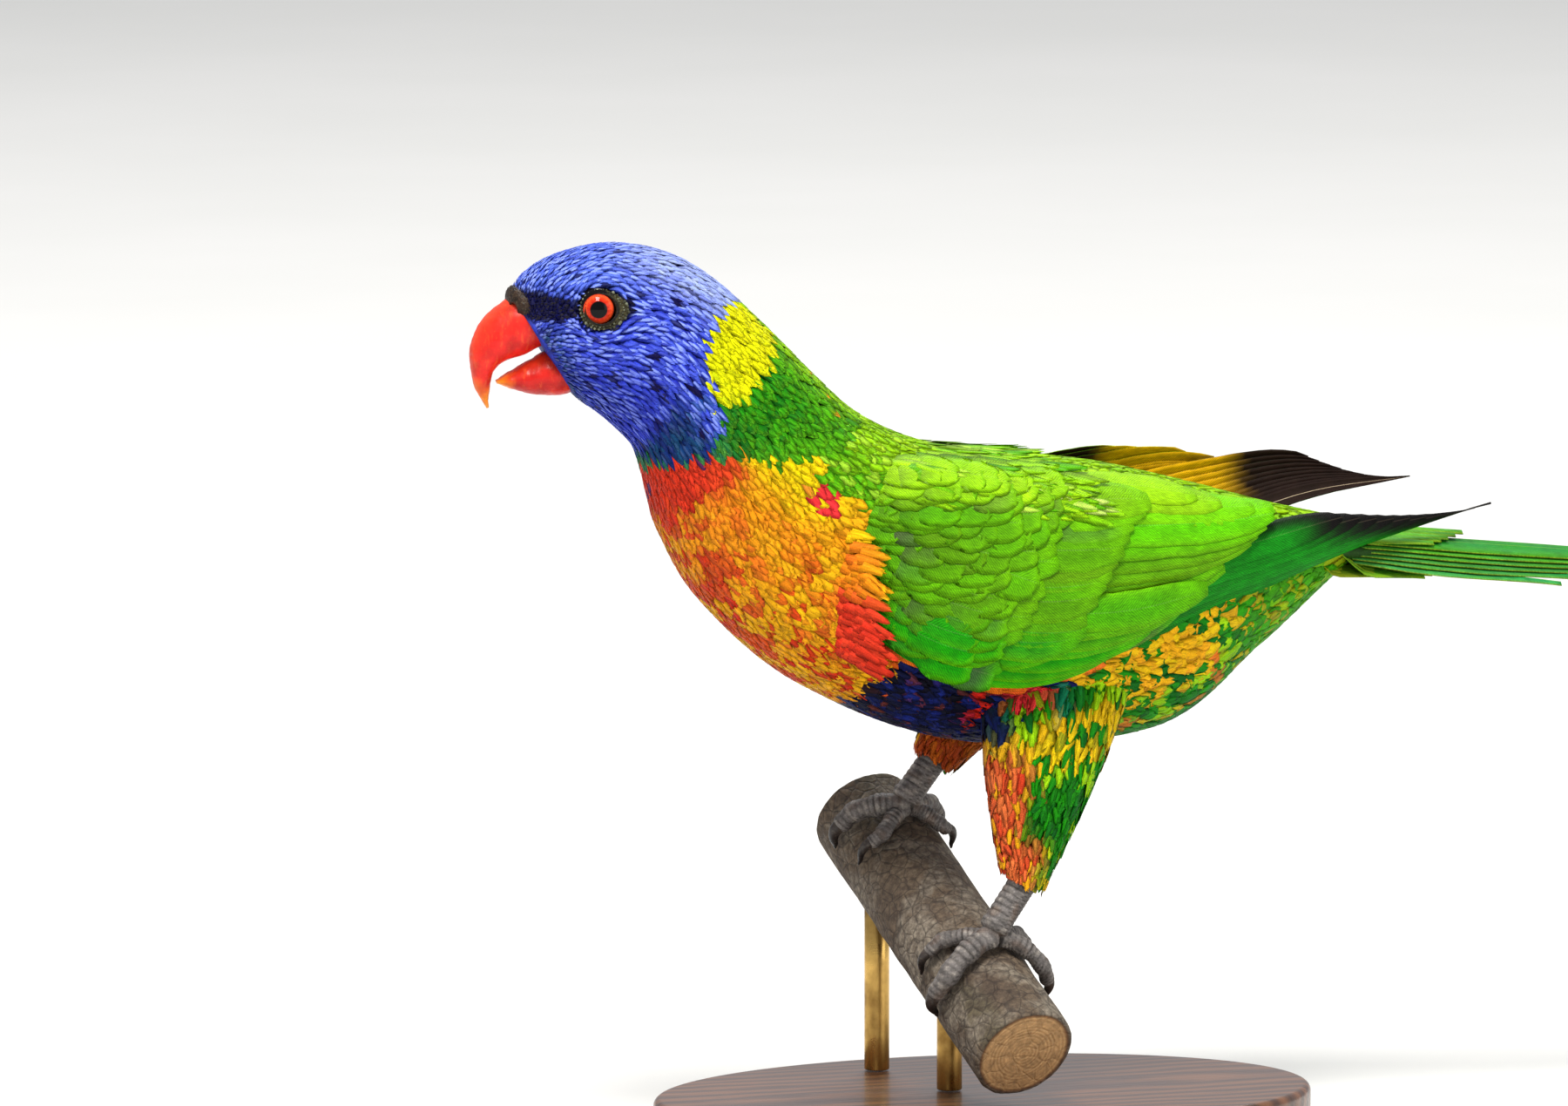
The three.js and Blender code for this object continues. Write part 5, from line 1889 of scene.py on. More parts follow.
TRACTS = (
    Tract(
        "feathers_head", (Zone.HEAD,), "head_feathers",
        Cut(rows=5, columns=3, root=0.6, wide_by=0.3, narrows=0.45, end=0.1, power=1.5, thick=0.08,
            crown=0.06, risen_by=0.5, glide=0.2),
        "blue", loose=0.11,
    ),
    Tract(
        "feathers_neck", (Zone.COLLAR, Zone.NECK), "neck_feathers",
        Cut(rows=5, columns=3, root=0.6, wide_by=0.3, narrows=0.5, end=0.15, power=1.6, thick=0.08,
            crown=0.06, ragged=0.15, fray=0.5, risen_by=0.45, glide=0.3),
        "green", loose=0.16,
    ),
    Tract("feathers_breast", (Zone.BREAST,), "body_feathers", SILK_CUT, "breast", loose=0.14),
    Tract("feathers_belly", (Zone.BELLY,), "body_feathers", SILK_CUT, "belly", loose=0.26, proud=0.1),
    Tract("feathers_back", (Zone.BACK,), "body_feathers", SILK_CUT, "green", loose=0.14),
    Tract("feathers_vent", (Zone.VENT,), "body_feathers", PETAL_CUT, "breast", loose=0.2, proud=0.1),
)


@dataclass
class BodyCoat:
    """The small feathers of the head, neck and body.

    The plan runs along the stations: spacing for the back's side and the breast's side and
    length, in millimetres, and width as a multiple of the spacing.
    """

    plan_s: tuple[float, ...] = (0.0, 0.6, 1.6, 3.0, 5.0, 6.4, 7.5, 9.0, 11.0, 12.5, 14.0)
    gap_back: tuple[float, ...] = (0.55, 0.65, 0.85, 1.0, 1.1, 1.15, 1.3, 1.6, 1.9, 2.0, 2.0)
    gap_front: tuple[float, ...] = (0.55, 0.65, 0.85, 1.0, 1.05, 1.05, 1.1, 1.12, 1.2, 1.6, 1.8)
    length: tuple[float, ...] = (1.2, 1.8, 3.0, 4.4, 5.4, 6.0, 6.6, 7.2, 7.6, 8.6, 9.0)
    stout: tuple[float, ...] = (1.28, 1.3, 1.35, 1.45, 1.6, 1.8, 2.2, 2.5, 2.4, 2.1, 2.0)

    def pitch(self, s: Array, v: Array) -> Array:
        """Distance between roots by the plan."""
        front = smoothstep(BODY_MAP.degrees(v), 70, 110)
        back_gap, front_gap = (np.interp(s, self.plan_s, gaps) for gaps in (self.gap_back, self.gap_front))
        return lerp(back_gap, front_gap, front)

    def spacing(self, s: Array, v: Array) -> Array:
        """Distance between roots, none where the face is bare."""
        gap = self.pitch(s, v)
        ring, _ = BODY_MAP.face_places(s, v)
        bare = (ring < 1.0) & (s < 5)
        return np.where(bare | (s < 0.06) | (s > 13.9), np.inf, gap)

    @staticmethod
    def heading(s: Array, v: Array) -> Array:
        """Turn of the lie: it parts round the eye as a stream parts round a post.

        With r and q the distance and angle from the eye, the stream runs along
        (1 - cos 2q / r^2, -sin 2q / r^2), with r in radii of the bare ring.

        Args:
            s: Station.
            v: Angle from the back.

        Returns:
            The turn in radians, towards higher v where positive.
        """
        p = BODY_SURFACE.straight(s, v, 0.0)
        dx, dz = p[..., 0] - EYE_X, p[..., 2] - EYE_Z
        near = smoothstep(s, 6.0, 4.0)
        r2 = np.maximum((dx**2 + dz**2) / 4.8**2, 0.8)
        q = np.arctan2(dz, dx)
        way = np.arctan2(-np.sin(2 * q) / r2, 1 - 0.9 * np.cos(2 * q) / r2)
        sign = np.where(np.sin(v) >= 0, -1.0, 1.0)
        return sign * way * near * np.minimum(1, 2.2 / r2**0.5)

    def followed(self, u: Array, v: Array, way: Array) -> tuple[Array, Array]:
        """Parameters of the places at a distance from the roots along the lie."""
        for _ in range(4):
            pu, pv, normal = BODY_SURFACE.slopes(u, v)
            step = BODY_SURFACE.headed(pu, normal, self.heading(u, v))
            du, dv = BODY_SURFACE.offsets(pu, pv, step * (way / 4)[:, None])
            u, v = u + du, v + dv
        return u, v

    def plumes(self, draw: np.random.Generator) -> tuple[Plumes, Array]:
        """All the roots with their feathers, coloured for where their ends lie, and the ends' zones.

        Args:
            draw: Random draws.

        Returns:
            The feathers and the zones.
        """
        u, v = scattered(BODY_SURFACE, (0.0, BODY_END), (-math.pi, math.pi), self.spacing, draw, 220)
        chance = draw.uniform(size=(len(u), 5))
        length = np.interp(u, self.plan_s, self.length) * draw.uniform(0.85, 1.15, len(u))
        seen = self.followed(u, v, 0.8 * length)
        a = BODY_MAP.degrees(seen[1])
        zone = BODY_MAP.zone(seen[0] + 0.09 * (chance[:, 0] - 0.5), np.radians(a + 4 * (chance[:, 1] - 0.5)))
        width = np.interp(u, self.plan_s, self.stout) * self.pitch(u, v) * draw.uniform(0.88, 1.12, len(u))
        _, lore = BODY_MAP.face_places(u, v)
        length = np.where((lore < 1.2) & (u < 2.2), length * 0.5, length)
        length = self.clear_of_eye(u, v, length)
        lift = draw.uniform(-0.1, 0.0, len(u)) * np.interp(u, (0, 5, 7), (0.6, 1.0, 0.55))
        turn = draw.normal(0, 1, len(u))
        roll = draw.uniform(-0.02, 0.02, len(u))
        plumes = Plumes(
            u, v, length, width, turn, -coat_depth(u) - 0.15, lift, roll * width * 0.4,
            *BODY_MAP.colours(*seen, chance),
        )
        return plumes, zone

    def clear_of_eye(self, u: Array, v: Array, length: Array) -> Array:
        """Lengths cut short where the straight way back would run over the bare ring."""
        pu, _, _ = BODY_SURFACE.slopes(u, v)
        pace = np.linalg.norm(pu, axis=-1)
        kept = length.copy()
        for share in (1.0, 0.75, 0.5, 0.25):
            ring, _ = BODY_MAP.face_places(u + share * length / pace, v)
            kept = np.where((ring < 0.96) & (u < 3.2), length * max(share - 0.25, 0.12), kept)
        return kept

    def build(self) -> list[bpy.types.Object]:
        """Make one piece for each tract."""
        draw = np.random.default_rng(SEED)
        plumes, zone = self.plumes(draw)
        finishes = {
            "blue": FeatherFinish("feather_blue", (0.3, 0.4, 1.0), 0.4, 0.5, 0.5, 0.12, 0.35).material(),
            "green": FeatherFinish("feather_green", (0.4, 0.75, 0.02), 0.12, 0.5, 0.6, 0.15, 0.5).material(),
            "breast": FeatherFinish("feather_breast", (1.0, 0.5, 0.03), 0.1, 0.5, 0.6, 0.1, 0.28).material(),
            "belly": FeatherFinish("feather_belly", (0.02, 0.03, 0.2), 0.1, 0.5, 0.6, 0.15, 0.6).material(),
        }
        made = []
        for number, tract in enumerate(TRACTS):
            chosen = plumes.only(np.isin(zone, [z.value for z in tract.zones]))
            chosen.length = chosen.length * tract.long
            chosen.width = chosen.width * tract.wide
            chosen.turn = chosen.turn * tract.loose
            chosen.lift = chosen.lift + tract.proud
            web = feather_web(
                BODY_SURFACE, chosen, tract.cut,
                lambda u, v: (u / BODY_END, (v / TAU) % 1.0), self.heading, number,
            )
            made.append(settle(web.piece(tract.name, finishes[tract.finish]), tract.slot))
        return made


# The thighs' coat


def thigh_colours(leg: Leg, t: Array, v: Array, chance: Array) -> tuple[Array, ...]:
    """Colours of a thigh's coat at a share down it and an angle from its rear outwards.

    Args:
        leg: The leg.
        t: Share down to the ankle.
        v: Angle from the rear.
        chance: Five draws for each place.

    Returns:
        Root, middle, end and margin colours, shaft strength and the end's share.
    """
    c0, c1, c2, c3, _ = np.moveaxis(chance, -1, 0)
    front = (1 - np.cos(v)) / 2
    outer = np.sin(v) * leg.side.value
    p = Thigh(leg).point(t, v, 0.0 * t)
    x, z = p[..., 0], p[..., 2]
    cloud = ripple(p, 3.2, 44)
    margin, d0, d1 = petals(-z + cloud, x + cloud + 9 * np.sin(v), 6.0, 5.0, 5.0)
    mottle = np.clip(0.4 + 0.6 * cloud + 0.4 * (c0 - 0.5), 0, 1)
    petal = np.where((d1 > 0.7)[..., None], Hue.lime, blend(Hue.yellow, Hue.amber, d1))
    many = lerp(0.25, 0.95, smoothstep(z + 2 * cloud, 73, 80))
    there = (d0 < many) * smoothstep(margin, 5.2, 3.4) * (c2 > 0.1)
    there = there * (1 - 0.9 * patch(p, 7.5, 93.0, 6.0, 3.5))
    strip = smoothstep(front + 0.05 * cloud, 0.62, 0.8) * smoothstep(z, 84, 78)
    cuff = smoothstep(t, 0.8, 0.92) * smoothstep(front + 0.1 * cloud, 0.15, 0.5)
    inner = smoothstep(outer, 0.1, -0.25) * smoothstep(t, 0.1, 0.3)
    warm = np.clip(np.maximum(strip, cuff), 0, 1)
    flame = blend(linear(240, 120, 60), linear(214, 62, 30), mottle)
    middle = painted(
        Hue.green,
        (Hue.deep_green, mottle),
        (petal, 0.9 * there),
        (np.where((c1 > 0.8)[..., None], Hue.amber, flame), warm),
        (blend(linear(150, 46, 14), linear(196, 84, 20), c1), inner * 0.9),
    )
    middle = BODY_MAP.flank_patches(middle, p, [c0, c3])
    belly = smoothstep(z + 1.6 * cloud, 82.0, 85.0) * smoothstep(x + 2 * cloud, 1.0, -2.5)
    middle = blend(middle, blend(Hue.navy, Hue.night, np.clip(0.5 + cloud, 0, 1)), belly)
    middle = middle * (0.94 + 0.12 * c3)[..., None]
    # the end colour, middle * 1.06, is a painted highlight on the feathers' ends
    return blend(middle, Hue.moss, 0.3 * (1 - warm)), middle, middle * 1.06, middle, 0.0, 0.3


@dataclass
class ThighCoat:
    """The feathers of the thighs, down to the ragged cuffs at the ankles."""

    gap: float = 1.25
    length: float = 7.0
    width: float = 2.2
    depth: float = 1.3
    cut: Cut = SILK_CUT

    def build(self) -> list[bpy.types.Object]:
        """Make one piece for each leg."""
        finish = FeatherFinish("feather_thigh", (0.9, 0.8, 0.05), 0.1, 0.5, 0.6, 0.15, 0.45).material()
        return [self.leg_piece(leg, finish) for leg in LEGS]

    def leg_piece(self, leg: Leg, finish: bpy.types.Material) -> bpy.types.Object:
        """Cover one thigh.

        Args:
            leg: The leg.
            finish: The material.

        Returns:
            The piece.
        """
        draw = np.random.default_rng(SEED + 40 + leg.side.value)
        surface = Thigh(leg)

        def spacing(t: Array, v: Array) -> Array:
            """Closer towards the ankle, none on the last of it."""
            return np.where(t > 0.93, np.inf, lerp(self.gap, self.gap * 0.75, smoothstep(t, 0.2, 0.9)))

        u, v = scattered(surface, (0.0, 1.0), (0.0, TAU), spacing, draw, 90)
        chance = draw.uniform(size=(len(u), 5))
        size = lerp(1.0, 0.62, smoothstep(u, 0.3, 1.0)) * draw.uniform(0.85, 1.15, len(u))
        plumes = Plumes(
            u, v, self.length * size, self.width * size, draw.normal(0, 0.2, len(u)),
            np.full(len(u), -self.depth - 0.2), draw.uniform(-0.2, 0.25, len(u)),
            draw.uniform(-0.12, 0.12, len(u)), *thigh_colours(leg, np.minimum(u + 0.09, 1), v, chance),
        )
        web = feather_web(surface, plumes, self.cut, lambda a, b: (a, (b / TAU) % 1.0), None, 50)
        name = f"feathers_thigh_{leg.side.word}"
        return settle(web.piece(name, finish), "body_feathers", f"thigh_{leg.side.word}")


# Wings


@dataclass(frozen=True)
class WingRow:
    """One row of a wing, from its lowest feather to its highest.

    Attributes:
        name: The row's name.
        count: Feathers in it.
        root: x and degrees of the lowest and the highest root.
        tip: x and degrees of the lowest and the highest tip.
        sag: Degrees that the middle sags, lowest and highest.
        width: Width of the lowest and the highest.
        out: Height of the tip over the sheet, lowest and highest.
        tilt: Height of one edge over the middle.
        sink: Height of the root over the sheet.
        cut: The blade's shape.
        group: The piece that it joins.
    """

    name: str
    count: int
    root: tuple[tuple[float, float], tuple[float, float]]
    tip: tuple[tuple[float, float], tuple[float, float]]
    sag: tuple[float, float]
    width: tuple[float, float]
    out: tuple[float, float]
    tilt: float
    sink: float
    cut: Cut
    group: str


FLIGHT_CUT = Cut(rows=26, columns=7, root=0.55, wide_by=0.3, narrows=0.72, end=0.2, thick=0.26, risen_by=0.33,
                 ragged=0.03, walled=True, crown=0.3)
LONG_CUT = Cut(rows=22, columns=7, root=0.5, wide_by=0.35, narrows=0.7, end=0.35, thick=0.24, risen_by=0.33,
               ragged=0.05, walled=True, crown=0.3)
COVERT_CUT = Cut(rows=14, columns=7, root=0.45, wide_by=0.45, narrows=0.6, end=0.4, thick=0.16, risen_by=0.5,
                 ragged=0.06, walled=True, crown=0.25)
SMALL_CUT = Cut(rows=10, columns=7, root=0.5, wide_by=0.45, narrows=0.55, end=0.3, power=2.0, thick=0.03,
                risen_by=0.3, ragged=0.07, fray=0.9, crown=0.0, glide=0.8)
SCAPULAR_CUT = Cut(rows=8, columns=3, root=0.6, wide_by=0.3, narrows=0.35, end=0.1, power=1.4, thick=0.08,
                   risen_by=0.35, ragged=0.15, fray=0.5, crown=0.02, glide=0.7)

WING_ROWS = (
    WingRow("primaries", 10, ((-4, -16), (10, 8)), ((111, -6), (74, 26)), (-4, 0), (7.0, 7.8), (-4.5, -0.7),
            0.0, 0.2, FLIGHT_CUT, "flight"),
    WingRow("secondaries", 11, ((-28, -18), (-8, 31)), ((35, -6), (57, 36)), (-4, -2), (9.5, 9.0),
            (-1.0, 1.4), 0.35, 0.4, LONG_CUT, "flight"),
    WingRow("tertials", 4, ((-4, 34), (2, 48)), ((58, 40), (40, 50)), (0, 2), (9.5, 8.5), (1.3, 1.6),
            0.4, 0.5, LONG_CUT, "flight"),
    WingRow("edge_coverts", 7, ((-36, -20), (-18, 6)), ((18, -15), (40, 2)), (-9, -4), (6.5, 7.5), (1.0, 1.9),
            0.3, 0.6, LONG_CUT, "coverts"),
    WingRow("greater_coverts", 13, ((-24, -10), (-3, 42)), ((7, -14), (27, 43)), (-4, 0), (8.6, 9.4),
            (2.1, 2.3), 0.3, 1.1, COVERT_CUT, "coverts"),
    WingRow("median_coverts", 13, ((-31, -12), (-13, 44)), ((-7, -17), (13, 44)), (-3, 0), (7.6, 8.4),
            (2.6, 2.7), 0.25, 1.2, COVERT_CUT, "coverts"),
)


def wing_colours(x: Array, angle: Array, chance: Array) -> tuple[Array, ...]:
    """Colours of a wing's upper side by x and degrees up from its widest line.

    Args:
        x: Place along the bird.
        angle: Degrees.
        chance: Five draws for each place.

    Returns:
        Root, middle, end and margin colours, shaft strength and the end's share.
    """
    c0, c1, c2, c3, _ = np.moveaxis(chance, -1, 0)
    cloud = ripple(np.stack([x, angle * 0.5, 0 * x], -1), 11.0, 91)
    high = smoothstep(angle + 4 * cloud, 34, 54)
    low = smoothstep(angle + 4 * cloud, 4, -15)
    rear = smoothstep(x, 14, 40)
    shade = np.clip(0.4 + 0.6 * cloud + 0.8 * (c0 - 0.5), 0, 1) * (1 - rear)
    middle = painted(
        linear(92, 180, 2),
        (linear(92, 146, 8), shade),
        (linear(108, 244, 0), 0.9 * rear * smoothstep(angle, 4, 30)),
        (linear(50, 190, 0), 0.85 * rear * smoothstep(angle, 24, 2)),
        (linear(8, 170, 0), 0.95 * low),
        (linear(186, 244, 20), high * (0.55 + 0.4 * c1) * (1 - 0.6 * rear)),
    )
    brown = smoothstep(ripple(np.stack([x, angle * 0.6, 0 * x], -1), 8.0, 95), 0.4, 0.75)
    brown = brown * (1 - high) * (1 - rear) * (1 - 0.7 * low)
    middle = middle * (0.9 + 0.18 * c3)[..., None]
    smudge = (c2 > 0.94) * (1 - high) * (1 - rear)
    tip = blend(middle, linear(130, 214, 0), 0.25 + 0.3 * c1)
    stain = np.clip(0.6 * brown + smudge + (c2 < 0.2) * 0.3, 0, 0.8)
    base = painted(middle, (Hue.moss, 0.35), (Hue.plum, stain))
    edge = blend(middle, linear(140, 226, 10), 0.55)
    middle = blend(middle, Hue.plum, np.clip(0.35 * brown + 0.7 * smudge, 0, 0.75))
    return base, middle, tip, blend(edge, middle, 0.7 * smudge), 0.05, 0.24 + 0.1 * smudge


@dataclass
class Wing:
    """One folded wing's feathers: flight feathers, coverts in rows, small coverts and scapulars."""

    side: Side
    small_gap: float = 3.1
    small_length: float = 13.5
    small_width: float = 9.0

    def __post_init__(self) -> None:
        """Make the sheet."""
        self.sheet = WingSheet(self.side)

    def vane_line(self, row: WingRow, share: Array, t: Array) -> tuple[Array, Array]:
        """x and angle of each feather's middle line: straight, with a sine's sag.

        Args:
            row: The row.
            share: Place of each feather in the row.
            t: Shares along it.

        Returns:
            x and angle as feather by share along.
        """
        first, last = (np.array([*row.root[end], *row.tip[end], row.sag[end]]) for end in (0, 1))
        mix = lerp(first, last, share[:, None])
        x = lerp(mix[:, 0:1], mix[:, 2:3], t[None])
        angle = lerp(mix[:, 1:2], mix[:, 3:4], t[None]) + mix[:, 4:5] * np.sin(np.pi * t[None])
        return x, np.radians(angle)

    def row_web(self, row: WingRow, draw: np.random.Generator) -> Web:
        """Web of one row.

        Each point is a step across the middle line's direction on the sheet; the height goes
        from the sink to the row's height by a smoothstep, tilted so that each feather's upper
        edge lies under the next.

        Args:
            row: The row.
            draw: Random draws.

        Returns:
            The web.
        """
        share = np.linspace(0, 1, row.count)
        t = np.linspace(0, 1, row.cut.rows)
        q = np.linspace(-1, 1, row.cut.columns)
        q = np.sign(q) * np.abs(q) ** 0.8
        stray = draw.uniform(-1, 1, (row.count, 2, 1)) * (0.0 if row.name == "primaries" else 1.0)
        x, angle = self.vane_line(row, share, t)
        nx, nangle = self.vane_line(row, share, t + 0.01)
        far = np.stack([t, t + 0.01]) * 1.8
        x, nx = x + stray[:, 0] * far[0], nx + stray[:, 0] * far[1]
        bend = np.radians(1.1) * stray[:, 1]
        angle, nangle = angle + bend * far[0], nangle + bend * far[1]
        _, high, wide = self.sheet.section(x)
        reach = np.hypot(wide * np.sin(angle), high * np.cos(angle))
        way = unit(np.stack([nx - x, reach * (nangle - angle)], axis=-1))
        width = lerp(row.width[0], row.width[1], share)[:, None] * row.cut.outline(t)[None] / 2
        width = width * draw.uniform(0.96, 1.04, (row.count, 1))
        notch = 1 + row.cut.ragged * draw.uniform(-1, 0.3, (row.count, len(t), 2))
        side = np.where(q[None, None, :] < 0, notch[..., :1], notch[..., 1:])
        across = width[..., None] * q * side
        risen = smoothstep(t / row.cut.risen_by)[None]
        lift = lerp(row.sink, lerp(row.out[0], row.out[1], share)[:, None], risen)
        lift = lift[..., None] + row.cut.crown * (1 - q**2) * np.minimum(1, 3 * t)[:, None]
        ridge = 0.08 * np.exp(-((q / 0.12) ** 2))
        tilt = row.tilt * smoothstep(t / 0.25)[None, :, None] * q
        height = lift - tilt + ridge
        shift = draw.uniform(-0.06, 0.06, (row.count, 1, 1))
        u = x[..., None] - across * way[..., 1:2]
        v = angle[..., None] + across * way[..., 0:1] / reach[..., None]
        top = self.sheet.point(u, v, height + shift)
        under = self.sheet.point(u, v, height + shift - row.cut.thick * (1 - 0.5 * t[None, :, None]))
        length = np.hypot(x[:, -1] - x[:, 0], reach.mean(axis=1) * (angle[:, -1] - angle[:, 0]))
        tint, below = self.row_tints(row, t, q, x, angle, draw)
        along = np.broadcast_to(t[None, :, None] * length[:, None, None], across.shape)
        vane = np.stack([across, along + draw.uniform(0, 40, (row.count, 1, 1))], axis=-1)
        root = ((x[:, 0] + 50) / 170, (angle[:, 0] + 0.8) / 2.4)
        return blade_web(top, under, tint, below, vane, bake_pairs(*root, t, q), row.cut.walled)

    def row_tints(
        self, row: WingRow, t: Array, q: Array, x: Array, angle: Array, draw: np.random.Generator
    ) -> tuple[Array, Array]:
        """Colours of a row's upper and lower faces.

        Args:
            row: The row.
            t: Shares along.
            q: Shares across.
            x: x along each middle line.
            angle: Angle along each middle line.
            draw: Random draws.

        Returns:
            Two arrays as feather by row by column by four.
        """
        count = row.count
        chance = draw.uniform(size=(count, 5))
        middle_x, middle_a = x[:, len(t) // 2], np.degrees(angle[:, len(t) // 2])
        base, middle, tip, edge, shaft, reach = wing_colours(middle_x, middle_a, chance)
        if row.name == "primaries":
            outer = linear(22, 148, 24)
            middle = np.tile(outer, (count, 1)) * draw.uniform(0.7, 1.1, (count, 1))
            edge, base = middle * 1.15, middle * 0.7
            tip = np.tile(Hue.soot, (count, 1))
        if row.name in ("secondaries", "tertials"):
            edge = blend(middle, Hue.lime, 0.3)
            base = middle * 0.6
            reach = np.full(count, 0.12)
        tint = plume_tint(Plumes(*np.zeros((8, count)), base, middle, tip, edge, shaft, reach), t, q)
        inner_web = smoothstep(q, 0.15, 0.55)[None, None, :, None]
        if row.name in ("primaries", "secondaries"):
            share_dark = 0.9 * inner_web * np.ones_like(tint[..., :1])
            tint[..., :3] = tint[..., :3] * (1 - share_dark) + Hue.soot * share_dark
        below = np.zeros_like(tint)
        if row.group == "flight":
            below[..., :3] = self.underside(x, q)
            below[..., 3] = 0.9
            tint[..., 3] = 0.05
        else:
            below[..., :3] = blend(Hue.moss, Hue.olive, 0.4)
        return tint, below

    @staticmethod
    def underside(x: Array, q: Array) -> Array:
        """Colour under a flight feather: sooty black, with a yellow band across its inner web."""
        inside = smoothstep(x, 31, 37) * smoothstep(x, 65, 58)
        band = inside[..., None] * smoothstep(q, -0.95, -0.7)[None, None]
        return blend(blend(Hue.soot, Hue.brown, 0.35), linear(255, 190, 6), band)

    def small_web(self, draw: np.random.Generator) -> Web:
        """Web of the marginal and lesser coverts, which cover the wing's front in scales."""

        def spacing(x: Array, angle: Array) -> Array:
            """Closer to the front edge; only over the wing's root and in front of the rows."""
            degrees = np.degrees(angle)
            low = np.interp(x, (-47, -40, -32, -24, -12), (0, -10, -18, -25, -24))
            high = np.interp(x, (-47, -40, -25, -6, 0), (44, 50, 54, 52, 48))
            rear = np.interp(degrees, (-26, 0, 40, 60), (-20, -17, -3, 2))
            inside = (degrees > low) & (degrees < high) & (x < rear) & (x > breast_border(degrees) - 9)
            gap = lerp(self.small_gap * 0.6, self.small_gap, smoothstep(x, -44, -20))
            return np.where(inside, gap, np.inf)

        u, v = scattered(self.sheet, (-47.0, 2.0), (-0.6, 1.15), spacing, draw, 110)
        chance = draw.uniform(size=(len(u), 5))
        size = lerp(0.62, 1.0, smoothstep(u, -46, -24)) * draw.uniform(0.9, 1.1, len(u))
        height = np.interp(u, (-47, -38, -28, -14), (0.4, 1.6, 2.7, 3.4))
        plumes = Plumes(
            u, v, self.small_length * size, self.small_width * size, draw.normal(0, 0.1, len(u)),
            height - 1.6, height + draw.uniform(-0.03, 0.0, len(u)), 0.16 * size * self.side.value,
            *wing_colours(u, np.degrees(v), chance),
        )
        return feather_web(self.sheet, plumes, SMALL_CUT, self.unwrap, None, 60 + self.side.value)

    def scapular_web(self, draw: np.random.Generator) -> Web:
        """Web of the scapulars, which lie over the wing's upper edge beside the back."""

        def spacing(x: Array, angle: Array) -> Array:
            """Even, over a belt along the upper edge."""
            degrees = np.degrees(angle)
            inside = (degrees > 40) & (degrees < 84) & (x > -48) & (x < 9 - (degrees - 42) * 0.3)
            return np.where(inside, 1.35, np.inf)

        u, v = scattered(self.sheet, (-48.0, 10.0), (0.68, 1.5), spacing, draw, 110)
        chance = draw.uniform(size=(len(u), 5))
        streak = ripple(np.stack([u * 0.2, np.degrees(v), 0 * u], -1), 4.0, 93) + 0.8 * (chance[:, 0] - 0.5)
        middle = blend(linear(176, 240, 16), linear(96, 190, 4), np.clip(0.3 - 0.9 * streak, 0, 1))
        # painted highlight: pale streaks over the scapulars, strongest where white is 1, from x = -14 back
        # and below 56 degrees
        white = smoothstep(u, -24, -14) * smoothstep(np.degrees(v), 66, 56)
        highlight_streaks = 0.7 * smoothstep(streak, 0.35, 0.7) * (0.4 + 0.6 * white)
        middle = blend(middle, linear(226, 252, 130), highlight_streaks)
        middle = blend(middle, Hue.olive, 0.7 * (chance[:, 1] > 0.9))
        size = lerp(0.55, 1.0, smoothstep(u, -46, -14)) * draw.uniform(0.85, 1.15, len(u))
        height = np.interp(u, (-48, -38, -26, -10, 8), (-0.2, 1.4, 2.7, 3.3, 3.2))
        height = height - 2.8 * smoothstep(np.degrees(v), 54, 74)
        plumes = Plumes(
            u, v, 14.0 * size, 2.9 * size, draw.normal(0.2, 0.1, len(u)) * self.side.value,
            height - 1.8, height + draw.uniform(-0.15, 0.1, len(u)), draw.uniform(-0.08, 0.08, len(u)),
            blend(middle, Hue.moss, 0.4), middle, middle, middle, np.zeros(len(u)), np.full(len(u), 0.3),
        )
        return feather_web(self.sheet, plumes, SCAPULAR_CUT, self.unwrap, None, 70 + self.side.value)

    def lining_web(self, draw: np.random.Generator) -> Web:
        """Web of the orange-red feathers under the front edge, a narrow line below the coverts."""
        count = 60
        u = np.linspace(-36, -6, count) + draw.uniform(-0.5, 0.5, count)
        v = np.radians(np.interp(u, (-36, -27, -13, 0), (-24.5, -29.5, -34.5, -32)))
        v = v + draw.uniform(-0.015, 0.015, count)
        middle = blend(Hue.scarlet, Hue.orange, draw.uniform(0, 0.7, count))
        plumes = Plumes(
            u, v, np.full(count, 8.0), np.full(count, 2.6), draw.normal(0, 0.06, count),
            np.full(count, -2.4), draw.uniform(-0.6, -0.2, count), draw.uniform(-0.1, 0.1, count),
            middle * 0.6, middle, middle, middle, np.zeros(count), np.full(count, 0.3),
        )
        return feather_web(self.sheet, plumes, SMALL_CUT, self.unwrap, None, 80 + self.side.value)

    @staticmethod
    def unwrap(u: Array, v: Array) -> tuple[Array, Array]:
        """Unwrap coordinates of a place on the sheet."""
        return (u + 50) / 170, (v + 0.8) / 2.4

    def build(self) -> list[bpy.types.Object]:
        """Make the wing's three pieces."""
        word = self.side.word
        draw = np.random.default_rng(SEED + 20 + self.side.value)
        finish = FeatherFinish(
            f"feather_wing_{word}", (0.62, 0.48, 0.32), 0.16, 0.62, 1.1, 0.4, 0.25
        ).material()
        groups: dict[str, list[Web]] = {"flight": [], "coverts": [], "small": []}
        for row in WING_ROWS:
            if row.name == "primaries" and self.side is Side.RIGHT:
                row = replace(row, root=((-4, -16), (12, 26)), tip=((98, -4), (78, 36)))
            groups[row.group].append(self.row_web(row, draw))
        groups["small"] = [self.small_web(draw), self.scapular_web(draw), self.lining_web(draw)]
        made = []
        for group, webs in groups.items():
            web = Web.joined([web.outward() for web in webs])
            made.append(settle(web.piece(f"wing_{word}_{group}", finish), "wing_feathers", f"wing_{word}"))
        return made


def breast_border(degrees: Array) -> Array:
    """x where the breast's silk ends on the wing, by degrees up from the wing's widest line."""
    angles, places = (-34, -24, -8, 0, 14, 20, 29, 36, 52), (-29, -30, -31.5, -31, -33, -36, -42, -42, -45)
    return np.interp(degrees, angles, places)


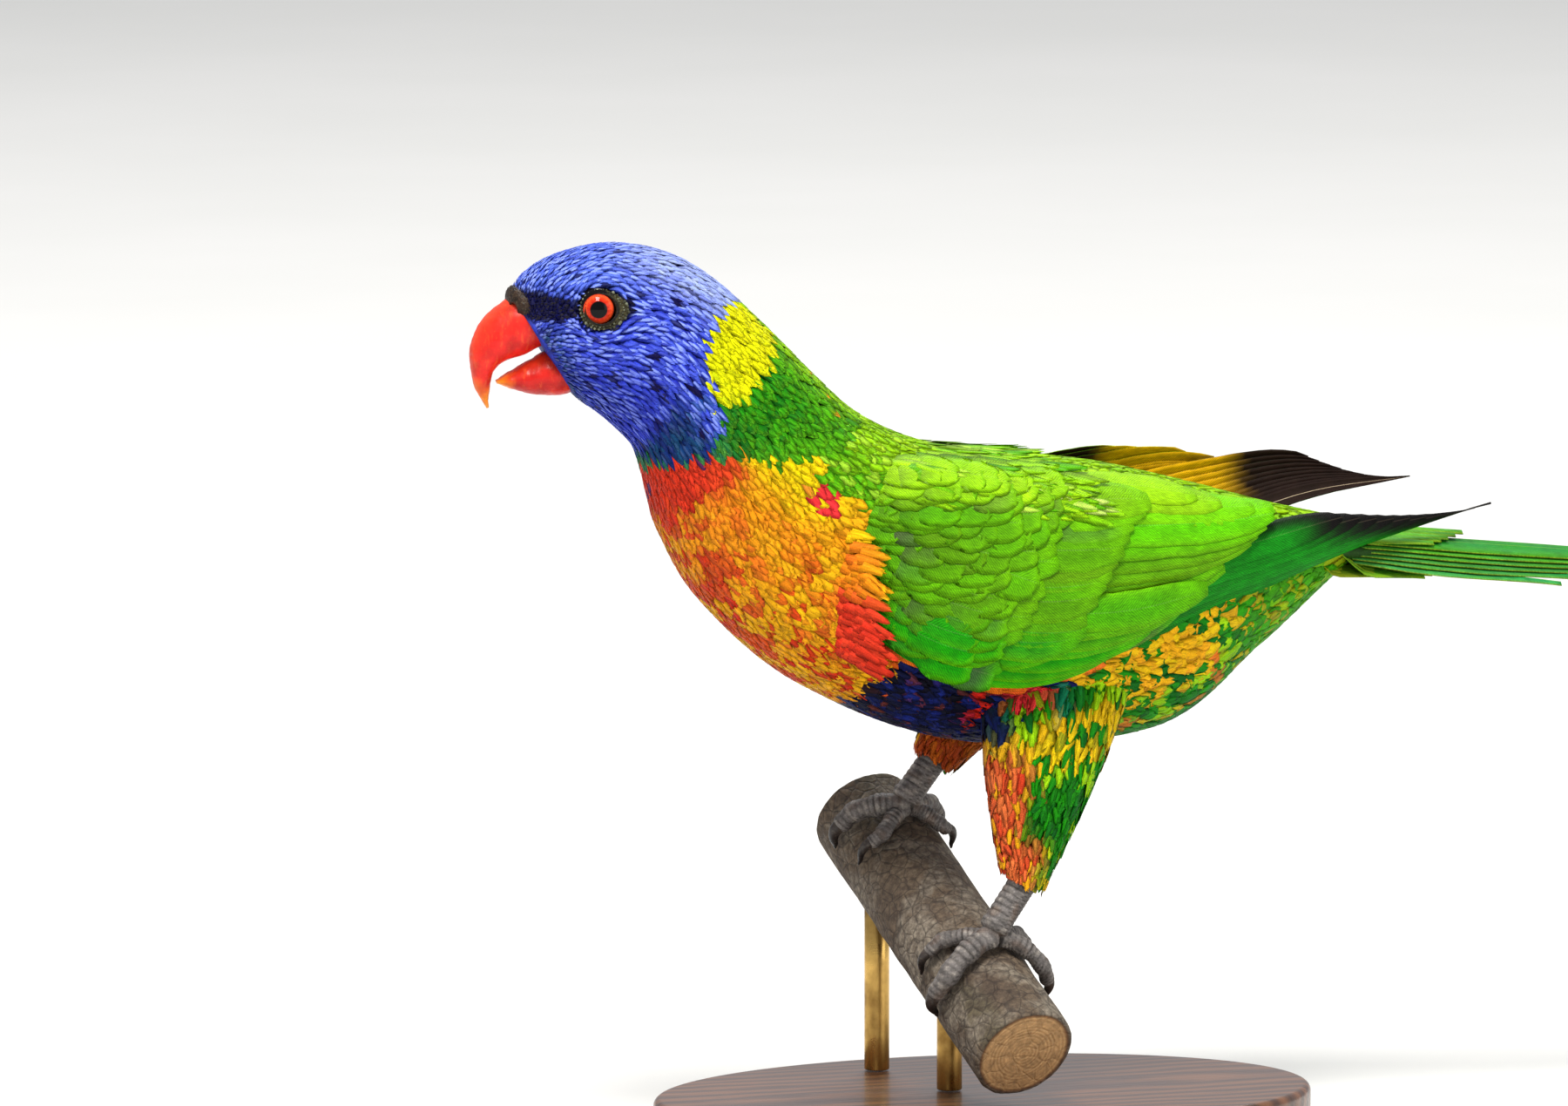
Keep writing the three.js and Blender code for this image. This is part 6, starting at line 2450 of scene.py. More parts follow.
@dataclass
class SideSilk:
    """The breast's silk that laps over the front edge of a wing."""

    side: Side
    gap: float = 1.15
    length: float = 10.0
    width: float = 2.3
    cut: Cut = SILK_CUT

    def build(self) -> bpy.types.Object:
        """Make the piece.

        Feathers are rooted inside the breast in front of the wing and lie along its sheet to
        the border line, higher than the small coverts there.

        Returns:
            The piece.
        """
        sheet = WingSheet(self.side)
        draw = np.random.default_rng(SEED + 55 + self.side.value)

        def spacing(x: Array, angle: Array) -> Array:
            """Even over a belt in front of the border."""
            degrees = np.degrees(angle)
            back = breast_border(degrees)
            inside = (degrees > -40) & (degrees < 26) & (x > back - 17) & (x < back - 6.5)
            return np.where(inside, self.gap, np.inf)

        u, v = scattered(sheet, (-62.0, -34.0), (-0.75, 0.9), spacing, draw, 110)
        chance = draw.uniform(size=(len(u), 5))
        degrees = np.degrees(v)
        cloud = ripple(np.stack([u, degrees * 0.5, 0 * u], -1), 7.0, 56) + 0.5 * (chance[:, 0] - 0.5)
        middle = blend(Hue.amber, Hue.orange, np.clip(0.5 + 0.6 * cloud, 0, 1))
        middle = blend(middle, linear(255, 214, 4), 0.8 * smoothstep(degrees, 2, 20))
        left = np.interp(degrees + 4 * cloud, (-34, -20, -8, 0), (-47, -42, -37, -34.5))
        left = left + 5 * (chance[:, 3] - 0.5)
        red = smoothstep(degrees + 5 * cloud, 0, -14) * smoothstep(u + 8, left - 1.5, left + 1.5)
        red = np.clip(red + 0.4 * smoothstep(cloud, 0.4, 0.8), 0, 1)
        middle = blend(middle, blend(Hue.scarlet, Hue.red, 0.6 * chance[:, 2]), red)
        tip = blend(middle, Hue.yellow, 0.8 * (1 - red))
        size = draw.uniform(0.85, 1.1, len(u))
        height = np.interp(u, (-60, -48, -38), (-3.0, 0.2, 2.2)) + 0.7
        height = height - 2.0 * smoothstep(degrees, 34, 50)
        plumes = Plumes(
            u, v, self.length * size, self.width * size, draw.normal(-0.05, 0.1, len(u)), height - 3.4,
            height + draw.uniform(-0.15, 0.1, len(u)), draw.uniform(-0.05, 0.05, len(u)),
            blend(middle, Hue.red, 0.3), middle, tip, middle, np.zeros(len(u)), np.full(len(u), 0.22),
        )
        web = feather_web(sheet, plumes, self.cut, Wing.unwrap, None, 57 + self.side.value)
        finish = FeatherFinish(
            f"feather_side_{self.side.word}", (1.0, 0.5, 0.03), 0.1, 0.5, 0.6, 0.1, 0.28
        ).material()
        return settle(web.piece(f"feathers_side_{self.side.word}", finish), "body_feathers")


# Tail


@dataclass
class Tail:
    """The tail: twelve pointed feathers in pairs, and short ones over and under their roots."""

    pairs: int = 6
    root_x: float = 79.0
    root_y: float = 3.5
    tip_y: float = 2.7
    shorter: float = 11.5
    further: float = 1.8
    lower: float = 0.85
    width: float = 9.2

    def blades(
        self, root_x: Array, tip_x: Array, root_y: Array, tip_y: Array, width: float, sink: Array, out: Array,
        cut: Cut, colours: tuple[Array, Array, Array], draw: np.random.Generator,
    ) -> Web:
        """Web of feathers on the tail's plane.

        Middle lines are straight from root to tip, and a blade narrows to its end by a
        smoothstep from a third of its length.

        Args:
            root_x: x of each root.
            tip_x: x of each end.
            root_y: y of each root.
            tip_y: y of each end.
            width: Full width.
            sink: Height of each root over the plane.
            out: Height of each end.
            cut: The blade's shape.
            colours: Colours over, at the margins and under.
            draw: Random draws.

        Returns:
            The web.
        """
        count = len(root_x)
        t, q = np.linspace(0, 1, cut.rows), np.linspace(-1, 1, cut.columns)
        past = smoothstep(t, 0.35, 1.0)
        taper = lerp(1.0, cut.end, past) * lerp(cut.root, 1.0, smoothstep(t / cut.wide_by))
        notch = 1 + cut.ragged * draw.uniform(-1, 0.3, (count, len(t), 1))
        across = width / 2 * taper[None, :, None] * q * notch
        x = np.broadcast_to(lerp(root_x[:, None], tip_x[:, None], t[None])[..., None], across.shape)
        y = lerp(root_y[:, None], tip_y[:, None], t[None])[..., None] + across
        lift = lerp(sink[:, None], out[:, None], smoothstep(t / cut.risen_by)[None])[..., None]
        lift = lift + 0.35 * (1 - q**2) + 0.14 * np.exp(-((q / 0.12) ** 2))
        lift = lift + draw.uniform(-0.04, 0.04, (count, 1, 1))
        plane = TailPlane()
        top, under = plane.point(x, y, lift), plane.point(x, y, lift - cut.thick)
        over, margin, below = colours
        jitter = draw.uniform(0.85, 1.15, (count, 1, 1, 1))
        edge = np.broadcast_to(np.abs(q)[None, None, :] ** 2, across.shape)
        streak = 0.5 + 0.5 * ripple(np.stack([y * 1.6, x * 0.12], -1), 2.0, 5)
        tint = blend(over[:, None, None], margin[:, None, None], 0.7 * edge) * jitter
        tint = blend(tint, np.broadcast_to(Hue.teal, tint.shape), 0.35 * streak)
        shade = np.broadcast_to(below[:, None, None], tint.shape)
        along = t[None, :, None] * (tip_x - root_x)[:, None, None] + draw.uniform(0, 40, (count, 1, 1))
        vane = np.stack([across, np.broadcast_to(along, across.shape)], axis=-1)
        root = ((root_x - 74) / 10, (root_y + 12) / 24)
        return blade_web(
            top, under, with_alpha(tint, 0.5), with_alpha(shade, 0.5),
            vane, bake_pairs(*root, t, q), cut.walled,
        ).outward()

    def build(self) -> bpy.types.Object:
        """Make the tail's piece."""
        draw = np.random.default_rng(SEED + 30)
        number = np.repeat(np.arange(self.pairs), 2).astype(float)
        side = np.tile([-1.0, 1.0], self.pairs)
        ones = np.ones((len(number), 1))
        cut = Cut(rows=30, columns=7, root=0.7, wide_by=0.3, end=0.12, thick=0.3, ragged=0.03, walled=True)
        over = blend(ones * Hue.green, ones * linear(30, 150, 80), number / 6)
        webs = [
            self.blades(
                np.full(12, self.root_x), TailPlane.tip_x - self.shorter * number, side * self.root_y,
                side * (self.tip_y + self.further * number), self.width,
                -self.lower * number, -self.lower * number,
                cut, (over, blend(over, Hue.lime, 0.3), ones * linear(150, 160, 30)), draw,
            )
        ]
        short = Cut(rows=10, columns=5, root=0.6, wide_by=0.3, end=0.25, thick=0.24, risen_by=0.4,
                    ragged=0.06, walled=True)
        for count, root_x, tip_x, out, sink, colour in (
            (9, 72.0, 106.0, 1.5, 0.3, Hue.leaf),
            (11, 64.0, 92.0, 2.3, 1.2, Hue.lime),
            (9, 74.0, 104.0, -5.6, -1.2, Hue.leaf),
            (9, 68.0, 94.0, -6.0, -1.4, linear(150, 190, 10)),
        ):
            place = np.linspace(-1, 1, count)
            every = np.ones((count, 1))
            body = every * colour * draw.uniform(0.8, 1.15, (count, 1))
            webs.append(
                self.blades(
                    np.full(count, root_x), tip_x - 9 * np.abs(place), 5.2 * place, 6.4 * place, 6.5,
                    sink - 0.5 * np.abs(place), out - 0.7 * np.abs(place), short,
                    (body, blend(body, Hue.yellow, 0.4), body * 0.5), draw,
                )
            )
        finish = FeatherFinish("feather_tail", (0.2, 0.36, 0.05), 0.2, 0.8, 1.2, 0.3, 0.25).material()
        return settle(Web.joined(webs).piece("tail_feathers", finish), "tail_feathers", "tail")


# The face


BILL_UPPER = (
    Station((-99.9, 177.6), (-90.6, 167.6), 5.4),
    Station((-102.9, 176.4), (-94.6, 167.0), 5.9),
    Station((-107.1, 172.9), (-98.9, 165.1), 5.5),
    Station((-109.5, 168.9), (-102.8, 163.8), 4.6),
    Station((-110.2, 164.6), (-105.1, 162.0), 3.6),
    Station((-109.5, 159.6), (-105.8, 159.2), 2.3),
    Station((-108.0, 156.3), (-106.2, 156.3), 1.2),
    Station((-106.7, 154.2), (-106.2, 154.4), 0.4),
)
BILL_LOWER = (
    Station((-90.6, 166.0), (-87.6, 158.4), 4.9),
    Station((-94.2, 165.9), (-89.9, 156.9), 5.3),
    Station((-97.3, 164.3), (-94.1, 156.6), 4.9),
    Station((-100.4, 162.6), (-98.6, 157.2), 4.0),
    Station((-103.1, 161.0), (-102.2, 158.3), 2.8),
    Station((-104.8, 160.0), (-104.5, 159.2), 1.2),
)


@dataclass
class Bill:
    """The bill's two halves, hooked over one another."""

    rows: int = 120
    around: int = 80

    def half(
        self, stations: tuple[Station, ...], name: str, node: str, finish: bpy.types.Material
    ) -> bpy.types.Object:
        """One half of the bill.

        Rings run at even stations and drift in by up to 0.12 mm as low ripples of growth. The
        colour goes from orange flecks at the root through red to an orange-yellow tip, with a painted
        highlight along the top line and painted shade over the whole lower half.

        Args:
            stations: The half's sections.
            name: The piece's name.
            node: The node that it replaces.
            finish: Its material.

        Returns:
            The piece.
        """
        loft = Loft(stations, 2.0, turns=False)
        s, a = ring_grid(np.linspace(0, len(stations) - 1, self.rows), self.around)
        share = s / (len(stations) - 1)
        place = loft.straight(s, a, 0.0)
        growth = 0.05 * np.sin(26 * share + 1.2 * ripple(place, 5.0, 3)) + 0.05 * ripple(place, 1.6, 4)
        rings = loft.point(s, a, -0.06 + growth)
        cloud = ripple(place, 3.0, 8)
        colour = blend(linear(214, 18, 14), linear(238, 40, 30), 0.5 + 0.5 * cloud)
        root = smoothstep(share, 0.24, 0.0)
        colour = blend(colour, linear(150, 30, 12), 0.75 * root)
        # painted shade: the lower half is darker all over, as the underside of the bill
        if node == "bill_lower":
            colour = colour * np.array([0.72, 0.55, 0.5])
        tip = smoothstep(share + 0.05 * cloud, 0.66, 0.9)
        colour = blend(colour, linear(255, 146, 30), tip)
        colour = blend(colour, linear(255, 190, 90), 0.6 * smoothstep(share, 0.9, 1.0))
        # painted highlight: lighter orange along the top line of each half
        ridge = (1 + np.cos(a)) / 2
        colour = blend(colour, linear(250, 96, 40), 0.35 * ridge**6)
        tint = with_alpha(colour)
        return settle(tube_web(rings, tint).piece(name, finish), "bill_horn", node)

    def build(self) -> list[bpy.types.Object]:
        """Make both halves."""
        finish = HornFinish("bill_horn_red", (0.9, 0.16, 0.03), 0.35, 0.22, 0.4).material()
        return [
            self.half(BILL_UPPER, "bill_upper_horn", "bill_upper", finish),
            self.half(BILL_LOWER, "bill_lower_horn", "bill_lower", finish),
        ]


@dataclass
class Cere:
    """The bare swelling over the bill, with a nostril on each side."""

    x: float = -99.0
    z: float = 175.2
    halves: tuple[float, float, float] = (3.0, 6.4, 4.7)
    lean: float = -0.62
    nostril: tuple[float, float, float] = (-101.7, 3.9, 175.1)
    nostril_radius: float = 0.95

    def build(self) -> bpy.types.Object:
        """Make the piece.

        An ellipsoid leaned back about its width. Each nostril is a dent of depth
        1.1 exp(-(d/r)^4), with a rim of 0.25 exp(-((d - 1.45 r)/0.35)^2) round it, by the
        distance d from its middle.

        Returns:
            The piece.
        """
        lean = np.pi * (np.arange(90) + 0.5) / 90
        spin = circle(120)
        high, out = np.cos(lean)[:, None], np.sin(lean)[:, None]
        n = np.stack(np.broadcast_arrays(out * np.cos(spin), high, out * np.sin(spin)), axis=-1)
        p = n * np.array(self.halves)
        c, s = math.cos(self.lean), math.sin(self.lean)
        p = np.stack([p[..., 0] * c + p[..., 2] * s, p[..., 1], p[..., 2] * c - p[..., 0] * s], axis=-1)
        p = p + np.array([self.x, 0, self.z])
        hole = np.array(self.nostril)
        away = np.linalg.norm(np.stack([p[..., 0], np.abs(p[..., 1]), p[..., 2]], -1) - hole, axis=-1)
        dent = np.exp(-((away / self.nostril_radius) ** 4))
        rim = np.exp(-(((away - 1.45 * self.nostril_radius) / 0.35) ** 2))
        wart = 0.08 * ripple(p, 0.9, 12)
        way = unit(p - np.array([self.x, 0, self.z]))
        p = p + way * (-1.1 * dent + 0.22 * rim + wart)[..., None]
        colour = blend(linear(20, 14, 12), linear(66, 48, 34), 0.5 + 0.5 * ripple(p, 1.4, 6))
        speck = smoothstep(ripple(p, 0.7, 31), 0.5, 0.8)
        colour = blend(colour, linear(140, 124, 96), 0.3 * speck)
        colour = blend(colour, linear(92, 20, 14), 0.9 * dent)
        tint = with_alpha(colour)
        finish = SkinFinish("cere_skin", 2600.0, 0.00008, 0.46, 0.3).material()
        return settle(tube_web(turned(p), tint).piece("cere_skin", finish), "bare_skin", "cere")


@dataclass
class Eye:
    """One eye: a ball with an iris and pupil, the bare ring round it and the ring's beads."""

    side: Side
    radius: float = 4.6
    iris: float = 3.05
    pupil: float = 1.75
    lip: float = 3.05
    beads: int = 34
    cast: float = 7.0

    def ball(self) -> bpy.types.Object:
        """The ball, coloured by the angle from its axis."""
        low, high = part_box(f"eye_{self.side.word}")
        centre = np.array((low + high) / 2) / MM + np.array([1.7, 0.0, 0.85])
        heading = HEAD_TURN - self.side.value * -math.radians(self.cast)
        axis = self.side.value * np.array([-math.sin(heading), math.cos(heading), 0.0])
        first = np.array([math.cos(heading), math.sin(heading), 0.0])
        second = np.cross(axis, first)
        lean = np.pi * (np.arange(96) + 0.25) / 96.5
        spin = circle(96)
        ring = np.sin(lean)[:, None, None] * (
            np.cos(spin)[None, :, None] * first + np.sin(spin)[None, :, None] * second
        )
        far = self.radius * np.sin(lean)
        dome = self.radius + 0.25 * smoothstep(far, self.iris * 1.1, 0.0) * (lean < 1.5)
        rings = centre + dome[:, None, None] * (ring + np.cos(lean)[:, None, None] * axis)
        away = np.where(lean < 1.5, far, 99.0)[:, None] * np.ones(96)
        swirl = 0.12 * np.sin(13 * spin + 1.0) + 0.1 * np.sin(29 * spin)
        orange = blend(linear(196, 34, 14), linear(238, 72, 34), smoothstep(away, self.pupil, self.iris))
        orange = blend(orange, linear(250, 120, 60), 0.6 * np.clip(swirl, 0, 1) * np.ones_like(away))
        rim = smoothstep(np.abs(away - self.iris + 0.35), 0.3, 0.0)
        orange = blend(orange, linear(250, 92, 44), 0.6 * rim)
        colour = blend(orange, linear(6, 5, 6), smoothstep(away, self.pupil + 0.06, self.pupil - 0.06))
        colour = blend(colour, linear(14, 10, 10), smoothstep(away, self.iris - 0.12, self.iris + 0.12))
        tint = with_alpha(colour)
        finish = EyeFinish(f"eye_gloss_{self.side.word}").material()
        made = tube_web(rings, tint).piece(f"eyeball_{self.side.word}", finish)
        return settle(made, "eye", f"eye_{self.side.word}")

    def ring_place(self, share: Array, angle: Array) -> tuple[Array, Array]:
        """Side-view places from the lid's lip to the ring's outer edge.

        Args:
            share: 0 at the lip and 1 at the outer edge.
            angle: Angle from the rear, upwards.

        Returns:
            x and z.
        """
        c, s = np.cos(angle), np.sin(angle)
        long = np.where(c > 0, RING_REAR, RING_FRONT)
        pinch = 1 - 0.3 * np.clip(c, 0, 1) ** 3
        dx = lerp(self.lip * c, long * c, share)
        dz = lerp(self.lip * 0.94 * s, RING_HIGH * s * pinch, share)
        return EYE_X + dx, EYE_Z + dz

    def lid(self) -> bpy.types.Object:
        """The bare ring and the lid's lip, a band that rises from under the skin to the ball.

        Height over the head's outline is a rise to the lip by a smoothstep, with low folds that
        run round, and the band closes underneath.

        Returns:
            The piece.
        """
        around = 144
        share, angle = ring_grid(np.linspace(1.12, 0.0, 26), around)
        x, z = self.ring_place(share, angle)
        u, v = BODY_SURFACE.locate(x, z, self.side, (2.6, 1.15))
        rise = lerp(-0.9, 0.15, smoothstep(share, 1.12, 0.85))
        rise = rise + 0.75 * smoothstep(share, 0.55, 0.0)
        flat = np.stack([x, z], -1)
        folds = 0.08 * np.sin(19 * share + 2 * ripple(flat, 4.0, 5)) * smoothstep(share, 1.0, 0.8)
        warts = 0.1 * ripple(flat, 0.8, 9)
        top = BODY_SURFACE.point(u, v, rise + folds + warts)
        lip = BODY_SURFACE.point(u[-1:], v[-1:], rise[-1:] - 0.7)
        under = BODY_SURFACE.point(u[::-5], v[::-5], rise[::-5] - 1.9)
        rings = np.concatenate([top, lip, under[1:]], axis=0)
        closed = np.concatenate([rings, rings[:1]], axis=0)
        tone = ripple(rings, 1.2, 14)
        colour = blend(linear(22, 20, 12), linear(74, 68, 36), 0.5 + 0.5 * tone)
        edge = np.zeros(rings.shape[:2])
        edge[20:26] = 1.0
        colour = blend(colour, linear(14, 12, 12), 0.8 * edge)
        tint = with_alpha(colour)
        closed_tint = np.concatenate([tint, tint[:1]], axis=0)
        web = tube_web(closed, closed_tint, (False, False))
        last = np.arange(around) + around * (len(closed) - 1)
        web.quads = np.where(np.isin(web.quads, last), web.quads - last[0], web.quads)
        web.points = web.points[: last[0]]
        web.tint = web.tint[: last[0]]
        finish = SkinFinish(f"lid_skin_{self.side.word}", 2400.0, 0.00008, 0.42, 0.25).material()
        made = web.piece(f"eye_ring_{self.side.word}", finish)
        return settle(made, "bare_skin")

    def pearls(self) -> bpy.types.Object:
        """Two rows of small bare scales round the ring, like beads."""
        draw = np.random.default_rng(SEED + 90 + self.side.value)
        angle = np.tile(circle(self.beads), 2) + draw.normal(0, 0.03, 2 * self.beads)
        share = np.repeat([0.88, 0.5], self.beads) + draw.normal(0, 0.04, len(angle))
        x, z = self.ring_place(share, angle)
        u, v = BODY_SURFACE.locate(x, z, self.side, (2.6, 1.15))
        rise = 0.12 + 0.75 * smoothstep(share, 0.55, 0.0)
        centres = BODY_SURFACE.point(u, v, rise)
        radii = draw.uniform(0.2, 0.34, len(angle)) * np.where(share > 0.7, 1.0, 0.75)
        colours = blend(linear(52, 52, 34), linear(142, 146, 122), draw.uniform(size=len(angle)) ** 1.5)
        tint = with_alpha(colours)
        finish = SkinFinish(f"pearl_skin_{self.side.word}", 3000.0, 0.00004, 0.35, 0.15).material()
        made = bead_web(centres, radii, tint, (7, 10)).piece(f"eye_pearls_{self.side.word}", finish)
        return settle(made, "bare_skin")

    def build(self) -> list[bpy.types.Object]:
        """Make the ball, the ring and the beads."""
        return [self.ball(), self.lid(), self.pearls()]


# Feet, claws, branch and stand


@dataclass(frozen=True)
class Toe:
    """One toe: its name, the angle it reaches, its drift outwards and its radius."""

    name: str
    angle: float
    drift: float
    radius: float


TOES = (
    Toe("inner_front", 62, 5.2, 1.95),
    Toe("outer_front", 80, -4.2, 2.6),
    Toe("inner_rear", -50, 4.2, 1.85),
    Toe("outer_rear", -70, -4.8, 2.05),
)
GRIP_GAP = 0.3
TARSUS_RADIUS = 3.0
FOOT_GREY = linear(128, 122, 118)


@dataclass
class Foot:
    """One foot: the tarsus, four toes that clasp the branch, and their claws."""

    leg: Leg
    rows: int = 46
    around: int = 28

    def toe_line(self, toe: Toe, share: Array) -> tuple[Array, Array, Array]:
        """Distance along the branch, angle and radius of a toe at shares of its length."""
        end = toe.angle * self.leg.reach
        start = math.copysign(4.0, end)
        angle = np.radians(lerp(start, end, share))
        along = self.leg.start - self.leg.side.value * toe.drift * np.minimum(1, 1.4 * share)
        return along, angle, toe.radius * (1 - 0.22 * share)

    def swept(self, centres: Array, radii: Array, up: Array) -> Array:
        """Rings about a centre line, with the first point of each towards up.

        Args:
            centres: Places along the line.
            radii: Radius as ring by point.
            up: A direction for each ring.

        Returns:
            The rings.
        """
        ahead = unit(np.gradient(centres, axis=0))
        side = unit(np.cross(ahead, up))
        top = np.cross(side, ahead)
        spin = circle(self.around)
        way = np.cos(spin)[None, :, None] * top[:, None] + np.sin(spin)[None, :, None] * side[:, None]
        return centres[:, None] + way * radii[..., None]

    def scaled(self, share: Array, spin: Array, scutes: float, high: float) -> tuple[Array, Array]:
        """Relief of the scutes over the top and of small scales at the sides.

        Each scute is |sin| raised to 0.6 along the toe, faded towards the underside, where
        crossed sines make pads.

        Args:
            share: Shares along.
            spin: Angles round from the top.
            scutes: Scutes along the whole length.
            high: Height in millimetres.

        Returns:
            Relief, and its depth from 0 to 1 for the colour.
        """
        rings = np.abs(np.sin(np.pi * scutes * share))[:, None] ** 0.6
        over = smoothstep(np.cos(spin), -0.1, 0.5)[None, :]
        net = np.abs(np.sin(np.pi * scutes * 1.7 * share[:, None] + 3 * spin[None, :]))
        net = net * np.abs(np.sin(np.pi * scutes * 1.7 * share[:, None] - 3 * spin[None, :]))
        relief = over * rings + (1 - over) * np.sqrt(net)
        return high * (relief - 0.6), relief

    def tinted(self, relief: Array, place: Array) -> Array:
        """Grey scales with dark seams, pale patches painted as highlights on the raised scales, and brown
        patches.
        """
        colour = blend(linear(38, 33, 30), FOOT_GREY, relief)
        # painted highlight: pale patches on the raised parts of the scales
        scale_highlight = 0.55 * smoothstep(ripple(place, 2.0, 7), 0.0, 0.8) * relief
        colour = blend(colour, linear(186, 176, 164), scale_highlight)
        colour = blend(colour, linear(104, 78, 58), 0.4 * smoothstep(ripple(place, 3.4, 8), 0.2, 0.8))
        return with_alpha(colour)

    def toe_web(self, toe: Toe) -> Web:
        """Web of one toe, rounded at both ends by the square root of 1 - share^2."""
        share = np.linspace(-0.06, 1.05, self.rows)
        along, angle, radius = self.toe_line(toe, np.clip(share, 0, 1))
        angle = angle + np.radians(toe.angle * self.leg.reach) * (share - np.clip(share, 0, 1))
        centres = PERCH.around(along, angle, PERCH.radius + GRIP_GAP + radius)
        knuckle = 1 + 0.07 * np.cos(TAU * 3 * share) - 0.03
        end = rounded((share - 0.9) / 0.155)
        root = rounded((0.04 - share) / 0.105)
        relief, depth = self.scaled(share, circle(self.around), 13, 0.2)
        radii = (radius * knuckle * end * root)[:, None] * (1 + relief / toe.radius)
        up = unit(centres - (PERCH.near + (np.asarray(along)[:, None]) * PERCH.along))
        rings = self.swept(centres, radii, up)
        return tube_web(rings, self.tinted(depth, rings))

    def tarsus_web(self) -> Web:
        """Web of the tarsus, from inside the cuff to the ball of the foot."""
        leg = self.leg
        front, rear = np.array(leg.ankle_front), np.array(leg.ankle_rear)
        ankle = (front + rear) / 2
        top = np.array([ankle[0], leg.side.value * FOOT_Y, ankle[1]])
        ball = PERCH.around(leg.start, math.radians(6), PERCH.radius + GRIP_GAP + TARSUS_RADIUS + 0.3)
        share = np.linspace(-0.2, 1.0, self.rows)
        centres = top + share[:, None] * (ball - top)
        swell = 1 + 0.12 * smoothstep(share, 0.6, 1.0)
        end = rounded((share - 0.86) / 0.15)
        relief, depth = self.scaled(share, circle(self.around), 8, 0.22)
        radii = (TARSUS_RADIUS * swell * end)[:, None] * (1 + relief / TARSUS_RADIUS) * 0.98
        up = np.tile([-1.0, 0.0, 0.2], (self.rows, 1))
        rings = self.swept(centres, radii, up)
        return tube_web(rings, self.tinted(depth, rings))

    def claw(self, toe: Toe, finish: bpy.types.Material) -> bpy.types.Object:
        """One claw: it goes on round the branch for 26 degrees and narrows to its point."""
        share = np.linspace(0.0, 1.0, 40)
        along, angle, _ = self.toe_line(toe, np.array(1.0))
        turn = math.copysign(math.radians(26), toe.angle)
        thick = lerp(0.62 * toe.radius, 0.22, share**1.3)
        lift = 0.9 * np.sin(np.pi * np.minimum(1, share + 0.25))
        angles = angle + turn * share
        distance = PERCH.radius + GRIP_GAP + thick + lift
        centres = PERCH.around(np.full(40, float(along)), angles, distance)
        up = unit(centres - (PERCH.near + float(along) * PERCH.along))
        cap = rounded((share - 0.93) / 0.075)
        spin = circle(self.around)
        flat = 1 - 0.12 * np.abs(np.sin(spin))[None, :]
        groove = 1 - 0.03 * smoothstep(np.cos(spin), -0.7, -1.0)[None, :]
        rings = self.swept(centres, (thick * cap)[:, None] * flat * groove, up)
        colour = blend(linear(58, 50, 46), linear(18, 16, 18), smoothstep(share, 0.0, 0.6))[:, None]
        colour = np.broadcast_to(colour, (*rings.shape[:2], 3))
        colour = blend(colour, linear(120, 108, 92), 0.25 * smoothstep(ripple(rings, 0.9, 22), 0.2, 0.8))
        tint = with_alpha(colour)
        word = self.leg.side.word
        made = tube_web(rings, tint).piece(f"claw_horn_{word}_{toe.name}", finish)
        return settle(made, "claw_horn", f"claw_{word}_{toe.name}")

    def build(self) -> list[bpy.types.Object]:
        """Make the foot and its four claws."""
        word = self.leg.side.word
        scale = SkinFinish(f"foot_scale_{word}", 2200.0, 0.00008, 0.55, 0.3).material()
        horn = HornFinish(f"claw_dark_{word}", (0.1, 0.09, 0.08), 0.3, 0.3, 0.36).material()
        webs = [self.tarsus_web().outward()] + [self.toe_web(toe).outward() for toe in TOES]
        made = [settle(Web.joined(webs).piece(f"foot_scales_{word}", scale), "foot_scales", f"foot_{word}")]
        return made + [self.claw(toe, horn) for toe in TOES]


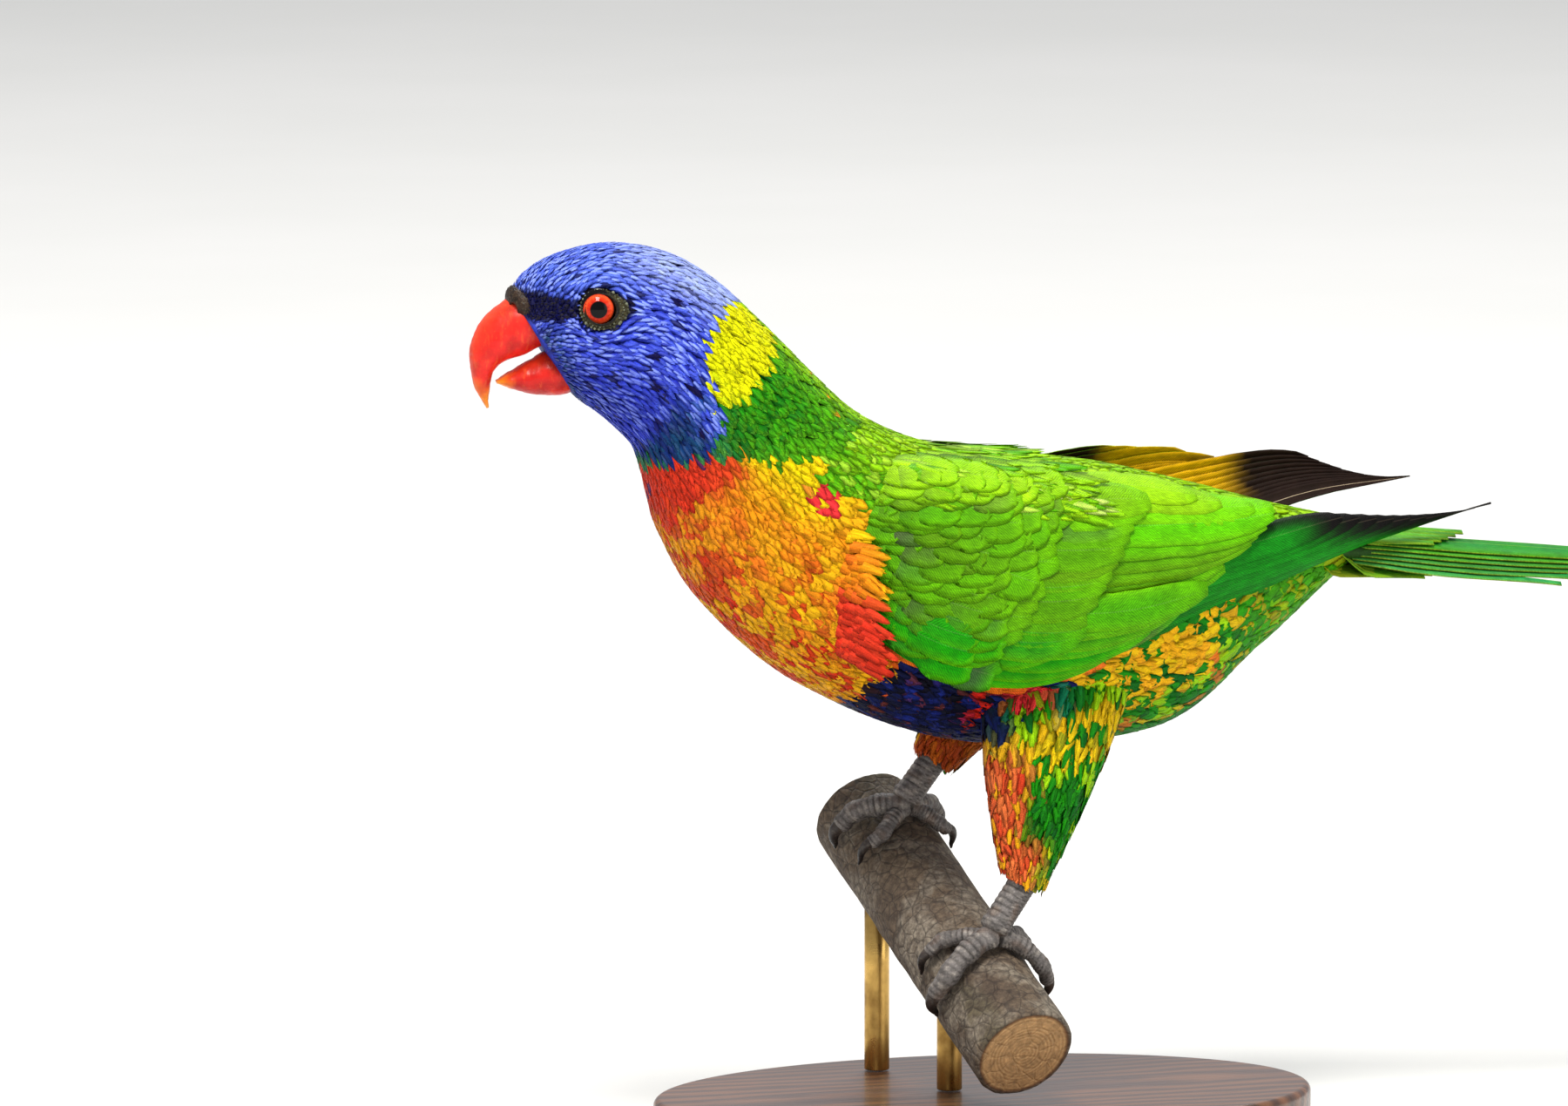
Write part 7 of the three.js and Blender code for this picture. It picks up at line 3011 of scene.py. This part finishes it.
@dataclass
class Branch:
    """The cut length of branch under the feet."""

    rows: int = 170
    around: int = 110
    relief: float = 0.22

    def build(self) -> bpy.types.Object:
        """Make the branch.

        The radius goes in by up to the relief, by ripples stretched along the branch. The sawn
        ends are rings that step in to the middle, marked by the attribute's alpha.

        Returns:
            The piece.
        """
        near, far = -PERCH.overhang[0], PERCH.span + PERCH.overhang[1]
        along, spin = ring_grid(np.linspace(near, far, self.rows), self.around)
        flat = np.stack([np.cos(spin) * 11, np.sin(spin) * 11, along * 0.4], axis=-1)
        rough = 0.55 * ripple(flat, 7.0, 41) + 0.45 * ripple(flat, 2.4, 42)
        edge = np.minimum(along - near, far - along)
        bevel = 0.5 * (1 - np.sqrt(np.clip(1 - (1 - np.clip(edge / 0.5, 0, 1)) ** 2, 0, 1)))
        radius = PERCH.radius - self.relief * (1 - rough) / 1.0 - bevel
        side = PERCH.around(along, spin, np.minimum(radius, PERCH.radius + 0.15))
        bark = blend(linear(94, 78, 62), linear(126, 108, 86), 0.5 + 0.5 * ripple(flat, 9.0, 43))
        bark = blend(bark, linear(70, 84, 52), 0.3 * smoothstep(ripple(flat, 14.0, 44), 0.2, 0.9))
        tint = with_alpha(bark)
        steps = np.linspace(0.96, 0.03, 26)[:, None]
        rings, colours = [side], [tint]
        for place, first in ((near, True), (far, False)):
            share, turn = np.broadcast_arrays(steps, spin[:1])
            size = (PERCH.radius - self.relief - 0.5) * share
            saw = 0.06 * ripple(np.stack([size * np.cos(turn) * 0.2, size * np.sin(turn)], -1), 1.4, 45)
            face = PERCH.around(place + (0.1 + saw) * (1 if first else -1), turn, size)
            years = 0.5 + 0.5 * np.sin(size * 7.5 + 0.8 * ripple(face, 9.0, 46))
            wood = blend(linear(196, 158, 108), linear(156, 112, 68), 0.8 * years)
            wood = blend(wood, linear(96, 66, 42), smoothstep(share, 0.9, 0.96))
            mark = with_alpha(wood, 1.0)
            if first:
                rings.insert(0, face[::-1])
                colours.insert(0, mark[::-1])
            else:
                rings.append(face)
                colours.append(mark)
        web = tube_web(np.concatenate(rings), np.concatenate(colours))
        made = web.piece("branch_bark", BarkFinish("branch_bark").material())
        return settle(made, "branch_wood", "perch")


@dataclass
class Stand:
    """The plain display stand: an oval wooden base and two brass rods up into the branch."""

    long: float = 140.0
    deep: float = 100.0
    high: float = 9.0
    edge: float = 1.6
    rod: float = 2.6
    spots: tuple[float, float] = (0.35, 1.18)
    names: tuple[str, str] = ("stand_rod_front", "stand_rod_back")

    def base(self) -> bpy.types.Object:
        """The base: ellipses that round over at the lower and the upper edge."""
        low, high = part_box("stand_base")
        middle = np.array((low + high) / 2) / MM
        spin = circle(160)[None, :]
        quarter = np.linspace(0, np.pi / 2, 10)
        rising, turning = self.edge * (1 - np.cos(quarter)), self.edge * (1 - np.sin(quarter))
        inset = np.concatenate([[40, 10], turning, rising, [10, 40]])
        z = np.concatenate([[0, 0], rising, self.high - turning, [self.high] * 2])
        x = middle[0] + (self.long / 2 - inset[:, None]) * np.cos(spin)
        y = middle[1] + (self.deep / 2 - inset[:, None]) * np.sin(spin)
        rings = np.stack([x, y, np.broadcast_to(z[:, None], x.shape)], axis=-1)
        web = tube_web(rings, np.append(linear(96, 60, 34), 0.0))
        made = web.piece("base_turned", WoodFinish("base_walnut").material())
        return settle(made, "base_wood", "stand_base")

    def rods(self) -> list[bpy.types.Object]:
        """The rods, each 0.2 mm narrower at its very foot where it meets the base."""
        finish = BrassFinish("rod_brass_brushed").material()
        made = []
        spin = circle(48)[None, :]
        for spot, name in zip(self.spots, self.names):
            foot = PERCH.around(spot * PERCH.span, 0.0, 0.0)
            top = foot[2] - 6.0
            z = np.array([self.high + 0.3, self.high + 0.5, self.high + 8, (self.high + top) / 2, top])
            radius = np.array([self.rod - 0.2, self.rod, self.rod, self.rod, self.rod])
            x = foot[0] + radius[:, None] * np.cos(spin)
            y = foot[1] + radius[:, None] * np.sin(spin)
            rings = np.stack([x, y, np.broadcast_to(z[:, None], x.shape)], axis=-1)
            web = tube_web(rings, np.append(linear(212, 172, 96), 0.0))
            made.append(settle(web.piece(name.replace("stand_", "brass_"), finish), "rod_brass", name))
        return made

    def build(self) -> list[bpy.types.Object]:
        """Make the base and the rods."""
        return [self.base(), *self.rods()]


# The studio


@dataclass
class Studio:
    """Camera, lights, floor and world.

    Attributes:
        azimuth: Direction of the camera, in degrees from the front.
        elevation: Height of the camera, in degrees.
        aim: Place at the middle of the picture, in metres.
        frame: Width that the picture covers there, in metres.
        distance: Distance of the camera, in metres.
    """

    azimuth: float = -20.0
    elevation: float = 7.0
    aim: tuple[float, float, float] = (-0.0437, 0.0, 0.1225)
    frame: float = 0.3214
    distance: float = 4.0

    def back(self) -> Vector:
        """Unit vector from the model to the camera."""
        a, e = math.radians(self.azimuth), math.radians(self.elevation)
        return Vector((math.sin(a) * math.cos(e), -math.cos(a) * math.cos(e), math.sin(e)))

    def camera(self) -> None:
        """Place the camera with the photo's framing."""
        lens = bpy.data.cameras.new("camera")
        lens.sensor_width = 36.0
        lens.lens = 36.0 * self.distance / self.frame
        lens.clip_end = 50.0
        made = bpy.data.objects.new("camera", lens)
        made.location = Vector(self.aim) + self.back() * self.distance
        made.rotation_euler = (-self.back()).to_track_quat("-Z", "Y").to_euler()
        bpy.context.scene.collection.objects.link(made)
        bpy.context.scene.camera = made

    def light(
        self, name: str, where: tuple[float, float, float], size: float, power: float, warm: float
    ) -> None:
        """Add a square soft light that faces the model.

        Args:
            name: Its name.
            where: Its place in metres from the aim.
            size: Its side in metres.
            power: Its power in watts.
            warm: 0 for white, up to 1 for warm, below 0 for cool.
        """
        lamp = bpy.data.lights.new(name, "AREA")
        lamp.size = size
        lamp.energy = power
        blue = 1.0 - 0.22 * warm if warm > 0 else 1.0
        lamp.color = (1.0, 1.0 - 0.1 * max(warm, 0) + 0.03 * min(warm, 0), blue)
        made = bpy.data.objects.new(name, lamp)
        made.location = Vector(self.aim) + Vector(where)
        made.rotation_euler = (-Vector(where)).to_track_quat("-Z", "Y").to_euler()
        bpy.context.scene.collection.objects.link(made)

    def floor(self) -> None:
        """A pale round floor under the stand."""
        spin = circle(96)
        rim = np.stack([np.cos(spin), np.sin(spin), 0 * spin], axis=-1)
        rings = np.stack([rim * 6000.0 * share for share in (0.02, 0.2, 1.0)])
        web = tube_web(rings, np.append(linear(224, 224, 220), 0.0), (True, False))
        mesh_up = web.points[web.quads[0]]
        if np.cross(mesh_up[1] - mesh_up[0], mesh_up[2] - mesh_up[0])[2] < 0:
            web = Web(web.points, web.quads[:, ::-1], web.tris[:, ::-1], web.tint)
        made = web.piece("studio_floor", FloorFinish("studio_floor").material())
        made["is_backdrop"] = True

    def world(self) -> None:
        """Even pale surroundings."""
        world = bpy.data.worlds.new("studio")
        world.use_nodes = True
        sky = world.node_tree.nodes["Background"]
        sky.inputs["Color"].default_value = (0.93, 0.95, 1.0, 1.0)
        sky.inputs["Strength"].default_value = 0.48
        bpy.context.scene.world = world

    def build(self) -> None:
        """Set the whole studio."""
        scene = bpy.context.scene
        scene.view_settings.view_transform = "Standard"
        self.camera()
        self.floor()
        self.world()
        self.light("key", (-0.5, -1.1, 2.1), 0.8, 66.0, 0.2)
        self.light("fill", (1.6, -1.8, 0.5), 1.6, 12.0, -0.3)
        self.light("rim", (0.6, 1.4, 2.0), 1.1, 34.0, 0.1)


def corners() -> list[list[float]]:
    """The model's bounds as plain lists."""
    return [[float(c) for c in corner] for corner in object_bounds()]


def main() -> None:
    """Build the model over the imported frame."""
    logging.basicConfig(level=logging.INFO, format="%(name)s %(message)s")
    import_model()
    Skin().build()
    BodyCoat().build()
    ThighCoat().build()
    for side in Side:
        Wing(side).build()
        SideSilk(side).build()
    Tail().build()
    Bill().build()
    Cere().build()
    for side in Side:
        Eye(side).build()
    for leg in LEGS:
        Foot(leg).build()
    Branch().build()
    Stand().build()
    Studio().build()


if __name__ == "__main__":
    main()
